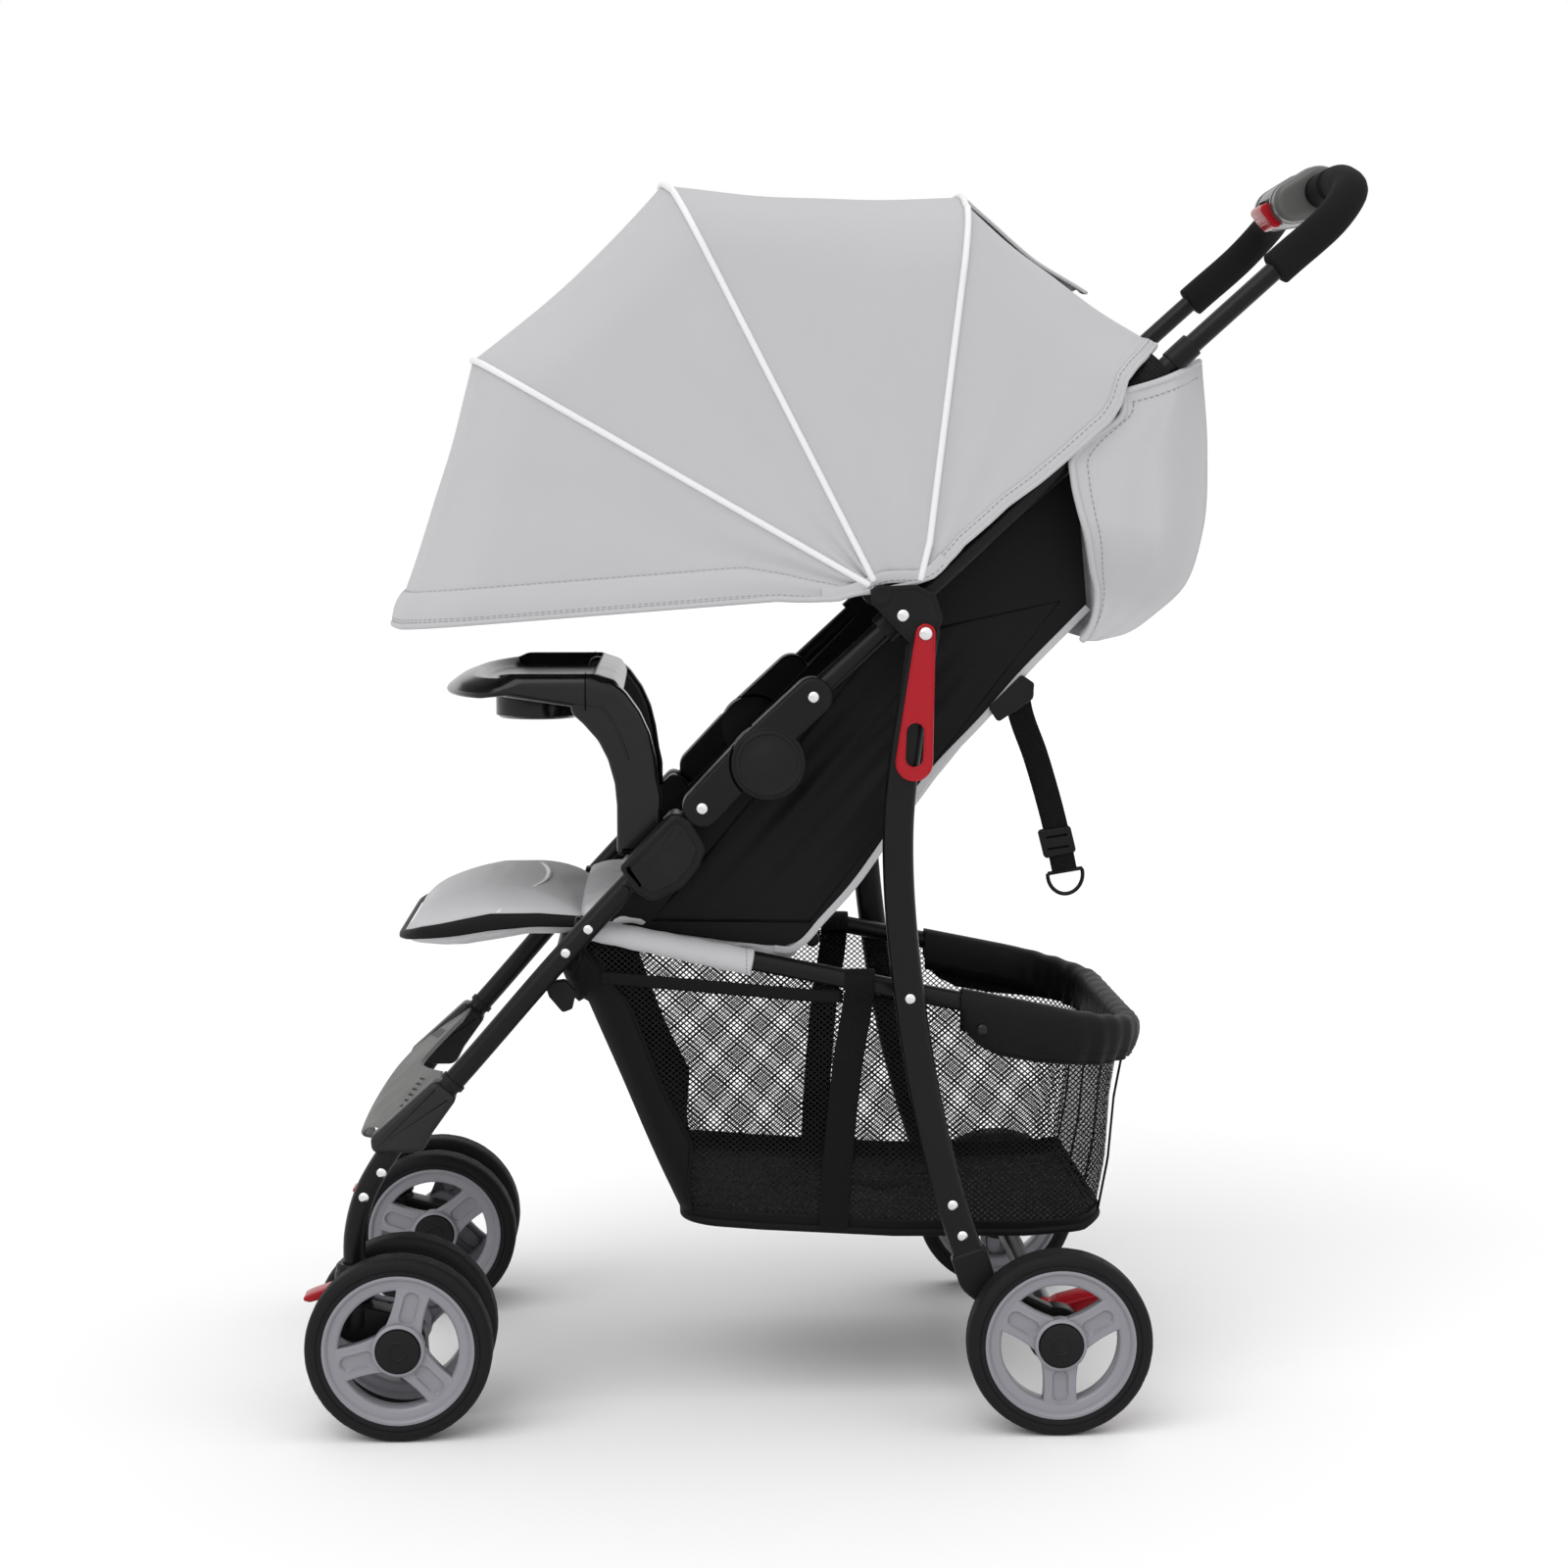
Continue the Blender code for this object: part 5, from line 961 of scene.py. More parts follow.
def makeRearMounts():
    foot, knee = np.array(rearLeg[-1]), np.array(rearLeg[-2])
    down = unit(foot - knee)
    cross = np.array([-down[1], down[0]])
    axle = np.array([rearAxleX, wheelR])
    lean = math.radians(rearMount["lean"])
    away = np.array([math.cos(lean), math.sin(lean)])
    start = foot - down * 0.022
    for side in sides:
        name = sideNames[side]
        outline = [start + cross * 0.015, start - cross * 0.015, foot - cross * 0.015 + down * 0.006,
            axle - away * 0.02, axle + away * 0.02, foot + cross * 0.015 + down * 0.01]
        outline = arcCorners(outline, [0.005, 0.005, 0.02, 0.004, 0.004, 0.02], 8)
        mount = slab(f"rearMount_{name}", outline, side * (legY - 0.0084), side * (legY + 0.0074), "plastic",
            "rear_frame", edge=0.0026, steps=6)
        stands(mount, "plastic", *(["rear_axle_frame"] if side == near else []))
        eye = [(0.008, -0.0125), (0.0215, -0.0125), (0.0235, -0.0105), (0.0235, 0.0064), (0.0222, 0.0078),
            (0.008, 0.0078)]
        lathe(f"rearEye_{name}", mirrored(eye, side), (rearAxleX, side * legY, wheelR), "plastic",
            "rear_frame", sides=72)
        stub = [(0.0008, 0.0), (0.004, 0.0), (0.004, rearWheelY + 0.0085 - legY),
            (0.0008, rearWheelY + 0.0085 - legY)]
        lathe(f"rearAxle_{name}", mirrored(stub, side), (rearAxleX, side * legY, wheelR), "chrome",
            "rear_frame", sides=28)
        heads = [(*rearLeg[3], side * (legY + 0.0066)), (*railJoint, side * (legY + 0.0066))]
        rivets(f"rearLegRivets_{name}", heads, "rear_frame", 0.0043)
        rivets(f"rearMountRivet_{name}", [(0.1008, 0.1583, side * (legY + 0.0074))], "rear_frame",
            0.0043)
    bar = [(0.0002, -0.203), (0.009, -0.203), (0.009, 0.203), (0.0002, 0.203)]
    lathe("axleTube", bar, (rearAxleX, 0.0, wheelR), "paint", "rear_frame", sides=40)
    outline = arcCorners(pedal["outline"], 0.004, 6)
    tongue = slab("pedalTongue", outline, *pedal["faces"], "red", "brake_pedal", edge=0.0022, steps=5)
    tongue["look"] = "red"
    bore = axle + 0.0094 * ringProfile(40)
    carve(tongue, slab("pedalTool", bore, -0.14, -0.2, "red", None, edge=0.0001))
    stands(tongue, "red", "brake_pedal")
    ring = [(0.0094, -0.0175), (0.0142, -0.0175), (0.015, -0.0167), (0.015, 0.0167), (0.0142, 0.0175),
        (0.0094, 0.0175)]
    lathe("pedalRing", ring, (rearAxleX, pedal["middle"], wheelR), "red", "brake_pedal", sides=56)


makeBrackets()
makeCasters()
makeRearMounts()
print("brackets, casters and rear mounts made")

stepMiddle = [(-0.393, 0.196), (-0.3997, 0.2057), (-0.3908, 0.2309), (-0.3693, 0.2506), (-0.3222, 0.284)]
sleeveOutline = [(-0.3243, 0.287), (-0.3062, 0.2718), (-0.3264, 0.2436), (-0.3345, 0.2275), (-0.3755, 0.2275),
    (-0.3765, 0.24)]
footrest = {"wall": 0.0035, "sleeve": 0.013, "slots": 6, "bow": (0.0093, 0.0024), "slotHalf": 0.0011}


def makeFootrest():
    # The face bows forward: middle profile + bow (y/frameY)^2. It is cut short at the sides, below, and in a
    # soft V above, so that share runs from 0.46 (1 - (1 - b)^1.3) to 0.68 + 0.377 sqrt(b^2 + 0.01), b =
    # |y|/frameY.
    y = np.sin(np.linspace(-math.pi / 2, math.pi / 2, 121)) * (frameY - 0.004)
    b = np.abs(y / frameY)
    low, high = 0.46 * (1 - (1 - b) ** 1.3), np.minimum(0.68 + 0.377 * np.sqrt(b**2 + 0.01), 0.93)
    share = low[:, None] + (high - low)[:, None] * np.linspace(0, 1, 46)[None]
    middle = curveThrough(stepMiddle, 200)
    run = np.linspace(0, 1, 200)
    face = np.stack([np.interp(share, run, middle[:, k]) for k in range(2)], 2)
    face = face + (b**2)[:, None, None] * np.array(footrest["bow"])
    ahead = unit(np.gradient(face, axis=1))
    wall = footrest["wall"]
    inner = face + np.stack([ahead[..., 1], -ahead[..., 0]], -1) * wall
    core = (face + inner) / 2
    lips = [core[:, :1] - ahead[:, :1] * wall * 0.5, core[:, -1:] + ahead[:, -1:] * wall * 0.5]
    section = np.concatenate([lips[0], face, lips[1], inner[:, ::-1]], 1)
    points = np.stack([section[..., 0], np.broadcast_to(y[:, None], section.shape[:2]), section[..., 1]], 2)
    shell = gridPiece("footShell", points, "footGrey", "front_frame", closeColumns=True, caps=True, flip=True)
    shell["look"] = "footGrey"
    tools = []
    for side in sides:
        for k in range(footrest["slots"]):
            x, spot = -0.3417 - 0.0021 * k, side * (0.1045 + 0.0133 * k)
            ends = (x - 0.0026, spot - side * 0.011), (x + 0.0026, spot + side * 0.011)
            plan = linkOutline(*ends, footrest["slotHalf"], footrest["slotHalf"] - 0.00001, 8)
            tools.append(slab("slotTool", plan, 0.245, 0.295, "footGrey", None, edge=0.0001, plane="plan"))
    carve(shell, *tools)
    stands(shell, "footrest", "footrest")
    for side in sides:
        name = sideNames[side]
        outline = arcCorners(sleeveOutline, [0.0055, 0.0055, 0.03, 0.01, 0.006, 0.007], 7)
        sleeve = slab(f"footSleeve_{name}", outline, side * (frameY - footrest["sleeve"]),
            side * (frameY + footrest["sleeve"]), "sleeveGrey", "front_frame", edge=0.005, steps=7)
        along = unit(np.array(legLine[2]) - np.array(legLine[3]))
        top = np.array(legLine[2]) + along * np.array([[-0.003], [0.0005], [0.0012]])
        tube(f"footCollar_{name}", atSide(top, side * frameY), tubeR + 0.0016, "capPlastic",
            "front_frame")
        out = side * (frameY + tubeR - 0.0006)
        spots = [(-0.368, 0.211, out), (-0.3824, 0.191, out)]
        rivets(f"footRivets_{name}", spots, "front_frame", 0.0042)
        spots = [(-0.2004, 0.408, out), (-0.2186, 0.389, out)]
        rivets(f"railRivets_{name}", spots, "front_frame", 0.004)
        bolt = [(0.0005, 0.0022), (0.0034, 0.0022), (0.0042, 0.0014), (0.0044, 0.0), (0.0044, -0.003),
            (0.0005, -0.003)]
        lathe(f"socketBolt_{name}", mirrored(bolt, side), (-0.1712, out, 0.4393), "capPlastic",
            "front_frame", sides=24)


armOutline = [(-0.2157, 0.583), (-0.204, 0.5724), (-0.1922, 0.5589), (-0.1844, 0.543), (-0.179, 0.5232),
    (-0.1773, 0.505), (-0.1773, 0.465), (-0.14, 0.465), (-0.14, 0.512), (-0.143, 0.5254), (-0.1458, 0.5453),
    (-0.1504, 0.5643), (-0.1582, 0.5817), (-0.1707, 0.5992), (-0.1833, 0.6075), (-0.205, 0.61)]
trayTop = [(-0.327, 0.5925), (-0.3126, 0.603), (-0.285, 0.6125), (-0.199, 0.6125), (-0.179, 0.607),
    (-0.17, 0.596), (-0.185, 0.582), (-0.2386, 0.588), (-0.295, 0.5945)]
trayShape = {"half": 0.19, "cup": (-0.247, 0.034), "floor": 0.6005, "rim": 0.013, "wall": 0.01,
    "front": 0.052, "back": 0.02}


def smooth(value):
    t = np.clip(value, 0, 1)
    return t * t * (3 - 2 * t)


def makeTray():
    # The plan's front edge is drawn in by front (1 - sqrt(1 - |y/half|^3)); the dish is sunk where the
    # distance from the rim passes its width, with a smooth wall.
    radii = [0.0022, 0.03, 0.02, 0.02, 0.009, 0.006, 0.01, 0.03, 0.02]
    section = evenRing(arcCorners(trayTop, radii, 10), 240)
    half = trayShape["half"]
    y = np.sin(np.linspace(-math.pi / 2, math.pi / 2, 161)) * half
    draw = trayShape["front"] * (1 - np.sqrt(np.clip(1 - np.abs(y / half) ** 3, 0, 1)))
    edge = np.clip((np.abs(y) - (half - 0.02)) / 0.02, 0, 1)
    backDraw = trayShape["back"] * (1 - np.sqrt(np.clip(1 - edge**2, 0, 1))) * 0.9
    low, high = section[:, 0].min(), section[:, 0].max()
    place = (section[:, 0] - low) / (high - low)
    x = (low + draw)[:, None] + place * (high - low - draw - backDraw)[:, None]
    end = np.clip((np.abs(y) - (half - 0.009)) / 0.009, 0, 1)
    squeeze = 1 - 0.9 * (1 - np.sqrt(np.clip(1 - end**2, 0, 1)))
    z = 0.6 + (section[None, :, 1] - 0.6) * squeeze[:, None]
    rim = trayShape["rim"]
    inside = np.minimum(np.minimum(x - (low + draw)[:, None] - rim * 1.6, (high - backDraw)[:, None] - 0.02
        - x), (half - rim - np.abs(y))[:, None])
    sunk = smooth(inside / trayShape["wall"]) * (section[None, :, 1] > 0.601)
    z = z - sunk * (z - trayShape["floor"])
    points = np.stack([x, np.broadcast_to(y[:, None], x.shape), z], 2)
    top = gridPiece("trayTop", points, "gloss", "tray", closeColumns=True, caps=True, flip=True)
    top["look"] = "gloss"
    cup = trayShape["cup"]
    circle = np.array([cup[0], 0.0]) + cup[1] * ringProfile(72)
    carve(top, slab("cupTool", circle, 0.568, 0.7, "plastic", None, edge=0.0001, plane="plan"))
    stands(top, "plastic", "tray")
    r = cup[1]
    wall = [(r - 0.0002, 0.6), (r + 0.0014, 0.6008), (r + 0.0026, 0.599), (r + 0.0025, 0.568),
        (r - 0.0015, 0.5652), (0.001, 0.565), (0.001, 0.568), (r - 0.0035, 0.5682), (r - 0.001, 0.57)]
    lathe("trayCup", wall, (cup[0], 0.0, 0.0), "gloss", "tray", axis="z", sides=72)
    for side in sides:
        name = sideNames[side]
        outline = arcCorners(armOutline, [0.02] + [0.03] * 5 + [0.004, 0.004] + [0.03] * 6 + [0.01, 0.008], 5)
        arm = slab(f"trayArm_{name}", outline, side * 0.158, side * 0.176, "gloss", "tray", edge=0.0045,
            steps=7)
        spots = np.empty(len(arm.data.vertices) * 3)
        arm.data.vertices.foreach_get("co", spots)
        spots = spots.reshape(-1, 3)
        outer = smooth((np.abs(spots[:, 1]) - 0.166) / 0.006) * smooth((spots[:, 2] - 0.52) / 0.055)
        spots[:, 1] += side * 0.0105 * outer
        arm.data.vertices.foreach_set("co", spots.ravel())
        ridge = [(-0.164, 0.512), (-0.166, 0.533), (-0.172, 0.556), (-0.183, 0.578), (-0.196, 0.593)]
        line = atSide(ridge, 0)
        line[:, 1] = side * (0.176 + 0.0105 * smooth((line[:, 2] - 0.52) / 0.055))
        tube(f"trayArmRidge_{name}", curveThrough(line, 40), 0.001, "gloss", "tray", sides=10)
        # A matte black line along the seam between the tray's top and arm: painted shade in the gap.
        seam = curveThrough([(-0.2018, side * 0.188, 0.5835), (-0.2018, side * 0.1901, 0.592),
            (-0.2018, side * 0.1901, 0.603), (-0.2018, side * 0.187, 0.6112),
            (-0.2018, side * 0.179, 0.6128)], 30)
        tube(f"traySeam_{name}", seam, 0.0005, "darkHole", "tray", normal=(1, 0, 0), sides=8)


blockOutline = [(-0.1752, 0.4591), (-0.1309, 0.5041), (-0.118, 0.496), (-0.1054, 0.4747), (-0.111, 0.458),
    (-0.124, 0.442), (-0.1485, 0.4303), (-0.164, 0.44)]


def makeSockets():
    for side in sides:
        name = sideNames[side]
        outline = arcCorners(blockOutline, [0.004, 0.008, 0.008, 0.012, 0.012, 0.012, 0.012, 0.006], 6)
        inner = slab(f"traySocket_{name}", insetOutline(outline, 0.0012), side * 0.153, side * 0.179,
            "plastic", "front_frame", edge=0.002, steps=5)
        inner["look"] = "plastic"
        pocket = arcCorners([(-0.1777, side * 0.1576), (-0.1396, side * 0.1576), (-0.1396, side * 0.1764),
            (-0.1777, side * 0.1764)], 0.0015, 3)
        carve(inner, slab("pocketTool", pocket, 0.4646, 0.7, "plastic", None, edge=0.0001, plane="plan"))
        stands(inner, "plastic", f"tray_socket_{name}")
        block = slab(f"socketBlock_{name}", outline, side * 0.1775, side * 0.208, "plastic", "front_frame",
            edge=0.0045, steps=7)
        face = insetOutline(outline, 0.007)
        slab(f"socketFace_{name}", face, side * 0.207, side * 0.2092, "capPlastic", "front_frame",
            edge=0.001)


handleShape = {"half": 0.046, "radius": 0.022, "nose": (0.395, 1.003), "noseR": 0.0175, "edge": 0.006}
triggerEnds = ((0.3755, 0.9985), (0.384, 0.988))


def makeHandle():
    outline = linkOutline(handleBar, handleShape["nose"], handleShape["radius"], handleShape["noseR"], 28)
    snout = slab("handleHousing", outline, -handleShape["half"], handleShape["half"], "houseGrey",
        "push_frame", edge=handleShape["edge"], steps=8)
    snout["look"] = "houseGrey"
    a, b = np.array(triggerEnds)
    line = unit(b - a)
    inward = np.array([-line[1], line[0]])
    wide, deep, shallow = line * 0.0054, inward * 0.0104, inward * -0.03
    pocket = np.array([a - wide + shallow, b + wide + shallow, b + wide + deep, a - wide + deep])
    carve(snout, slab("triggerTool", pocket, -0.0224, 0.0224, "plastic", None, edge=0.0001))
    stands(snout, "plastic", "handle_housing")
    for k, y in enumerate((-0.03, 0.03)):
        ridgeRound(f"housingSeam_{k}", outline, y, 0.0005, "capPlastic", "push_frame")
    trigger = slab("foldTrigger", linkOutline(a, b, 0.005, 0.00499, 14), -0.022, 0.022, "red", "fold_trigger",
        edge=0.0016, steps=6)
    stands(trigger, "red", "fold_trigger")
    lift = inward * -0.005
    ridges = [(a + (b - a) * t + lift * 0.98) for t in (0.25, 0.5, 0.75)]
    for k, spot in enumerate(ridges):
        bar = np.array([(spot[0], y, spot[1]) for y in np.linspace(-0.016, 0.016, 8)])
        tube(f"triggerRidge_{k}", bar, 0.0006, "red", "fold_trigger", normal=(0, 0, 1), sides=8)
    for side in sides:
        name = sideNames[side]
        half = pushHalf(side, 600)
        start = int(np.argmin(np.linalg.norm(half - np.array([0.354, side * frameY, 0.9385]), axis=1)))
        path = half[start - 6:-1:6]
        path = np.vstack([path, half[-1] - (half[-1] - half[-2]) * 0.5])
        grip = tube(f"foamGrip_{name}", path, 0.0143, "foam", "push_frame", sides=40, roundEnds=0.0022)
        stands(grip, "foam", f"grip_{name}")


makeFootrest()
makeTray()
makeSockets()
makeHandle()
print("footrest, tray, sockets and handle made")

seatHalf, backThick = 0.15, 0.022
seatSeam, backSeam = 0.055, 0.085
restCrown, restHalf, restPipe = 0.0145, 0.145, 0.1435
backLine = np.array([(-0.008, 0.403), (0.1456, 0.6009), (0.199, 0.654)])
panelOutline = [(-0.2, 0.411), (-0.176, 0.4062), (-0.1367, 0.3985), (-0.0894, 0.3915), (-0.0597, 0.388),
    (-0.04, 0.3868), (-0.029, 0.391), (-0.012, 0.409), (0.0155, 0.4395), (0.0345, 0.466), (0.0728, 0.524),
    (0.124, 0.5793), (0.152, 0.6113), (0.1878, 0.648), (0.206, 0.664), (0.195, 0.79), (0.0505, 0.66),
    (-0.056, 0.55)]
stripLine = [(-0.0492, 0.385), (-0.0371, 0.3836), (-0.0275, 0.3888), (-0.0106, 0.4073), (0.0168, 0.438),
    (0.036, 0.4646), (0.0744, 0.5225), (0.1255, 0.5778), (0.1534, 0.6098), (0.1892, 0.6465), (0.2067, 0.6641)]
seatTop = [(-0.206, 0.4185), (-0.19, 0.4215), (-0.12, 0.4125), (-0.045, 0.403), (-0.03, 0.395)]
seatLow = [(-0.206, 0.402), (-0.185, 0.3985), (-0.033, 0.3765), (-0.03, 0.378)]
restTop = [(-0.3557, 0.3925), (-0.338, 0.3991), (-0.306, 0.4062), (-0.2819, 0.411), (-0.2419, 0.4112),
    (-0.2063, 0.4085)]
restLow = [(-0.3557, 0.3885), (-0.348, 0.3872), (-0.3058, 0.3902), (-0.25, 0.3985), (-0.2063, 0.3992)]


def padLayer(outline, share):
    # The plan outline drawn towards the middle line of its long way by a share from 0 to 1.
    low, high = outline.min(0), outline.max(0)
    centre, reach = (low[0] + high[0]) / 2, (high[0] - low[0]) / 2
    middle = np.stack([np.full(len(outline), centre),
        np.clip(outline[:, 1], low[1] + reach, high[1] - reach)], 1)
    return outline + (middle - outline) * share


def padPoints(outline, top, low, crown, under, rows=26):
    # Face height = edge + crown (1 - (1 - s)^2.4)^0.8 at s, the share of the way from the rim to the middle
    # line.
    s = 1 - np.cos(np.linspace(0.1, math.pi / 2 - 0.02, rows))
    rings = []
    for share in s:
        plan = padLayer(outline, share)
        upper = np.interp(plan[:, 0], *np.array(top).T) + crown * (1 - (1 - share) ** 2.4) ** 0.8
        lower = np.interp(plan[:, 0], *np.array(low).T) - under * (1 - (1 - share) ** 2.4) ** 0.8
        rings.append((np.column_stack([plan, upper]), np.column_stack([plan, lower])))
    lowRings = [r[1] for r in rings][::-1]
    topRings = [r[0] for r in rings]
    a, b = lowRings[-1], topRings[0]
    turn = np.linspace(0, math.pi, 8)[1:-1]
    outward = unit(np.column_stack([outline - padLayer(outline, 0.2), np.zeros(len(outline))]))
    rim = [a * (1 + math.cos(t)) / 2 + b * (1 - math.cos(t)) / 2 + outward * 0.0022 * math.sin(t)
        for t in turn]
    return np.stack(lowRings + rim + topRings)


padding = {"voxel": 0.005, "shrink": 0.0015, "frames": 20, "quality": 5, "mass": 0.2, "stretch": 12,
    "bend": 0.4, "seam": 0.0022}


def puff(piece, pressure=4.0, limit=0.006, pins=None):
    # Padding: a slightly smaller copy is remeshed, then blown up as cloth for 20 steps with no weight. Each
    # point moves at most the limit; pinned points (seams) are drawn in and held.
    mesh = bpy.data.meshes.new_from_object(piece.evaluated_get(bpy.context.evaluated_depsgraph_get()))
    normals = np.empty(len(mesh.vertices) * 3)
    spots = np.empty(len(mesh.vertices) * 3)
    mesh.vertices.foreach_get("normal", normals)
    mesh.vertices.foreach_get("co", spots)
    mesh.vertices.foreach_set("co", spots - normals * padding["shrink"])
    soft = bpy.data.objects.new(piece.name + "Soft", mesh)
    bpy.context.scene.collection.objects.link(soft)
    remesh = soft.modifiers.new("even", "REMESH")
    remesh.mode, remesh.voxel_size = "VOXEL", padding["voxel"]
    bpy.context.view_layer.update()
    even = bpy.data.meshes.new_from_object(soft.evaluated_get(bpy.context.evaluated_depsgraph_get()))
    soft.modifiers.clear()
    soft.data = even
    count = len(even.vertices)
    base, normals = np.empty(count * 3), np.empty(count * 3)
    even.vertices.foreach_get("co", base)
    even.vertices.foreach_get("normal", normals)
    base, normals = base.reshape(-1, 3), normals.reshape(-1, 3)
    if pins is not None:
        held = pins(base)
        base = base - normals * (held * padding["seam"])[:, None]
        even.vertices.foreach_set("co", base.ravel())
        group = soft.vertex_groups.new(name="seams")
        for k in np.nonzero(held > 0.05)[0].tolist():
            group.add([k], float(held[k]), "REPLACE")
    cloth = soft.modifiers.new("padding", "CLOTH")
    cloth.settings.quality = padding["quality"]
    cloth.settings.mass = padding["mass"]
    cloth.settings.tension_stiffness = cloth.settings.compression_stiffness = padding["stretch"]
    cloth.settings.bending_stiffness = padding["bend"]
    cloth.settings.use_pressure = True
    cloth.settings.uniform_pressure_force = pressure
    cloth.settings.effector_weights.gravity = 0
    if pins is not None:
        cloth.settings.vertex_group_mass = "seams"
    cloth.point_cache.frame_start, cloth.point_cache.frame_end = 1, padding["frames"]
    for step in range(1, padding["frames"] + 1):
        bpy.context.scene.frame_set(step)
    moved = soft.evaluated_get(bpy.context.evaluated_depsgraph_get()).data
    after = np.empty(count * 3)
    moved.vertices.foreach_get("co", after)
    shift = after.reshape(-1, 3) - base
    length = np.linalg.norm(shift, axis=1, keepdims=True)
    after = base + shift * np.minimum(1, limit / np.maximum(length, 1e-9))
    soft.modifiers.clear()
    bpy.context.scene.frame_set(1)
    look = piece.data.materials[0]
    even.vertices.foreach_set("co", after.ravel())
    even.materials.clear()
    even.materials.append(look)
    even.shade_smooth()
    fine = soft.modifiers.new("fine", "SUBSURF")
    fine.levels = fine.render_levels = 1
    name = piece.name
    bpy.data.objects.remove(piece, do_unlink=True)
    soft.name = name
    return soft


def channels(lines, axis, width=0.005):
    # A weight that is 1 on seams across the pad at the given places along an axis, falling off over a width.
    def weigh(points):
        gap = np.min([np.abs(points[:, axis] - line) for line in lines], axis=0)
        return np.clip(1 - gap / width, 0, 1)
    return weigh


def backAt(share, offset, y):
    # A point on the backrest: share along its rear line, offset towards the child, at y.
    span = np.linalg.norm(np.diff(backLine, axis=0), axis=1)
    run = np.concatenate([[0], np.cumsum(span)]) / span.sum()
    share = np.asarray(share, float)
    x, z = np.interp(share, run, backLine[:, 0]), np.interp(share, run, backLine[:, 1])
    first, last = unit(backLine[1] - backLine[0]), unit(backLine[2] - backLine[1])
    mix = np.clip((share - run[1] + 0.12) / 0.24, 0, 1)[..., None]
    ahead = unit(first * (1 - mix) + last * mix)
    return np.stack([x - ahead[..., 1] * offset, np.broadcast_to(y, x.shape), z + ahead[..., 0] * offset], -1)


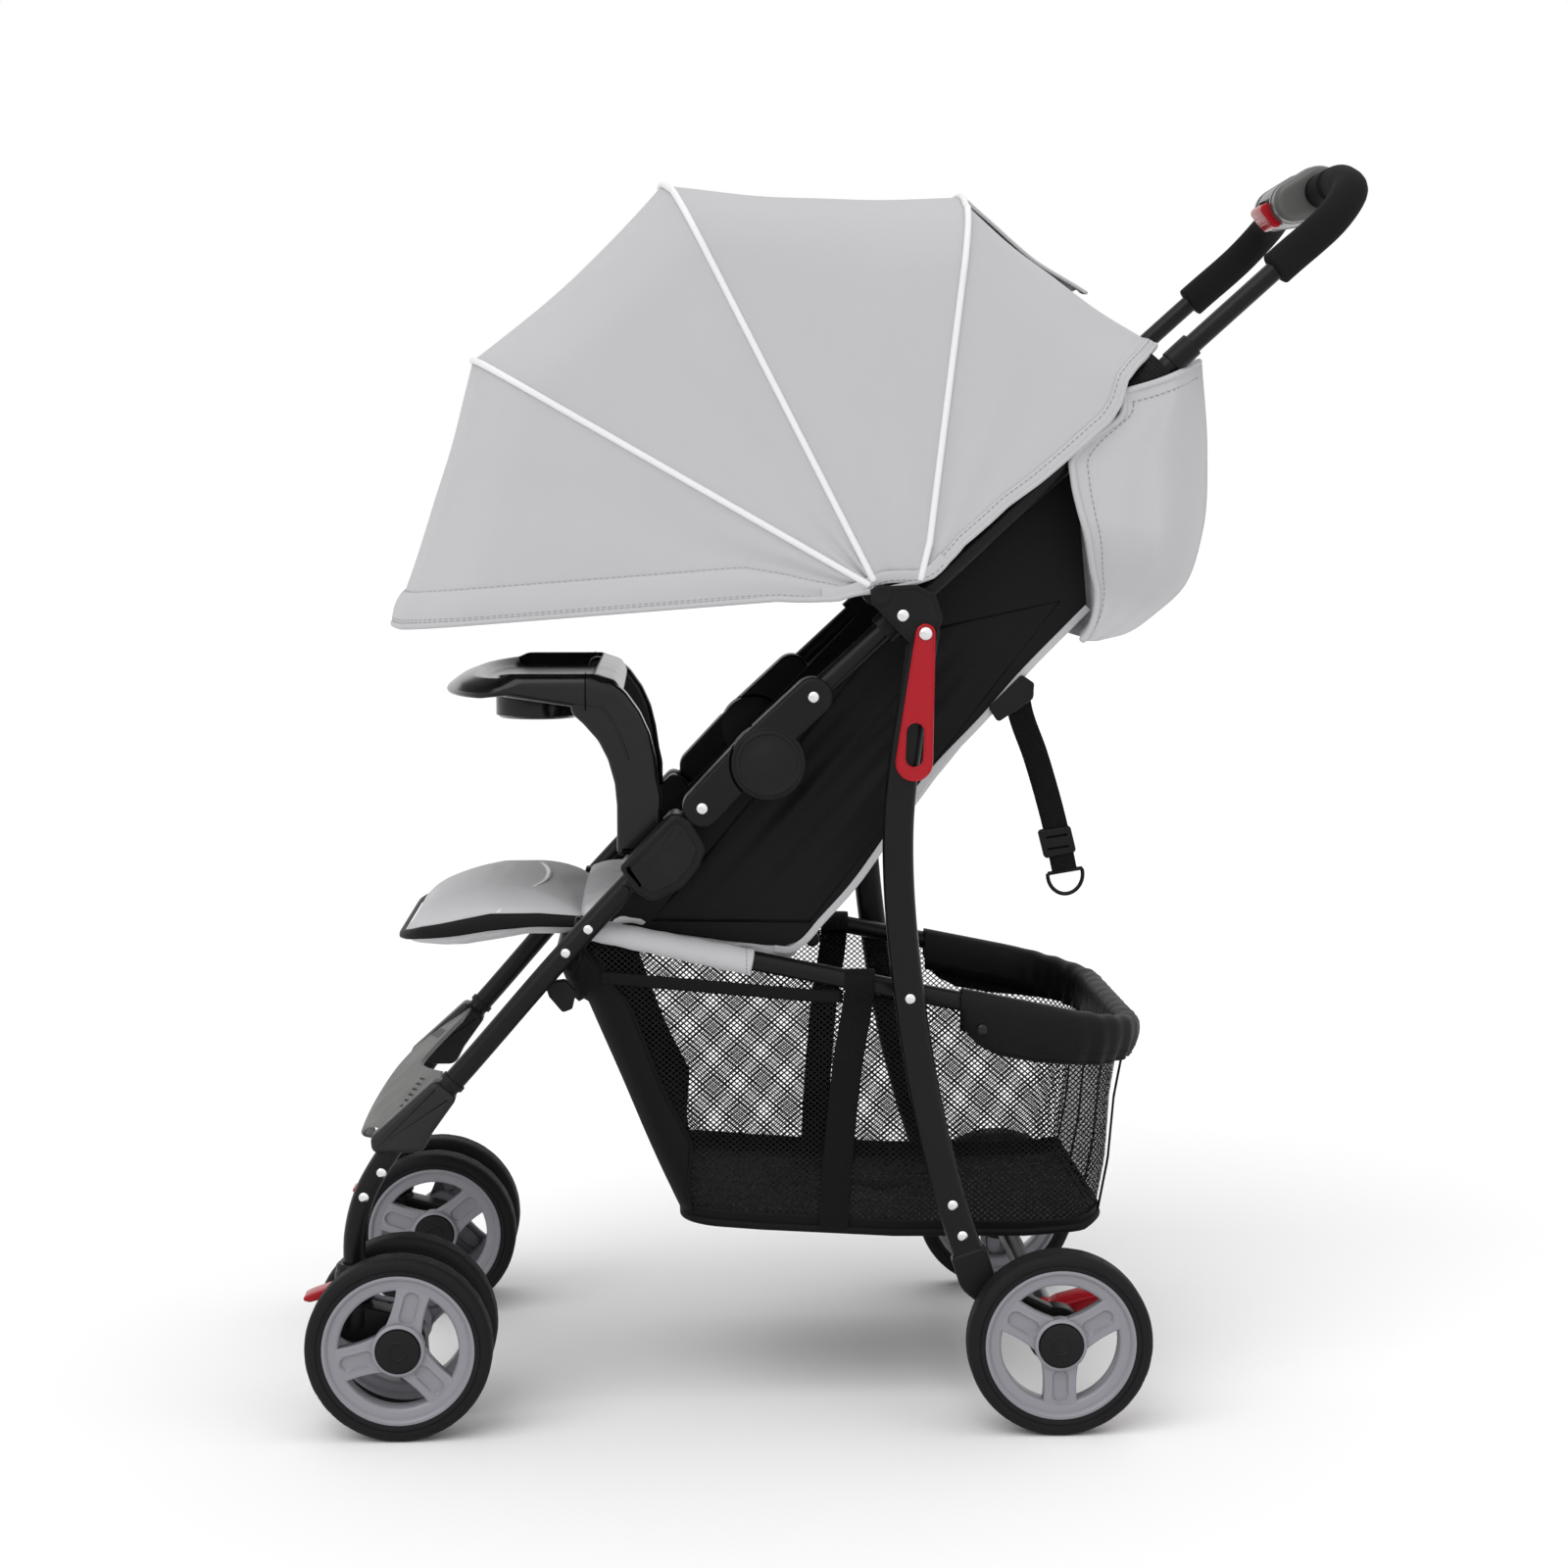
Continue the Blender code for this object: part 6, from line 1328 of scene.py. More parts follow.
def makeSeat():
    plan = evenRing(arcCorners([(-0.206, -seatHalf), (-0.03, -seatHalf), (-0.03, seatHalf),
        (-0.206, seatHalf)], 0.012, 6), 260)
    pad = gridPiece("seatCushion", padPoints(plan, seatTop, seatLow, 0.0035, 0.0006), "greyPad", None,
        closeColumns=True, caps=True)
    pad = puff(pad, limit=0.0035, pins=channels((-seatSeam, seatSeam), 1))
    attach(pad, "seat_rail")
    stands(pad, "grey_cloth", "seat_pad")
    crotch = np.array([(-0.1285, 0.0, 0.41), (-0.1283, 0.0, 0.428), (-0.1268, 0.0, 0.446)])
    webStrip("crotchStrap", crotch, 0.024, (0, 1, 0), "webbing", "seat_rail", 0.0026)
    corners = [(-0.3557, -restHalf), (-0.2063, -restHalf), (-0.2063, restHalf), (-0.3557, restHalf)]
    plan = evenRing(arcCorners(corners, [0.05, 0.004, 0.004, 0.05], 12), 300)
    rest = gridPiece("legRestPad", padPoints(plan, restTop, restLow, restCrown, 0.0), "greyPad", None,
        closeColumns=True, caps=True)
    rest = puff(rest, limit=0.003, pressure=3.0)
    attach(rest, "leg_rest")
    stands(rest, "grey_cloth", "leg_rest")
    # The binding wraps the pad's rim; the piping runs on the face inside it.
    outward = unit(np.column_stack([plan - padLayer(plan, 0.2), np.zeros(len(plan))]))
    upper, lower = np.interp(plan[:, 0], *np.array(restTop).T), np.interp(plan[:, 0], *np.array(restLow).T)
    rows = []
    for t in np.linspace(-0.3, 1.75, 14):
        level = (upper + lower) / 2 + (upper - lower + 0.0034) / 2 * math.cos(t)
        rows.append(np.column_stack([plan, level]) + outward * (0.003 * max(math.sin(t), -0.3) + 0.0004))
    binding = gridPiece("restBinding", np.stack(rows), "blackPad", "leg_rest", closeColumns=True, flip=True)
    solid = binding.modifiers.new("cloth", "SOLIDIFY")
    solid.thickness, solid.offset = 0.0014, -1
    # The piping crosses the pad: x = -0.2395 - 0.0361 |y/restPipe|^2.4, on the crowned face.
    y = np.linspace(-restPipe, restPipe, 90)
    x = -0.2395 - 0.0361 * np.abs(y / restPipe) ** 2.4
    share = np.clip(1 - np.abs(y) / restHalf, 0, 1) * restHalf / 0.0747
    rise = restCrown * (1 - (1 - np.clip(share, 0, 1)) ** 2.4) ** 0.8
    spots = np.stack([x, y, np.interp(x, *np.array(restTop).T) + rise + 0.0012], 1)
    tube("restPiping", spots, 0.0021, "piping", "leg_rest", normal=(0, 0, 1), sides=12,
        roundEnds=0.002)
    shares = np.linspace(0, 1, 60)
    outline = np.vstack([backAt(shares, 0.0, 0.0), backAt(shares[::-1], backThick, 0.0)])[:, [0, 2]]
    back = slab("backPad", outline, -seatHalf + 0.001, seatHalf - 0.001, "greyPad", None, edge=0.01, steps=8)
    back = puff(back, limit=0.0035, pins=channels((-backSeam, backSeam), 1))
    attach(back, "backrest")
    stands(back, "grey_cloth", "backrest")
    roll = np.array([(bight[0], y, bight[1]) for y in np.linspace(-seatHalf, seatHalf, 20)])
    stands(tube("bightRoll", roll, 0.006, "blackPad", "seat_back", normal=(0, 0, 1), roundEnds=0.003),
        "black_cloth", "seat_bight")
    for side in sides:
        x = np.linspace(-0.201, -0.0677, 60)
        path = np.stack([x, np.full(60, side * railY),
            railZ(x) - 0.0004 - 0.0012 * smooth((x + 0.19) / 0.12)], 1)
        thick = np.interp(x, [-0.201, -0.16, -0.068], [0.009, 0.0097, 0.0108]) + 0.00025 * np.sin(x * 260.0)
        tube(f"seatSleeve_{sideNames[side]}", path, thick, "greyCloth", "seat_rail", normal=(0, 1, 0),
            sides=26, roundEnds=0.002)
        turn = np.linspace(0, 2 * math.pi, 60)
        loop = np.stack([np.full(60, -0.0727), side * railY + 0.011 * np.cos(turn),
            railZ(-0.0727) - 0.0016 + 0.011 * np.sin(turn)], 1)
        out = unit(loop - loop.mean(0))
        stitches(f"sleeveStitch_{sideNames[side]}", loop, out, "seat_rail", pitch=0.0036,
            length=0.0024)


def webStrip(name, path, width, across, look, rides, thick=0.0016):
    # Flat webbing along a path: a strip of its width with a body of its thickness and soft edges.
    a = np.linspace(0, 2 * math.pi, 14, endpoint=False)
    section = np.stack([width / 2 * np.sign(np.cos(a)) * np.abs(np.cos(a)) ** 0.45,
        thick / 2 * np.sign(np.sin(a)) * np.abs(np.sin(a)) ** 0.7], 1)
    tangent = unit(np.gradient(path, axis=0))
    wide = np.broadcast_to(np.asarray(across, float), tangent.shape)
    wide = unit(wide - tangent * np.sum(wide * tangent, 1, keepdims=True))
    up = np.cross(tangent, wide)
    points = path[:, None] + wide[:, None] * section[None, :, :1] + up[:, None] * section[None, :, 1:]
    return gridPiece(name, points, look, rides, closeColumns=True, caps=True, flip=True)


harness = {"half": 0.055, "run": (0.22, 0.76), "waist": 0.262, "reach": 0.118}


def makeHarness():
    low = backThick + 0.003
    for k, y in enumerate((-harness["half"], harness["half"])):
        path = backAt(np.linspace(*harness["run"], 40), low, y)
        piece = webStrip(f"shoulderStrap_{k}", path, 0.026, (0, 1, 0), "webbing", "backrest", 0.003)
        if k == 0:
            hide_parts("harness")
    y = np.linspace(-harness["reach"], harness["reach"], 40)
    waist = backAt(np.full(40, harness["waist"]), low + 0.0022 + 0.003 * np.sin(np.linspace(0, math.pi, 40)),
        y)
    webStrip("waistStrap", waist, 0.024, (0.61, 0, 0.79), "webbing", "backrest", 0.0022)
    centre = backAt(np.array([harness["waist"]]), low + 0.0085, 0.0)[0]
    plan = arcCorners([(centre[0] - 0.022, -0.02), (centre[0] - 0.022, 0.02), (centre[0] + 0.018, 0.023),
        (centre[0] + 0.018, -0.023)], 0.006)
    slab("buckle", plan, centre[2] - 0.006, centre[2] + 0.007, "plastic", "backrest", edge=0.003,
        steps=5, plane="plan")


strap = {
    "y": -0.06,
    "buckle": [(0.15, 0.58), (0.164, 0.603), (0.1733, 0.5979), (0.1742, 0.5862), (0.1626, 0.5762),
        (0.154, 0.569)],
    "slider": [(0.1788, 0.4715), (0.2066, 0.4756), (0.2122, 0.453), (0.185, 0.4471)],
    "ring": (0.203, 0.4335),
}


def makeStrap():
    y = strap["y"]
    path = curveThrough(atSide([(0.161, 0.585), (0.1626, 0.5762), (0.1771, 0.5344), (0.1944, 0.4731),
        (0.2023, 0.437)], y), 60)
    path[:, 1] += 0.001 * np.sin(np.linspace(0, 5, 60))
    web = webStrip("reclineWeb", path, 0.0216, (0.96, 0, 0.27), "webbing", "backrest", 0.002)
    stands(web, "black_cloth", "recline_strap")
    tab = [(0.1253, 0.5828), (0.1334, 0.5707), (0.151, 0.5827), (0.162, 0.59), (0.1629, 0.6027),
        (0.1524, 0.6099)]
    for side in sides:
        slab(f"strapTab_{sideNames[side]}", arcCorners(tab, 0.003, 4), side * 0.155, side * 0.1585,
            "plastic", "backrest", edge=0.001)
    clip = slab("reclineBuckle", arcCorners(strap["buckle"], 0.004, 4), y - 0.01, y + 0.01, "plastic",
        "backrest", edge=0.0028, steps=6)
    slider = slab("reclineSlider", arcCorners(strap["slider"], 0.003, 4), y - 0.0042, y + 0.0042, "plastic",
        "backrest", edge=0.0014, steps=5)
    slider["look"] = "plastic"
    middle = np.array(strap["slider"]).mean(0)
    wide = unit(np.array(strap["slider"][1]) - np.array(strap["slider"][0]))
    deep = np.array([wide[1], -wide[0]])
    tools = []
    for shift in (-0.005, 0.005):
        spot = middle + deep * shift
        tools.append(slab("gapTool", linkOutline(spot - wide * 0.0085, spot + wide * 0.0085, 0.0009, 0.00089,
            8), y - 0.02, y + 0.02, "plastic", None, edge=0.0001))
    carve(slider, *tools)
    ring = np.array(strap["ring"])
    turn = np.linspace(math.radians(-190), math.radians(10), 40)
    tilt = math.atan2(wide[1], wide[0])
    curve = ring + 0.015 * np.stack([np.cos(turn + tilt), np.sin(turn + tilt) * 1.12], 1)
    tube("strapRing", atSide(np.vstack([curve, curve[:1]]), y), 0.0017, "plastic", "backrest",
        sides=14)


ribs = {"hem": (184.4, 0.384, 0.016), "front": (150.3, 0.365, 0.015), "middle": (117.2, 0.3573, 0.018),
    "rear": (76.5, 0.3134, 0.022), "back": (40.9, 0.2995, 0.01)}
canopyShape = {"half": 0.2087, "corner": 0.055, "root": 0.007, "bowRoot": 0.056, "bowY": 0.2035,
    "rearShift": 0.031}
backBend = [(0.0, -30.0), (0.0316, -28.0), (0.0446, -26.0), (0.0601, -17.6), (0.0769, -11.8), (0.0966, -9.6),
    (0.1215, -7.2), (0.1524, -6.8), (0.1886, -5.6), (0.215, -4.8), (0.227, -4.6), (0.241, -3.2),
    (0.2562, -0.6), (0.27, 0.0), (0.31, 0.0)]
hemBend = [(0.0, 0.0), (0.0124, 0.0), (0.033, 6.5), (0.045, 4.0), (0.08, 0.0), (0.5, 0.0)]


def archCurve(reach, crown, root, half, corner, count=181):
    # A bow's curve as (reach, y): up a side, round the corner on a quarter ellipse, and over the crown, whose
    # reach = side reach + crown (1 - (y/flat)^2), then down the other side.
    flat = half - corner
    turn = np.linspace(0, math.pi / 2, 24)
    up = np.stack([np.linspace(root, reach - corner, 60), np.full(60, -half)], 1)
    bend = np.stack([reach - corner + corner * np.sin(turn), -flat - corner * np.cos(turn)], 1)
    y = np.linspace(-flat, 0, 24)
    over = np.stack([reach + crown * (1 - (y / flat) ** 2), y], 1)
    one = np.vstack([up[:-1], bend[:-1], over])
    whole = np.vstack([one, (one * [1, -1])[::-1][1:]])
    run = runAlong(whole)
    even = np.linspace(0, run[-1], count)
    return np.stack([np.interp(even, run, whole[:, k]) for k in range(2)], 1)


canopyCentre = np.array([canopyPivot[0], 0, canopyPivot[1]])


def aboutPivot(curve, degrees, bend=None):
    turn = 0.0 if bend is None else np.interp(curve[:, 0], *np.array(bend).T)
    a = np.radians(degrees + turn)
    return np.stack([canopyPivot[0] + curve[:, 0] * np.cos(a), curve[:, 1],
        canopyPivot[1] + curve[:, 0] * np.sin(a)], 1)


def ribCurve(key, inset=0.0, count=181):
    degrees, reach, crown = ribs[key]
    shape = canopyShape
    curve = archCurve(reach - inset, crown, shape["root"], shape["half"] - inset,
        shape["corner"] - inset * 0.5, count)
    placed = aboutPivot(curve, degrees, {"back": backBend, "hem": hemBend}.get(key))
    if key == "rear":
        placed[:, 0] += shape["rearShift"] * np.clip(1 - (curve[:, 0] - 0.04) / 0.27, 0, 1)
    return placed


def outwardAt(points):
    # Unit directions out of the canopy's curved sheet, from the grid's own cross products.
    down, across = np.gradient(points, axis=0), np.gradient(points, axis=1)
    out = unit(np.cross(down, across))
    lean = np.sum(out * (points - canopyCentre), axis=2, keepdims=True)
    return out * np.where(lean < 0, -1.0, 1.0)


def panelGrid(first, second, sag=0.006, rows=49, count=181, soft=0.0012, seed=0.0):
    # Cloth between two ribs, drawn in by sag 4 t (1 - t) over the top, with slow folds that fade at the ribs:
    # soft sin(13 t + 5 u + seed) sin(9 u + seed).
    a, b = ribCurve(first, 0.0, count), ribCurve(second, 0.0, count)
    t = np.linspace(0, 1, rows)[:, None, None]
    u = np.linspace(0, 2, count)[None, :, None]
    flat = a[None] * (1 - t) + b[None] * t
    inward = unit((canopyCentre - flat) * [1, 0.35, 1])
    height = np.clip((np.linalg.norm((flat - canopyCentre)[:, :, [0, 2]], axis=2) - 0.08) / 0.25, 0,
        1)[:, :, None]
    flat = flat + inward * (sag * 4 * t * (1 - t) * height)
    wave = np.sin(13 * t + 5 * u + seed) * np.sin(9 * u + seed) + 0.6 * np.sin(6.5 * t * (2 - u) + 3 * u
        + seed)
    side = 1 - 0.6 * height
    return flat - outwardAt(flat) * (soft * (1 + wave) * np.sin(math.pi * t) * side)


def clothSheet(name, points, look, body, thick=0.0011, spread=None):
    piece = gridPiece(name, points, look, body, spread=spread)
    solid = piece.modifiers.new("cloth", "SOLIDIFY")
    solid.thickness, solid.offset = thick, 0.0
    wide = np.linalg.norm(np.diff(points, axis=1), axis=2).sum(1)
    deep = np.linalg.norm(np.diff(points, axis=0), axis=2).sum(0)
    cells = 0.5 * np.linalg.norm(np.cross(points[1:, 1:] - points[:-1, :-1],
        points[1:, :-1] - points[:-1, 1:]), axis=2)
    return piece, (float(wide.max()), float(deep.max()), float(cells.sum()))


def hungSheet(name, points, look, body, thick):
    # A sheet of cloth of a thickness, riding on a body.
    piece, size = clothSheet(name, points, look, body, thick)


canopyPanels = {
    "visor": ("hem", "front", "bow_front", "visor", "canopy_visor", 0.3),
    "front": ("front", "middle", "bow_middle", "bow_front", "canopy_front", 1.7),
    "top": ("middle", "rear", "bow_rear", "bow_middle", "canopy_top", 3.1),
    "rear": ("rear", "back", "push_frame", "bow_rear", "canopy_rear", 4.4),
}


def sheetRow(grid, t):
    # A row of a grid of cloth at a share t, one for each column.
    rows = len(grid) - 1
    t = np.clip(np.broadcast_to(t, grid.shape[1]), 0, 1) * rows
    k = np.minimum(t.astype(int), rows - 1)
    f = (t - k)[:, None]
    columns = np.arange(grid.shape[1])
    return grid[k, columns] * (1 - f) + grid[k + 1, columns] * f


def edgeBand(key, deep, turn, least, most):
    # How far out a rib lies at each column, and the share of its panel's rows that a band of a depth takes
    # there.
    radius = np.linalg.norm((ribCurve(key) - canopyCentre)[:, [0, 2]], axis=1)
    return radius, np.clip(deep / (turn * np.maximum(radius, least)), 0, most)


def makeCanopy():
    grids = {}
    for key, (first, second, low, high, node, seed) in canopyPanels.items():
        grid = panelGrid(first, second, sag=0.003 if key == "visor" else 0.0055, seed=seed)
        grids[key] = grid
        piece, size = clothSheet(f"canopy_{key}", grid, "greyCloth", None)
        start, end = ribCurve(second)[90], ribCurve(first)[90]
        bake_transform(piece)
        stands(piece, "grey_cloth", node)
    for key, body in (("front", "bow_front"), ("middle", "bow_middle"), ("rear", "bow_rear")):
        degrees, reach, crown = ribs[key]
        curve = archCurve(reach - 0.0051, crown, canopyShape["bowRoot"], canopyShape["bowY"],
            canopyShape["corner"] - 0.005)
        wire = tube(f"canopyBow_{key}", aboutPivot(curve, degrees), 0.0022, "paint", body, sides=14)
        stands(wire, "frame", f"canopy_bow_{key}")
        layer = {"rear": 0.2012, "middle": 0.2029, "front": 0.2045}[key]
        tip = aboutPivot(curve[:1], degrees)[0]
        for side in sides:
            eye = slab(f"bowEye_{key}_{sideNames[side]}",
                linkOutline(canopyPivot, (tip[0], tip[2]), 0.0085, 0.0026, 14), side * layer,
                side * (layer + 0.0014), "paint", body, edge=0.0003, steps=3)
        path = ribCurve(key, -0.0012, 361)
        tube(f"canopyPiping_{key}", path, 0.0027, "piping", body, sides=14, roundEnds=0.0025)
    # The visor's rolled hem: a padded band 28 mm deep above its edge, stitched along its top and twice below.
    visor = grids["visor"]
    radius, reach = edgeBand("hem", deep=0.029, turn=0.595, least=0.02, most=0.42)
    band = np.stack([sheetRow(visor, reach * s) for s in np.linspace(0, 1, 15)])
    out = outwardAt(band)
    s = np.linspace(0, 1, 15)[:, None, None]
    fade = smooth((radius - 0.02) / 0.1)[None, :, None]
    band = band + out * (0.0007 + 0.0036 * np.sin(math.pi * s) ** 0.6 * fade)
    hungSheet("visorHem", band, "greyCloth", "visor", 0.001)
    tube("canopyHem", ribCurve("hem", -0.0008), 0.0026, "greyCloth", "visor", sides=12)
    for key, row in (("Top", 14), ("Low", 1), ("LowTwo", 2)):
        line = band[row] + out[row] * 0.0004
        stitches(f"visorStitch{key}", line[4:-4], out[row][4:-4], "visor")
    # The rear edge has a flat binding of the same cloth, with one row of stitches.
    rear = grids["rear"]
    reach = edgeBand("back", deep=0.0085, turn=0.62, least=0.03, most=0.35)[1]
    rows = np.stack([sheetRow(rear, 1 - reach * s) for s in np.linspace(1, 0, 9)])
    out = outwardAt(rows)
    s = np.linspace(0, 1, 9)[:, None, None]
    rows = rows + out * (0.0008 + 0.001 * np.sin(math.pi * s) ** 0.5)
    hungSheet("rearBinding", rows, "greyCloth", "push_frame", 0.0009)
    tube("rearEdge", ribCurve("back", -0.0006), 0.0021, "greyCloth", "push_frame", sides=12)
    stitches("rearStitch", rows[2] + out[2] * 0.0006, out[2], "push_frame")
    # Over each pivot a binding joins the visor's hem to the rear edge and hides where the bows meet.
    line = curveThrough([(-0.0135, 0.6772), (0.003, 0.678), (0.0194, 0.6832), (0.0353, 0.6896),
        (0.05, 0.6908), (0.064, 0.6912), (0.0745, 0.6958), (0.084, 0.706)], 60)
    for side in sides:
        path = atSide(line, side * 0.2103)
        across = np.stack([-np.gradient(line[:, 1]), np.zeros(60), np.gradient(line[:, 0])], 1)
        webStrip(f"pivotBinding_{sideNames[side]}", path, 0.0098, unit(across), "greyCloth",
            "push_frame", 0.0016)
        low = path - unit(across) * 0.0028 + [0, side * 0.0009, 0]
        out = np.broadcast_to([0.0, side, 0.0], low.shape)
        stitches(f"pivotStitch_{sideNames[side]}", low, out, "push_frame")
    # The window flap lies on the rear panel and lifts at its free edge.
    middle = slice(66, 115)
    t = np.linspace(0.02, 0.64, 30)
    flap = np.stack([sheetRow(rear, v)[middle] for v in t])
    out = outwardAt(np.stack([sheetRow(rear, v) for v in t]))[:, middle]
    rise = smooth((t - 0.35) / 0.3)[:, None, None]
    u = np.linspace(-1, 1, flap.shape[1])[None, :, None]
    flap = flap + out * (0.0022 + rise * (0.0065 + 0.0025 * np.cos(4.2 * u))
        + 0.0012 * np.sin(9 * t)[:, None, None] * u**2)
    hungSheet("windowFlap", flap, "greyCloth", "push_frame", 0.0016)
    edge = np.vstack([flap[:, 0], flap[-1], flap[::-1, -1]])
    tube("flapEdge", edge, 0.0015, "greyCloth", "push_frame", sides=10)


bagEdge = {
    "front": [(0.201, 0.641), (0.2084, 0.65), (0.211, 0.6805), (0.206, 0.7121), (0.195, 0.7594),
        (0.1905, 0.796), (0.2264, 0.832)],
    "rear": [(0.213, 0.638), (0.2364, 0.644), (0.2602, 0.6606), (0.281, 0.68), (0.2965, 0.725),
        (0.2996, 0.79), (0.294, 0.863)],
}
wingFront = [(0.1985, 0.6373), (0.2045, 0.6443), (0.2095, 0.6565), (0.211, 0.679), (0.206, 0.6954),
    (0.1998, 0.7213), (0.1934, 0.7411), (0.1871, 0.7689), (0.1862, 0.7847), (0.1925, 0.793), (0.2127, 0.8084),
    (0.225, 0.818), (0.2264, 0.837)]
bagShape = {"half": 0.17, "corner": 0.026, "sag": 0.006, "rows": 56}


def bagRing(a, b, count=200):
    # A ring of the bag between a point of its front edge and one of its rear edge, with rounded corners.
    depth = np.linalg.norm(b - a)
    half = bagShape["half"]
    corner = min(bagShape["corner"], depth * 0.45)
    ring = evenRing(arcCorners([(0, -half), (depth, -half), (depth, half), (0, half)], corner, 8), count)
    along = unit(b - a)
    return np.stack([a[0] + along[0] * ring[:, 0], ring[:, 1], a[1] + along[1] * ring[:, 0]], 1)


def makeBag():
    rows = bagShape["rows"]
    front, rear = curveThrough(bagEdge["front"], rows), curveThrough(bagEdge["rear"], rows)
    rings = np.stack([bagRing(front[k], rear[k]) for k in range(rows)])
    level = np.linspace(0, 1, rows)[:, None]
    centre = rings.mean(1, keepdims=True)
    # Slow sags: the faces bulge by sin(pi level) cos(pi y / 2 half), and the sides by two slanted waves.
    across = rings[:, :, 1] / bagShape["half"]
    away = unit(rings - centre)
    bulge = bagShape["sag"] * 0.5 * np.sin(math.pi * level) * np.cos(across * math.pi / 2)
    wave = 0.0016 * np.sin(7 * level + 60 * (rings[:, :, 0] - 0.2)) + 0.0012 * np.sin(15 * level
        - 40 * rings[:, :, 0] + 2 * across)
    rings = rings + away * (bulge + wave * np.sin(math.pi * level) ** 0.5)[:, :, None]
    floor = np.stack([centre[0] + (rings[0] - centre[0]) * s for s in (0.02, 0.4, 0.75)])
    piece, size = clothSheet("parentBag", np.concatenate([floor, rings]), "greyCloth", "push_frame", 0.0016)
    stands(piece, "grey_cloth", "parent_bag")
    top = rings[-1]
    tube("bagTrim", np.vstack([top, top[:2]]), 0.0026, "greyCloth", "push_frame", normal=(0.3, 0, 1),
        sides=12)
    outward = unit(rings[-4] - rings[-4].mean(0))
    stitches("bagTrimStitch", rings[-3] + outward * 0.0012, outward, "push_frame")
    # A wing at each side covers the push tube: y runs from the outer line to the body's side at the rear
    # edge.
    first, last = curveThrough(wingFront, 70), curveThrough(bagEdge["rear"], 70)
    s = np.linspace(0, 1, 44)[None, :]
    t = np.linspace(0, 1, 70)[:, None]
    outer = 0.1725 + (0.2035 - 0.1725) * smooth((first[:, 1:] - 0.664) / 0.075)
    close = smooth((s - 0.56) / 0.44)
    wide = outer * (1 - close) + 0.1716 * close
    flat = first[:, None] * (1 - s[..., None]) + last[:, None] * s[..., None]
    flat[..., 1] -= 0.003 * np.sin(math.pi * s) * t**4
    fold = 0.0022 * np.sin(6.0 * s + 5.0 * t) * np.sin(math.pi * s) * np.sin(math.pi * t) * (1 - t)
    fold = fold + 0.0016 * np.sin(14 * s - 4 * t) * np.sin(math.pi * s) * np.sin(math.pi * t)
    for side in sides:
        name = sideNames[side]
        grid = np.stack([flat[..., 0], side * (wide + fold), flat[..., 1]], 2)
        hungSheet(f"bagWing_{name}", grid, "greyCloth", "push_frame", 0.0012)
        path = grid[:, 0] + [0, side * 0.0002, 0]
        tube(f"bagEdge_{name}", path, 0.003, "greyCloth", "push_frame", sides=12, roundEnds=0.002)
        out = np.broadcast_to([0.0, side, 0.0], path.shape)
        inner = sheetRow(np.swapaxes(grid, 0, 1), 0.11) + out * 0.001
        stitches(f"bagEdgeStitch_{name}", inner[3:-3], out[3:-3], "push_frame")
        tube(f"bagTop_{name}", grid[-1], 0.0026, "greyCloth", "push_frame", sides=12,
            roundEnds=0.002)
        inner = sheetRow(grid, 0.955) + out[:44] * 0.001
        stitches(f"bagTopStitch_{name}", inner[2:-2], out[2:42], "push_frame")
        along = unit(np.array(pushLine[2]) - np.array(pushLine[1]))
        spots = np.array(pushLine[1]) + along * np.linspace(0.232, 0.287, 24)[:, None]
        size = 1.0 + 0.03 * np.sin(np.linspace(0, 40, 24))
        tube(f"tubePad_{name}", atSide(spots, side * frameY), size, "knit", "push_frame",
            roundEnds=0.003, profile=ringProfile(30, 0.017, 0.0116, 2.2))


basketShape = {
    "topX": -0.223, "floorX": -0.1223, "half": (0.17, 0.15),
    "backs": ((0, 0.35, 0.7, 1), (0.244, 0.2345, 0.23, 0.2215)),
    "floor": ((-0.125, -0.06, 0.0, 0.05, 0.16, 0.208, 0.223),
        (0.1585, 0.153, 0.1495, 0.1465, 0.1455, 0.149, 0.156)),
    "apron": ((0, 0.14, 0.52, 0.7, 0.89, 1), (0.1925, 0.1945, 0.186, 0.184, 0.156, 0.145)),
}


def basketTop(x):
    # The height of the net's top: under the rail, and lower in front, where the cross bar passes.
    return railZ(x) - railR - 0.0004 - 0.03 * smooth((-0.2005 - x) / 0.012)


def basketHalf(level):
    return basketShape["half"][0] + (basketShape["half"][1] - basketShape["half"][0]) * level**1.5


def basketRing(level, grow=0.0, count=320):
    # The basket's rounded plan at a level from 0, under the rail, to 1, its floor, as even points that start
    # at the middle of the front face.
    s = basketShape
    front = s["topX"] + (s["floorX"] - s["topX"]) * level - grow
    back = float(np.interp(level, *s["backs"])) + grow
    half = basketHalf(level) + grow
    bend = railCorner * (1 - level) + 0.03 * level
    plan = arcCorners([(front, -half), (back, -half), (back, half), (front, half)], [0.03, bend, bend, 0.03],
        10)
    plan = np.vstack([[(front, 0.0)], plan])
    xy = evenRing(plan, count)
    top = basketTop(xy[:, 0])
    floor = np.interp(xy[:, 0], *s["floor"])
    folds = 0.0012 * np.sin(math.pi * level) * np.sin(xy[:, 0] * 46 + level * 5) * np.sign(xy[:, 1])
    return np.stack([xy[:, 0], xy[:, 1] + folds, top + (floor - top) * level], 1)


def ringPart(level, low, high, grow, count=60):
    # Part of a basket ring, between two distances along it from the middle of the front.
    ring = basketRing(level, grow, 640)
    closed = np.vstack([ring, ring[:1]])
    run = runAlong(closed)
    spots = np.linspace(low, high, count) % run[-1]
    return np.stack([np.interp(spots, run, closed[:, k]) for k in range(3)], 1)


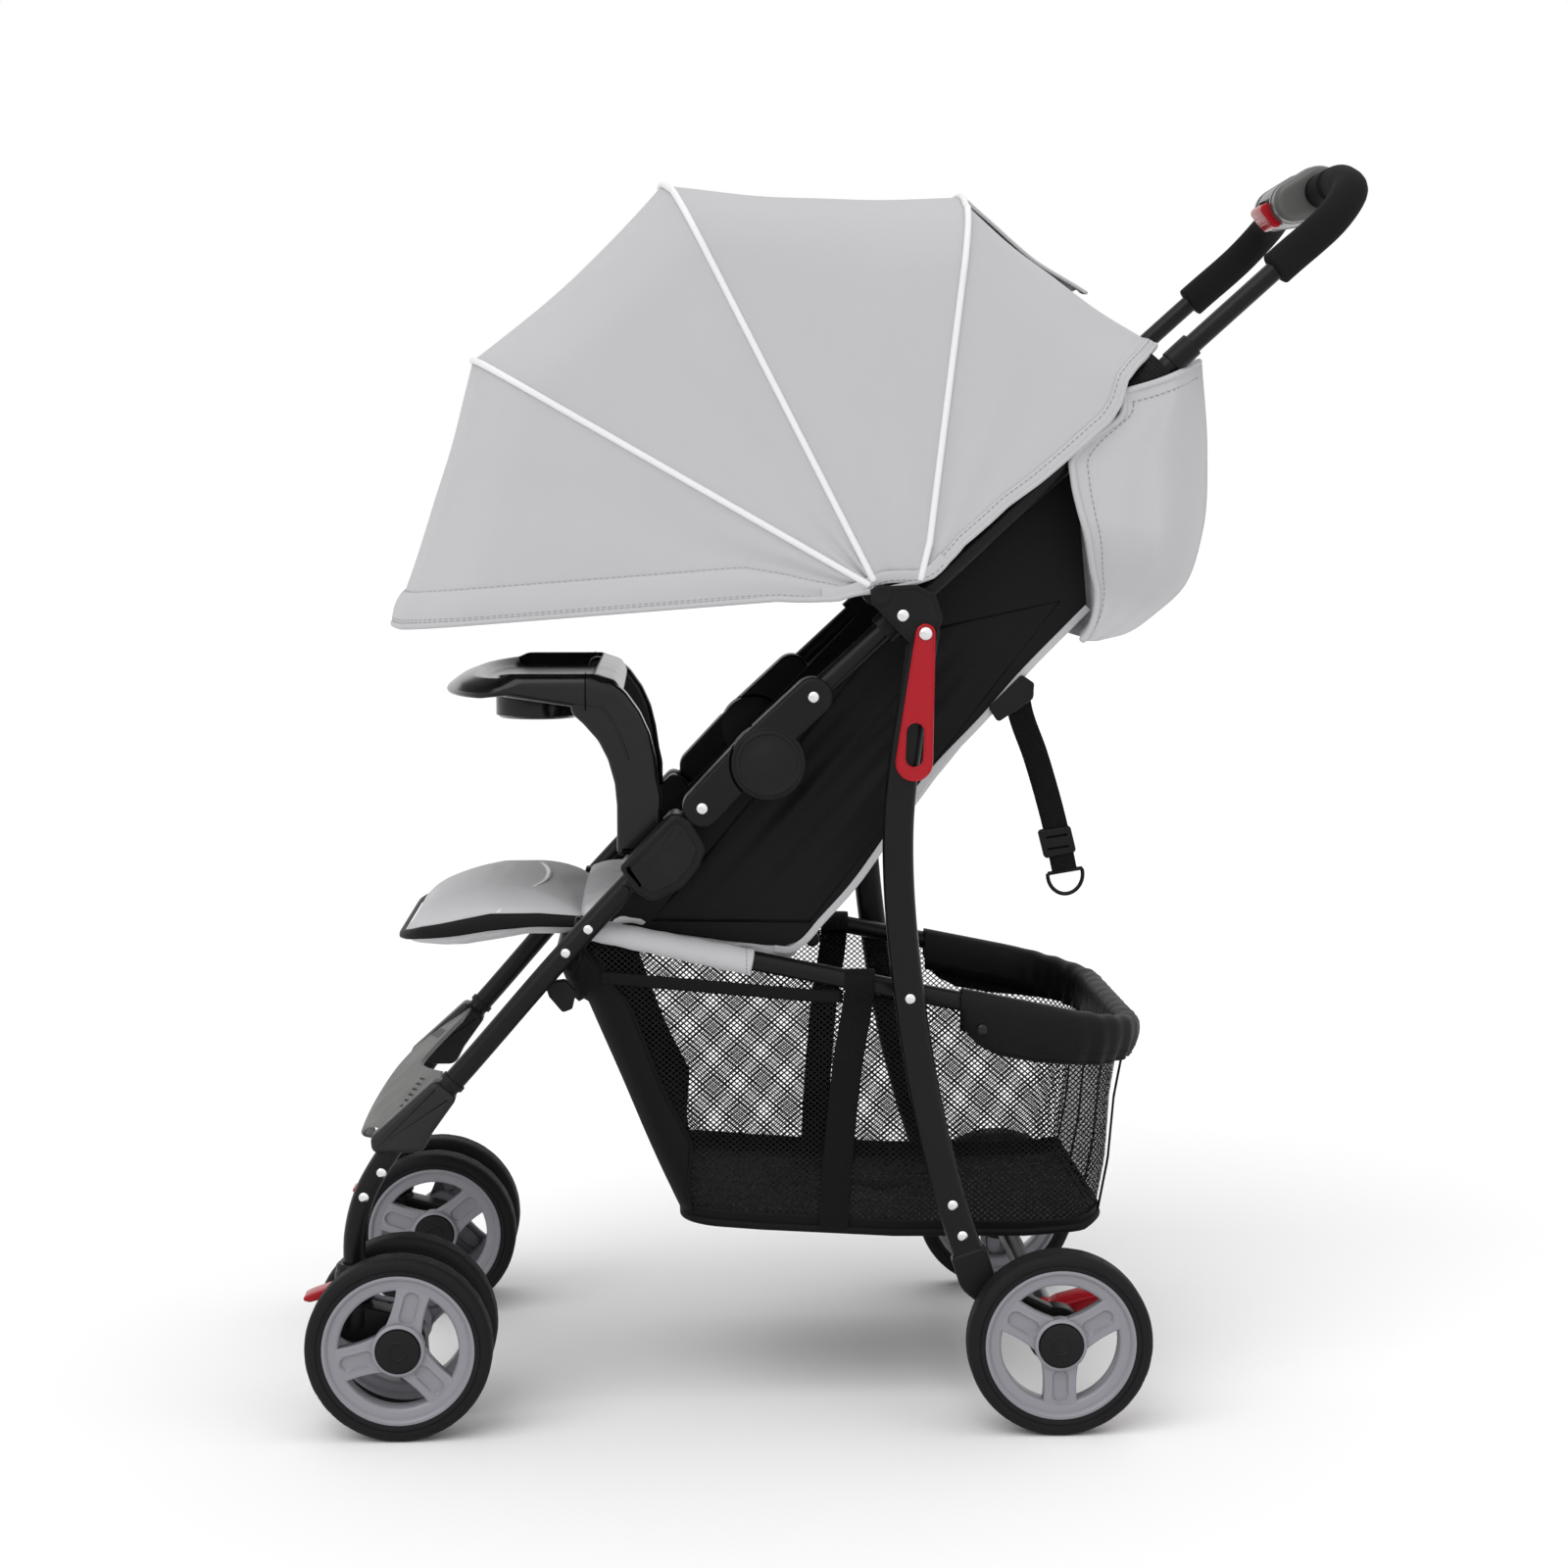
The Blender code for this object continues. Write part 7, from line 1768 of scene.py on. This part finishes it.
def basketSide(x, z, side, grow):
    # Points on the basket's long side at given x and z.
    level = (basketTop(x) - z) / (basketTop(x) - np.interp(x, *basketShape["floor"]))
    return np.stack([x, side * (basketHalf(np.clip(level, 0, 1)) + grow), z], -1)


def makeBasket():
    rings = np.stack([basketRing(v) for v in np.linspace(0, 1, 36)])
    rings = np.concatenate([rings, rings[:, :1]], 1)
    # The net's pattern stands upright: u is the run round each ring from the rear's middle, less the run to
    # one post on the long side, and v is the height, so the diamonds don't lean with the rings.
    run = np.concatenate([np.zeros((36, 1)),
        np.cumsum(np.linalg.norm(np.diff(rings[..., :2], axis=1), axis=2), 1)], 1)
    around = np.abs(run - run[:, -1:] / 2)
    post = np.array([np.interp(-0.05, r[:160, 0], a[:160]) for r, a in zip(rings, around)])
    spread = np.stack([(around - post[:, None]) * 0.91, rings[..., 2] * 1.065], 2)
    net, size = clothSheet("basketNet", rings, "net", "seat_rail", 0.0006, spread)
    stands(net, "black_cloth", "basket")
    # The floor is a cloth tray with a low lip; the net stands on it.
    lip = np.stack([basketRing(v, 0.001) for v in np.linspace(0.945, 1.0, 6)])
    base = lip[-1]
    middle = base.mean(0)
    inward = np.stack([middle + (base - middle) * s for s in (0.96, 0.85, 0.6, 0.3, 0.02)])
    inward[:, :, 2] = np.interp(inward[:, :, 0], *basketShape["floor"]) - 0.001
    tub = np.concatenate([lip, inward])
    tub = np.concatenate([tub, tub[:, :1]], 1)
    hungSheet("basketFloor", tub, "blackCloth", "seat_rail", 0.0014)
    edge = basketRing(1.0, 0.0012)
    edge = np.vstack([edge, edge[:2]])
    tube("basketFloorEdge", edge, 0.0036, "blackCloth", "seat_rail", normal=(0, 0, 1), sides=12)
    rows = []
    for v in np.linspace(0.0, 0.97, 26):
        reach = float(np.interp(v, *basketShape["apron"]))
        rows.append(ringPart(v, -reach, reach, 0.0018))
    apron = np.stack(rows)
    folds = 0.0011 * np.sin(np.linspace(0, 9, 26))[:, None] * np.sin(np.linspace(0, 2 * math.pi,
        60))[None] ** 2
    apron[..., 0] -= folds
    hungSheet("basketApron", apron, "blackCloth", "seat_rail", 0.0012)
    for side in sides:
        name = sideNames[side]
        edge = apron[:, 0] if side == near else apron[:, -1]
        tube(f"apronEdge_{name}", edge, 0.0014, "webbing", "seat_rail", sides=8)
        # A tape crosses the net below the rail, from the apron to the side strap.
        x = np.linspace(-0.192, 0.006, 60)
        line = np.interp(x, [-0.1833, -0.0115], [0.364, 0.348])
        tape = np.stack([basketSide(x, line + dz, side, 0.0014) for dz in np.linspace(-0.0052, 0.0052, 5)])
        hungSheet(f"basketTape_{name}", tape, "blackCloth", "seat_rail", 0.0012)
        # The strap loops over the rail and runs down to the floor.
        x, rail = 0.0195, railZ(0.0195)
        turn = np.radians([215, 180, 140, 90, 40, 0, -20])
        loop = np.stack([np.full(7, x), side * (railY + 0.0098 * np.cos(turn)), rail + 0.0098 * np.sin(turn)],
            1)
        z = np.array([0.341, 0.29, 0.2466, 0.206, 0.17, 0.15])
        fall = basketSide(np.array([0.018, 0.01, 0.0058, 0.0026, 0.0006, 0.0002]), z, side, 0.004)
        path = curveThrough(np.vstack([loop, fall]), 90)
        webStrip(f"basketStrap_{name}", path, 0.0245, (1, 0, 0), "webbing", "seat_rail", 0.0016)
        for key, y, wide in (("mid", 0.045, 0.0075), ("corner", 0.128, 0.006)):
            levels = np.linspace(0.02, 0.98, 24)
            back = np.array([np.interp(v, *basketShape["backs"]) for v in levels]) + 0.0016
            down = basketTop(back) + (np.interp(back, *basketShape["floor"]) - basketTop(back)) * levels
            path = np.stack([back, np.full(24, side * y), down], 1)
            webStrip(f"basketRear_{key}_{name}", path, wide, (0, 1, 0), "webbing", "seat_rail",
                0.0014)
        block = arcCorners([(-0.237, 0.362), (-0.22, 0.364), (-0.211, 0.354), (-0.214, 0.34), (-0.222, 0.337),
            (-0.233, 0.35)], 0.003)
        slab(f"basketClip_{name}", block, side * 0.169, side * 0.178, "plastic", "seat_rail",
            edge=0.0015)
    # The cover wraps the rail: a skirt outside, over the top, and an inner skirt; gathered in the rear bends.
    out = railR + 0.0019
    path = railPath(railY + out, 0.103, railEndX + out, railCorner + out, 80, 36, 40)
    rise = np.array([-0.036, -0.033, -0.026, -0.018, -0.01, -0.003, 0.003, 0.0072, 0.0098, 0.0104, 0.0094,
        0.0062, 0.0, -0.008, -0.017, -0.026])
    push = np.array([-0.0066, -0.0054, -0.003, -0.001, 0.0004, 0.0008, 0.0004, -0.0016, -0.0052, -0.0098,
        -0.0142, -0.0174, -0.0192, -0.0196, -0.0192, -0.0184])
    drop = np.interp(path[:, 0], [0.103, 0.1072, 0.1169, 0.1338, 0.166, 0.2264, 0.252],
        [0.35, 0.62, 0.88, 1.03, 1.02, 0.8, 0.64])
    tangent = unit(np.gradient(path, axis=0))
    outward = unit(np.cross(tangent, [0, 0, 1.0]))
    run = runAlong(path)
    bend = smooth((path[:, 0] - 0.185) / 0.04) * (0.4 + 0.6 * smooth((np.abs(path[:, 1]) - 0.06) / 0.06))
    pleat = (0.0012 * np.sin(run * 330) + 0.0007 * np.sin(run * 205 + 1)) * bend
    slack = np.clip(-rise / 0.036, 0, 1)[:, None]
    offset = push[:, None] + pleat[None] * (0.35 + slack) + 0.0008 * np.sin(run * 60)[None] * slack
    height = np.where(rise[:, None] < 0, rise[:, None] * np.where(np.arange(16)[:, None] < 6, drop[None],
        1.0), rise[:, None])
    height = height + 0.0006 * np.sin(run * 240)[None] * bend[None] * (1 - slack)
    grid = path[None] + outward[None] * offset[:, :, None] + np.array([0, 0, 1.0]) * height[:, :, None]
    cover, size = clothSheet("rimCover", grid, "blackPad", "seat_rail", 0.0016)
    stands(cover, "black_cloth", "basket_rim_cover")
    tube("rimCoverEdge", grid[0], 0.0014, "blackPad", "seat_rail", normal=(0, 0, 1), sides=8)
    tube("rimCoverFold", sheetRow(grid, 0.13) + outward * 0.0006, 0.0007, "blackPad", "seat_rail",
        normal=(0, 0, 1), sides=8)
    tube("rimCoverFront", grid[:8, 0], 0.0016, "blackPad", "seat_rail", sides=8)
    snaps = [(0.1193, 0.3215, side * (railY + out + 0.0008)) for side in sides]
    rivets("coverSnaps", snaps, "seat_rail", 0.0046, "gloss")


def makePanels():
    for side in sides:
        name = sideNames[side]
        outline = arcCorners(panelOutline, 0.009)
        panel = slab(f"sidePanel_{name}", outline, side * 0.1504, side * 0.1526, "blackPad", "seat_back",
            edge=0.0008)
        stands(panel, "black_cloth", f"side_panel_{name}")
        line = curveThrough(stripLine, 90)
        across = np.stack([-np.gradient(line[:, 1]), np.zeros(90), np.gradient(line[:, 0])], 1)
        strip = webStrip(f"panelEdge_{name}", atSide(line, side * 0.1536), 0.006, unit(across), "greyCloth",
            "seat_back", 0.0016)
        # Long soft folds lie on the panel: shallow ridges from the recline edge towards the bight.
        low, high = np.array([(-0.15, 0.408), (-0.02, 0.406)]), np.array([(0.04, 0.639), (0.185, 0.67)])
        s, t = np.linspace(0, 1, 70)[:, None], np.linspace(0, 1, 50)[None]
        first = low[0] + (high[0] - low[0]) * s
        last = low[1] + (high[1] - low[1]) * s
        flat = first[:, None] * (1 - t[..., None]) + last[:, None] * t[..., None]
        fade = (np.sin(math.pi * s) * np.sin(math.pi * t)) ** 0.6
        wave = 0.0016 * np.sin(15 * t + 3.0 * s + 1.5 * np.sin(4 * s)) + 0.0009 * np.sin(31 * t - 6 * s)
        grid = np.stack([flat[..., 0], side * (0.1524 + fade * (0.0024 + wave)), flat[..., 1]], 2)
        hungSheet(f"panelFolds_{name}", grid, "blackPad", "seat_back", 0.0008)


makeSeat()
makeHarness()
makeStrap()
makeCanopy()
makeBag()
makeBasket()
# The basket's cloth pieces each get a mesh of their own.
gathered = ("basketNet", "basketFloor", "basketApron", "apronEdge", "basketTape", "basketStrap",
    "basketRear")
for piece in list(bpy.data.objects):
    if piece.name.startswith(gathered):
        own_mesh(piece)
makePanels()
print("soft pieces made")


def makeStudio():
    world = bpy.data.worlds.new("studio")
    bpy.context.scene.world = world
    world.use_nodes = True
    tree = world.node_tree
    back = tree.nodes["Background"]
    back.inputs[0].default_value = (1, 1, 1, 1)
    rays = tree.nodes.new("ShaderNodeLightPath")
    plain = mathNode(tree, "MAXIMUM", rays.outputs["Is Camera Ray"],
        mathNode(tree, "MAXIMUM", rays.outputs["Is Glossy Ray"], rays.outputs["Is Transmission Ray"]))
    strength = mathNode(tree, "MULTIPLY_ADD", plain, 1 - studio["world"])
    strength.node.inputs[2].default_value = studio["world"]
    tree.links.new(strength, back.inputs[1])
    mesh = bpy.data.meshes.new("floor")
    s = 400.0
    mesh.from_pydata([(-s, -s, 0), (s, -s, 0), (s, s, 0), (-s, s, 0)], [], [(0, 1, 2, 3)])
    floor = bpy.data.objects.new("floor", mesh)
    bpy.context.scene.collection.objects.link(floor)
    white = newMaterial("floorWhite", Roughness=1.0, Specular_IOR_Level=0.0,
        Base_Color=(studio["floorWhite"],) * 3 + (1,))[0]
    mesh.materials.append(white)
    for name, place, spread in (("key", (-0.55, -0.8, 1.0), 50), ("fill", (0.9, -1.0, 0.55), 90),
            ("top", (0.15, 0.25, 1.0), 80)):
        data = bpy.data.lights.new(name, "SUN")
        data.energy, data.angle = studio[name], math.radians(spread)
        lamp = bpy.data.objects.new(name, data)
        bpy.context.scene.collection.objects.link(lamp)
        lamp.rotation_euler = Vector(place).to_track_quat("Z", "Y").to_euler()
    bpy.context.scene.view_settings.view_transform = "Standard"


makeStudio()
print("studio made")
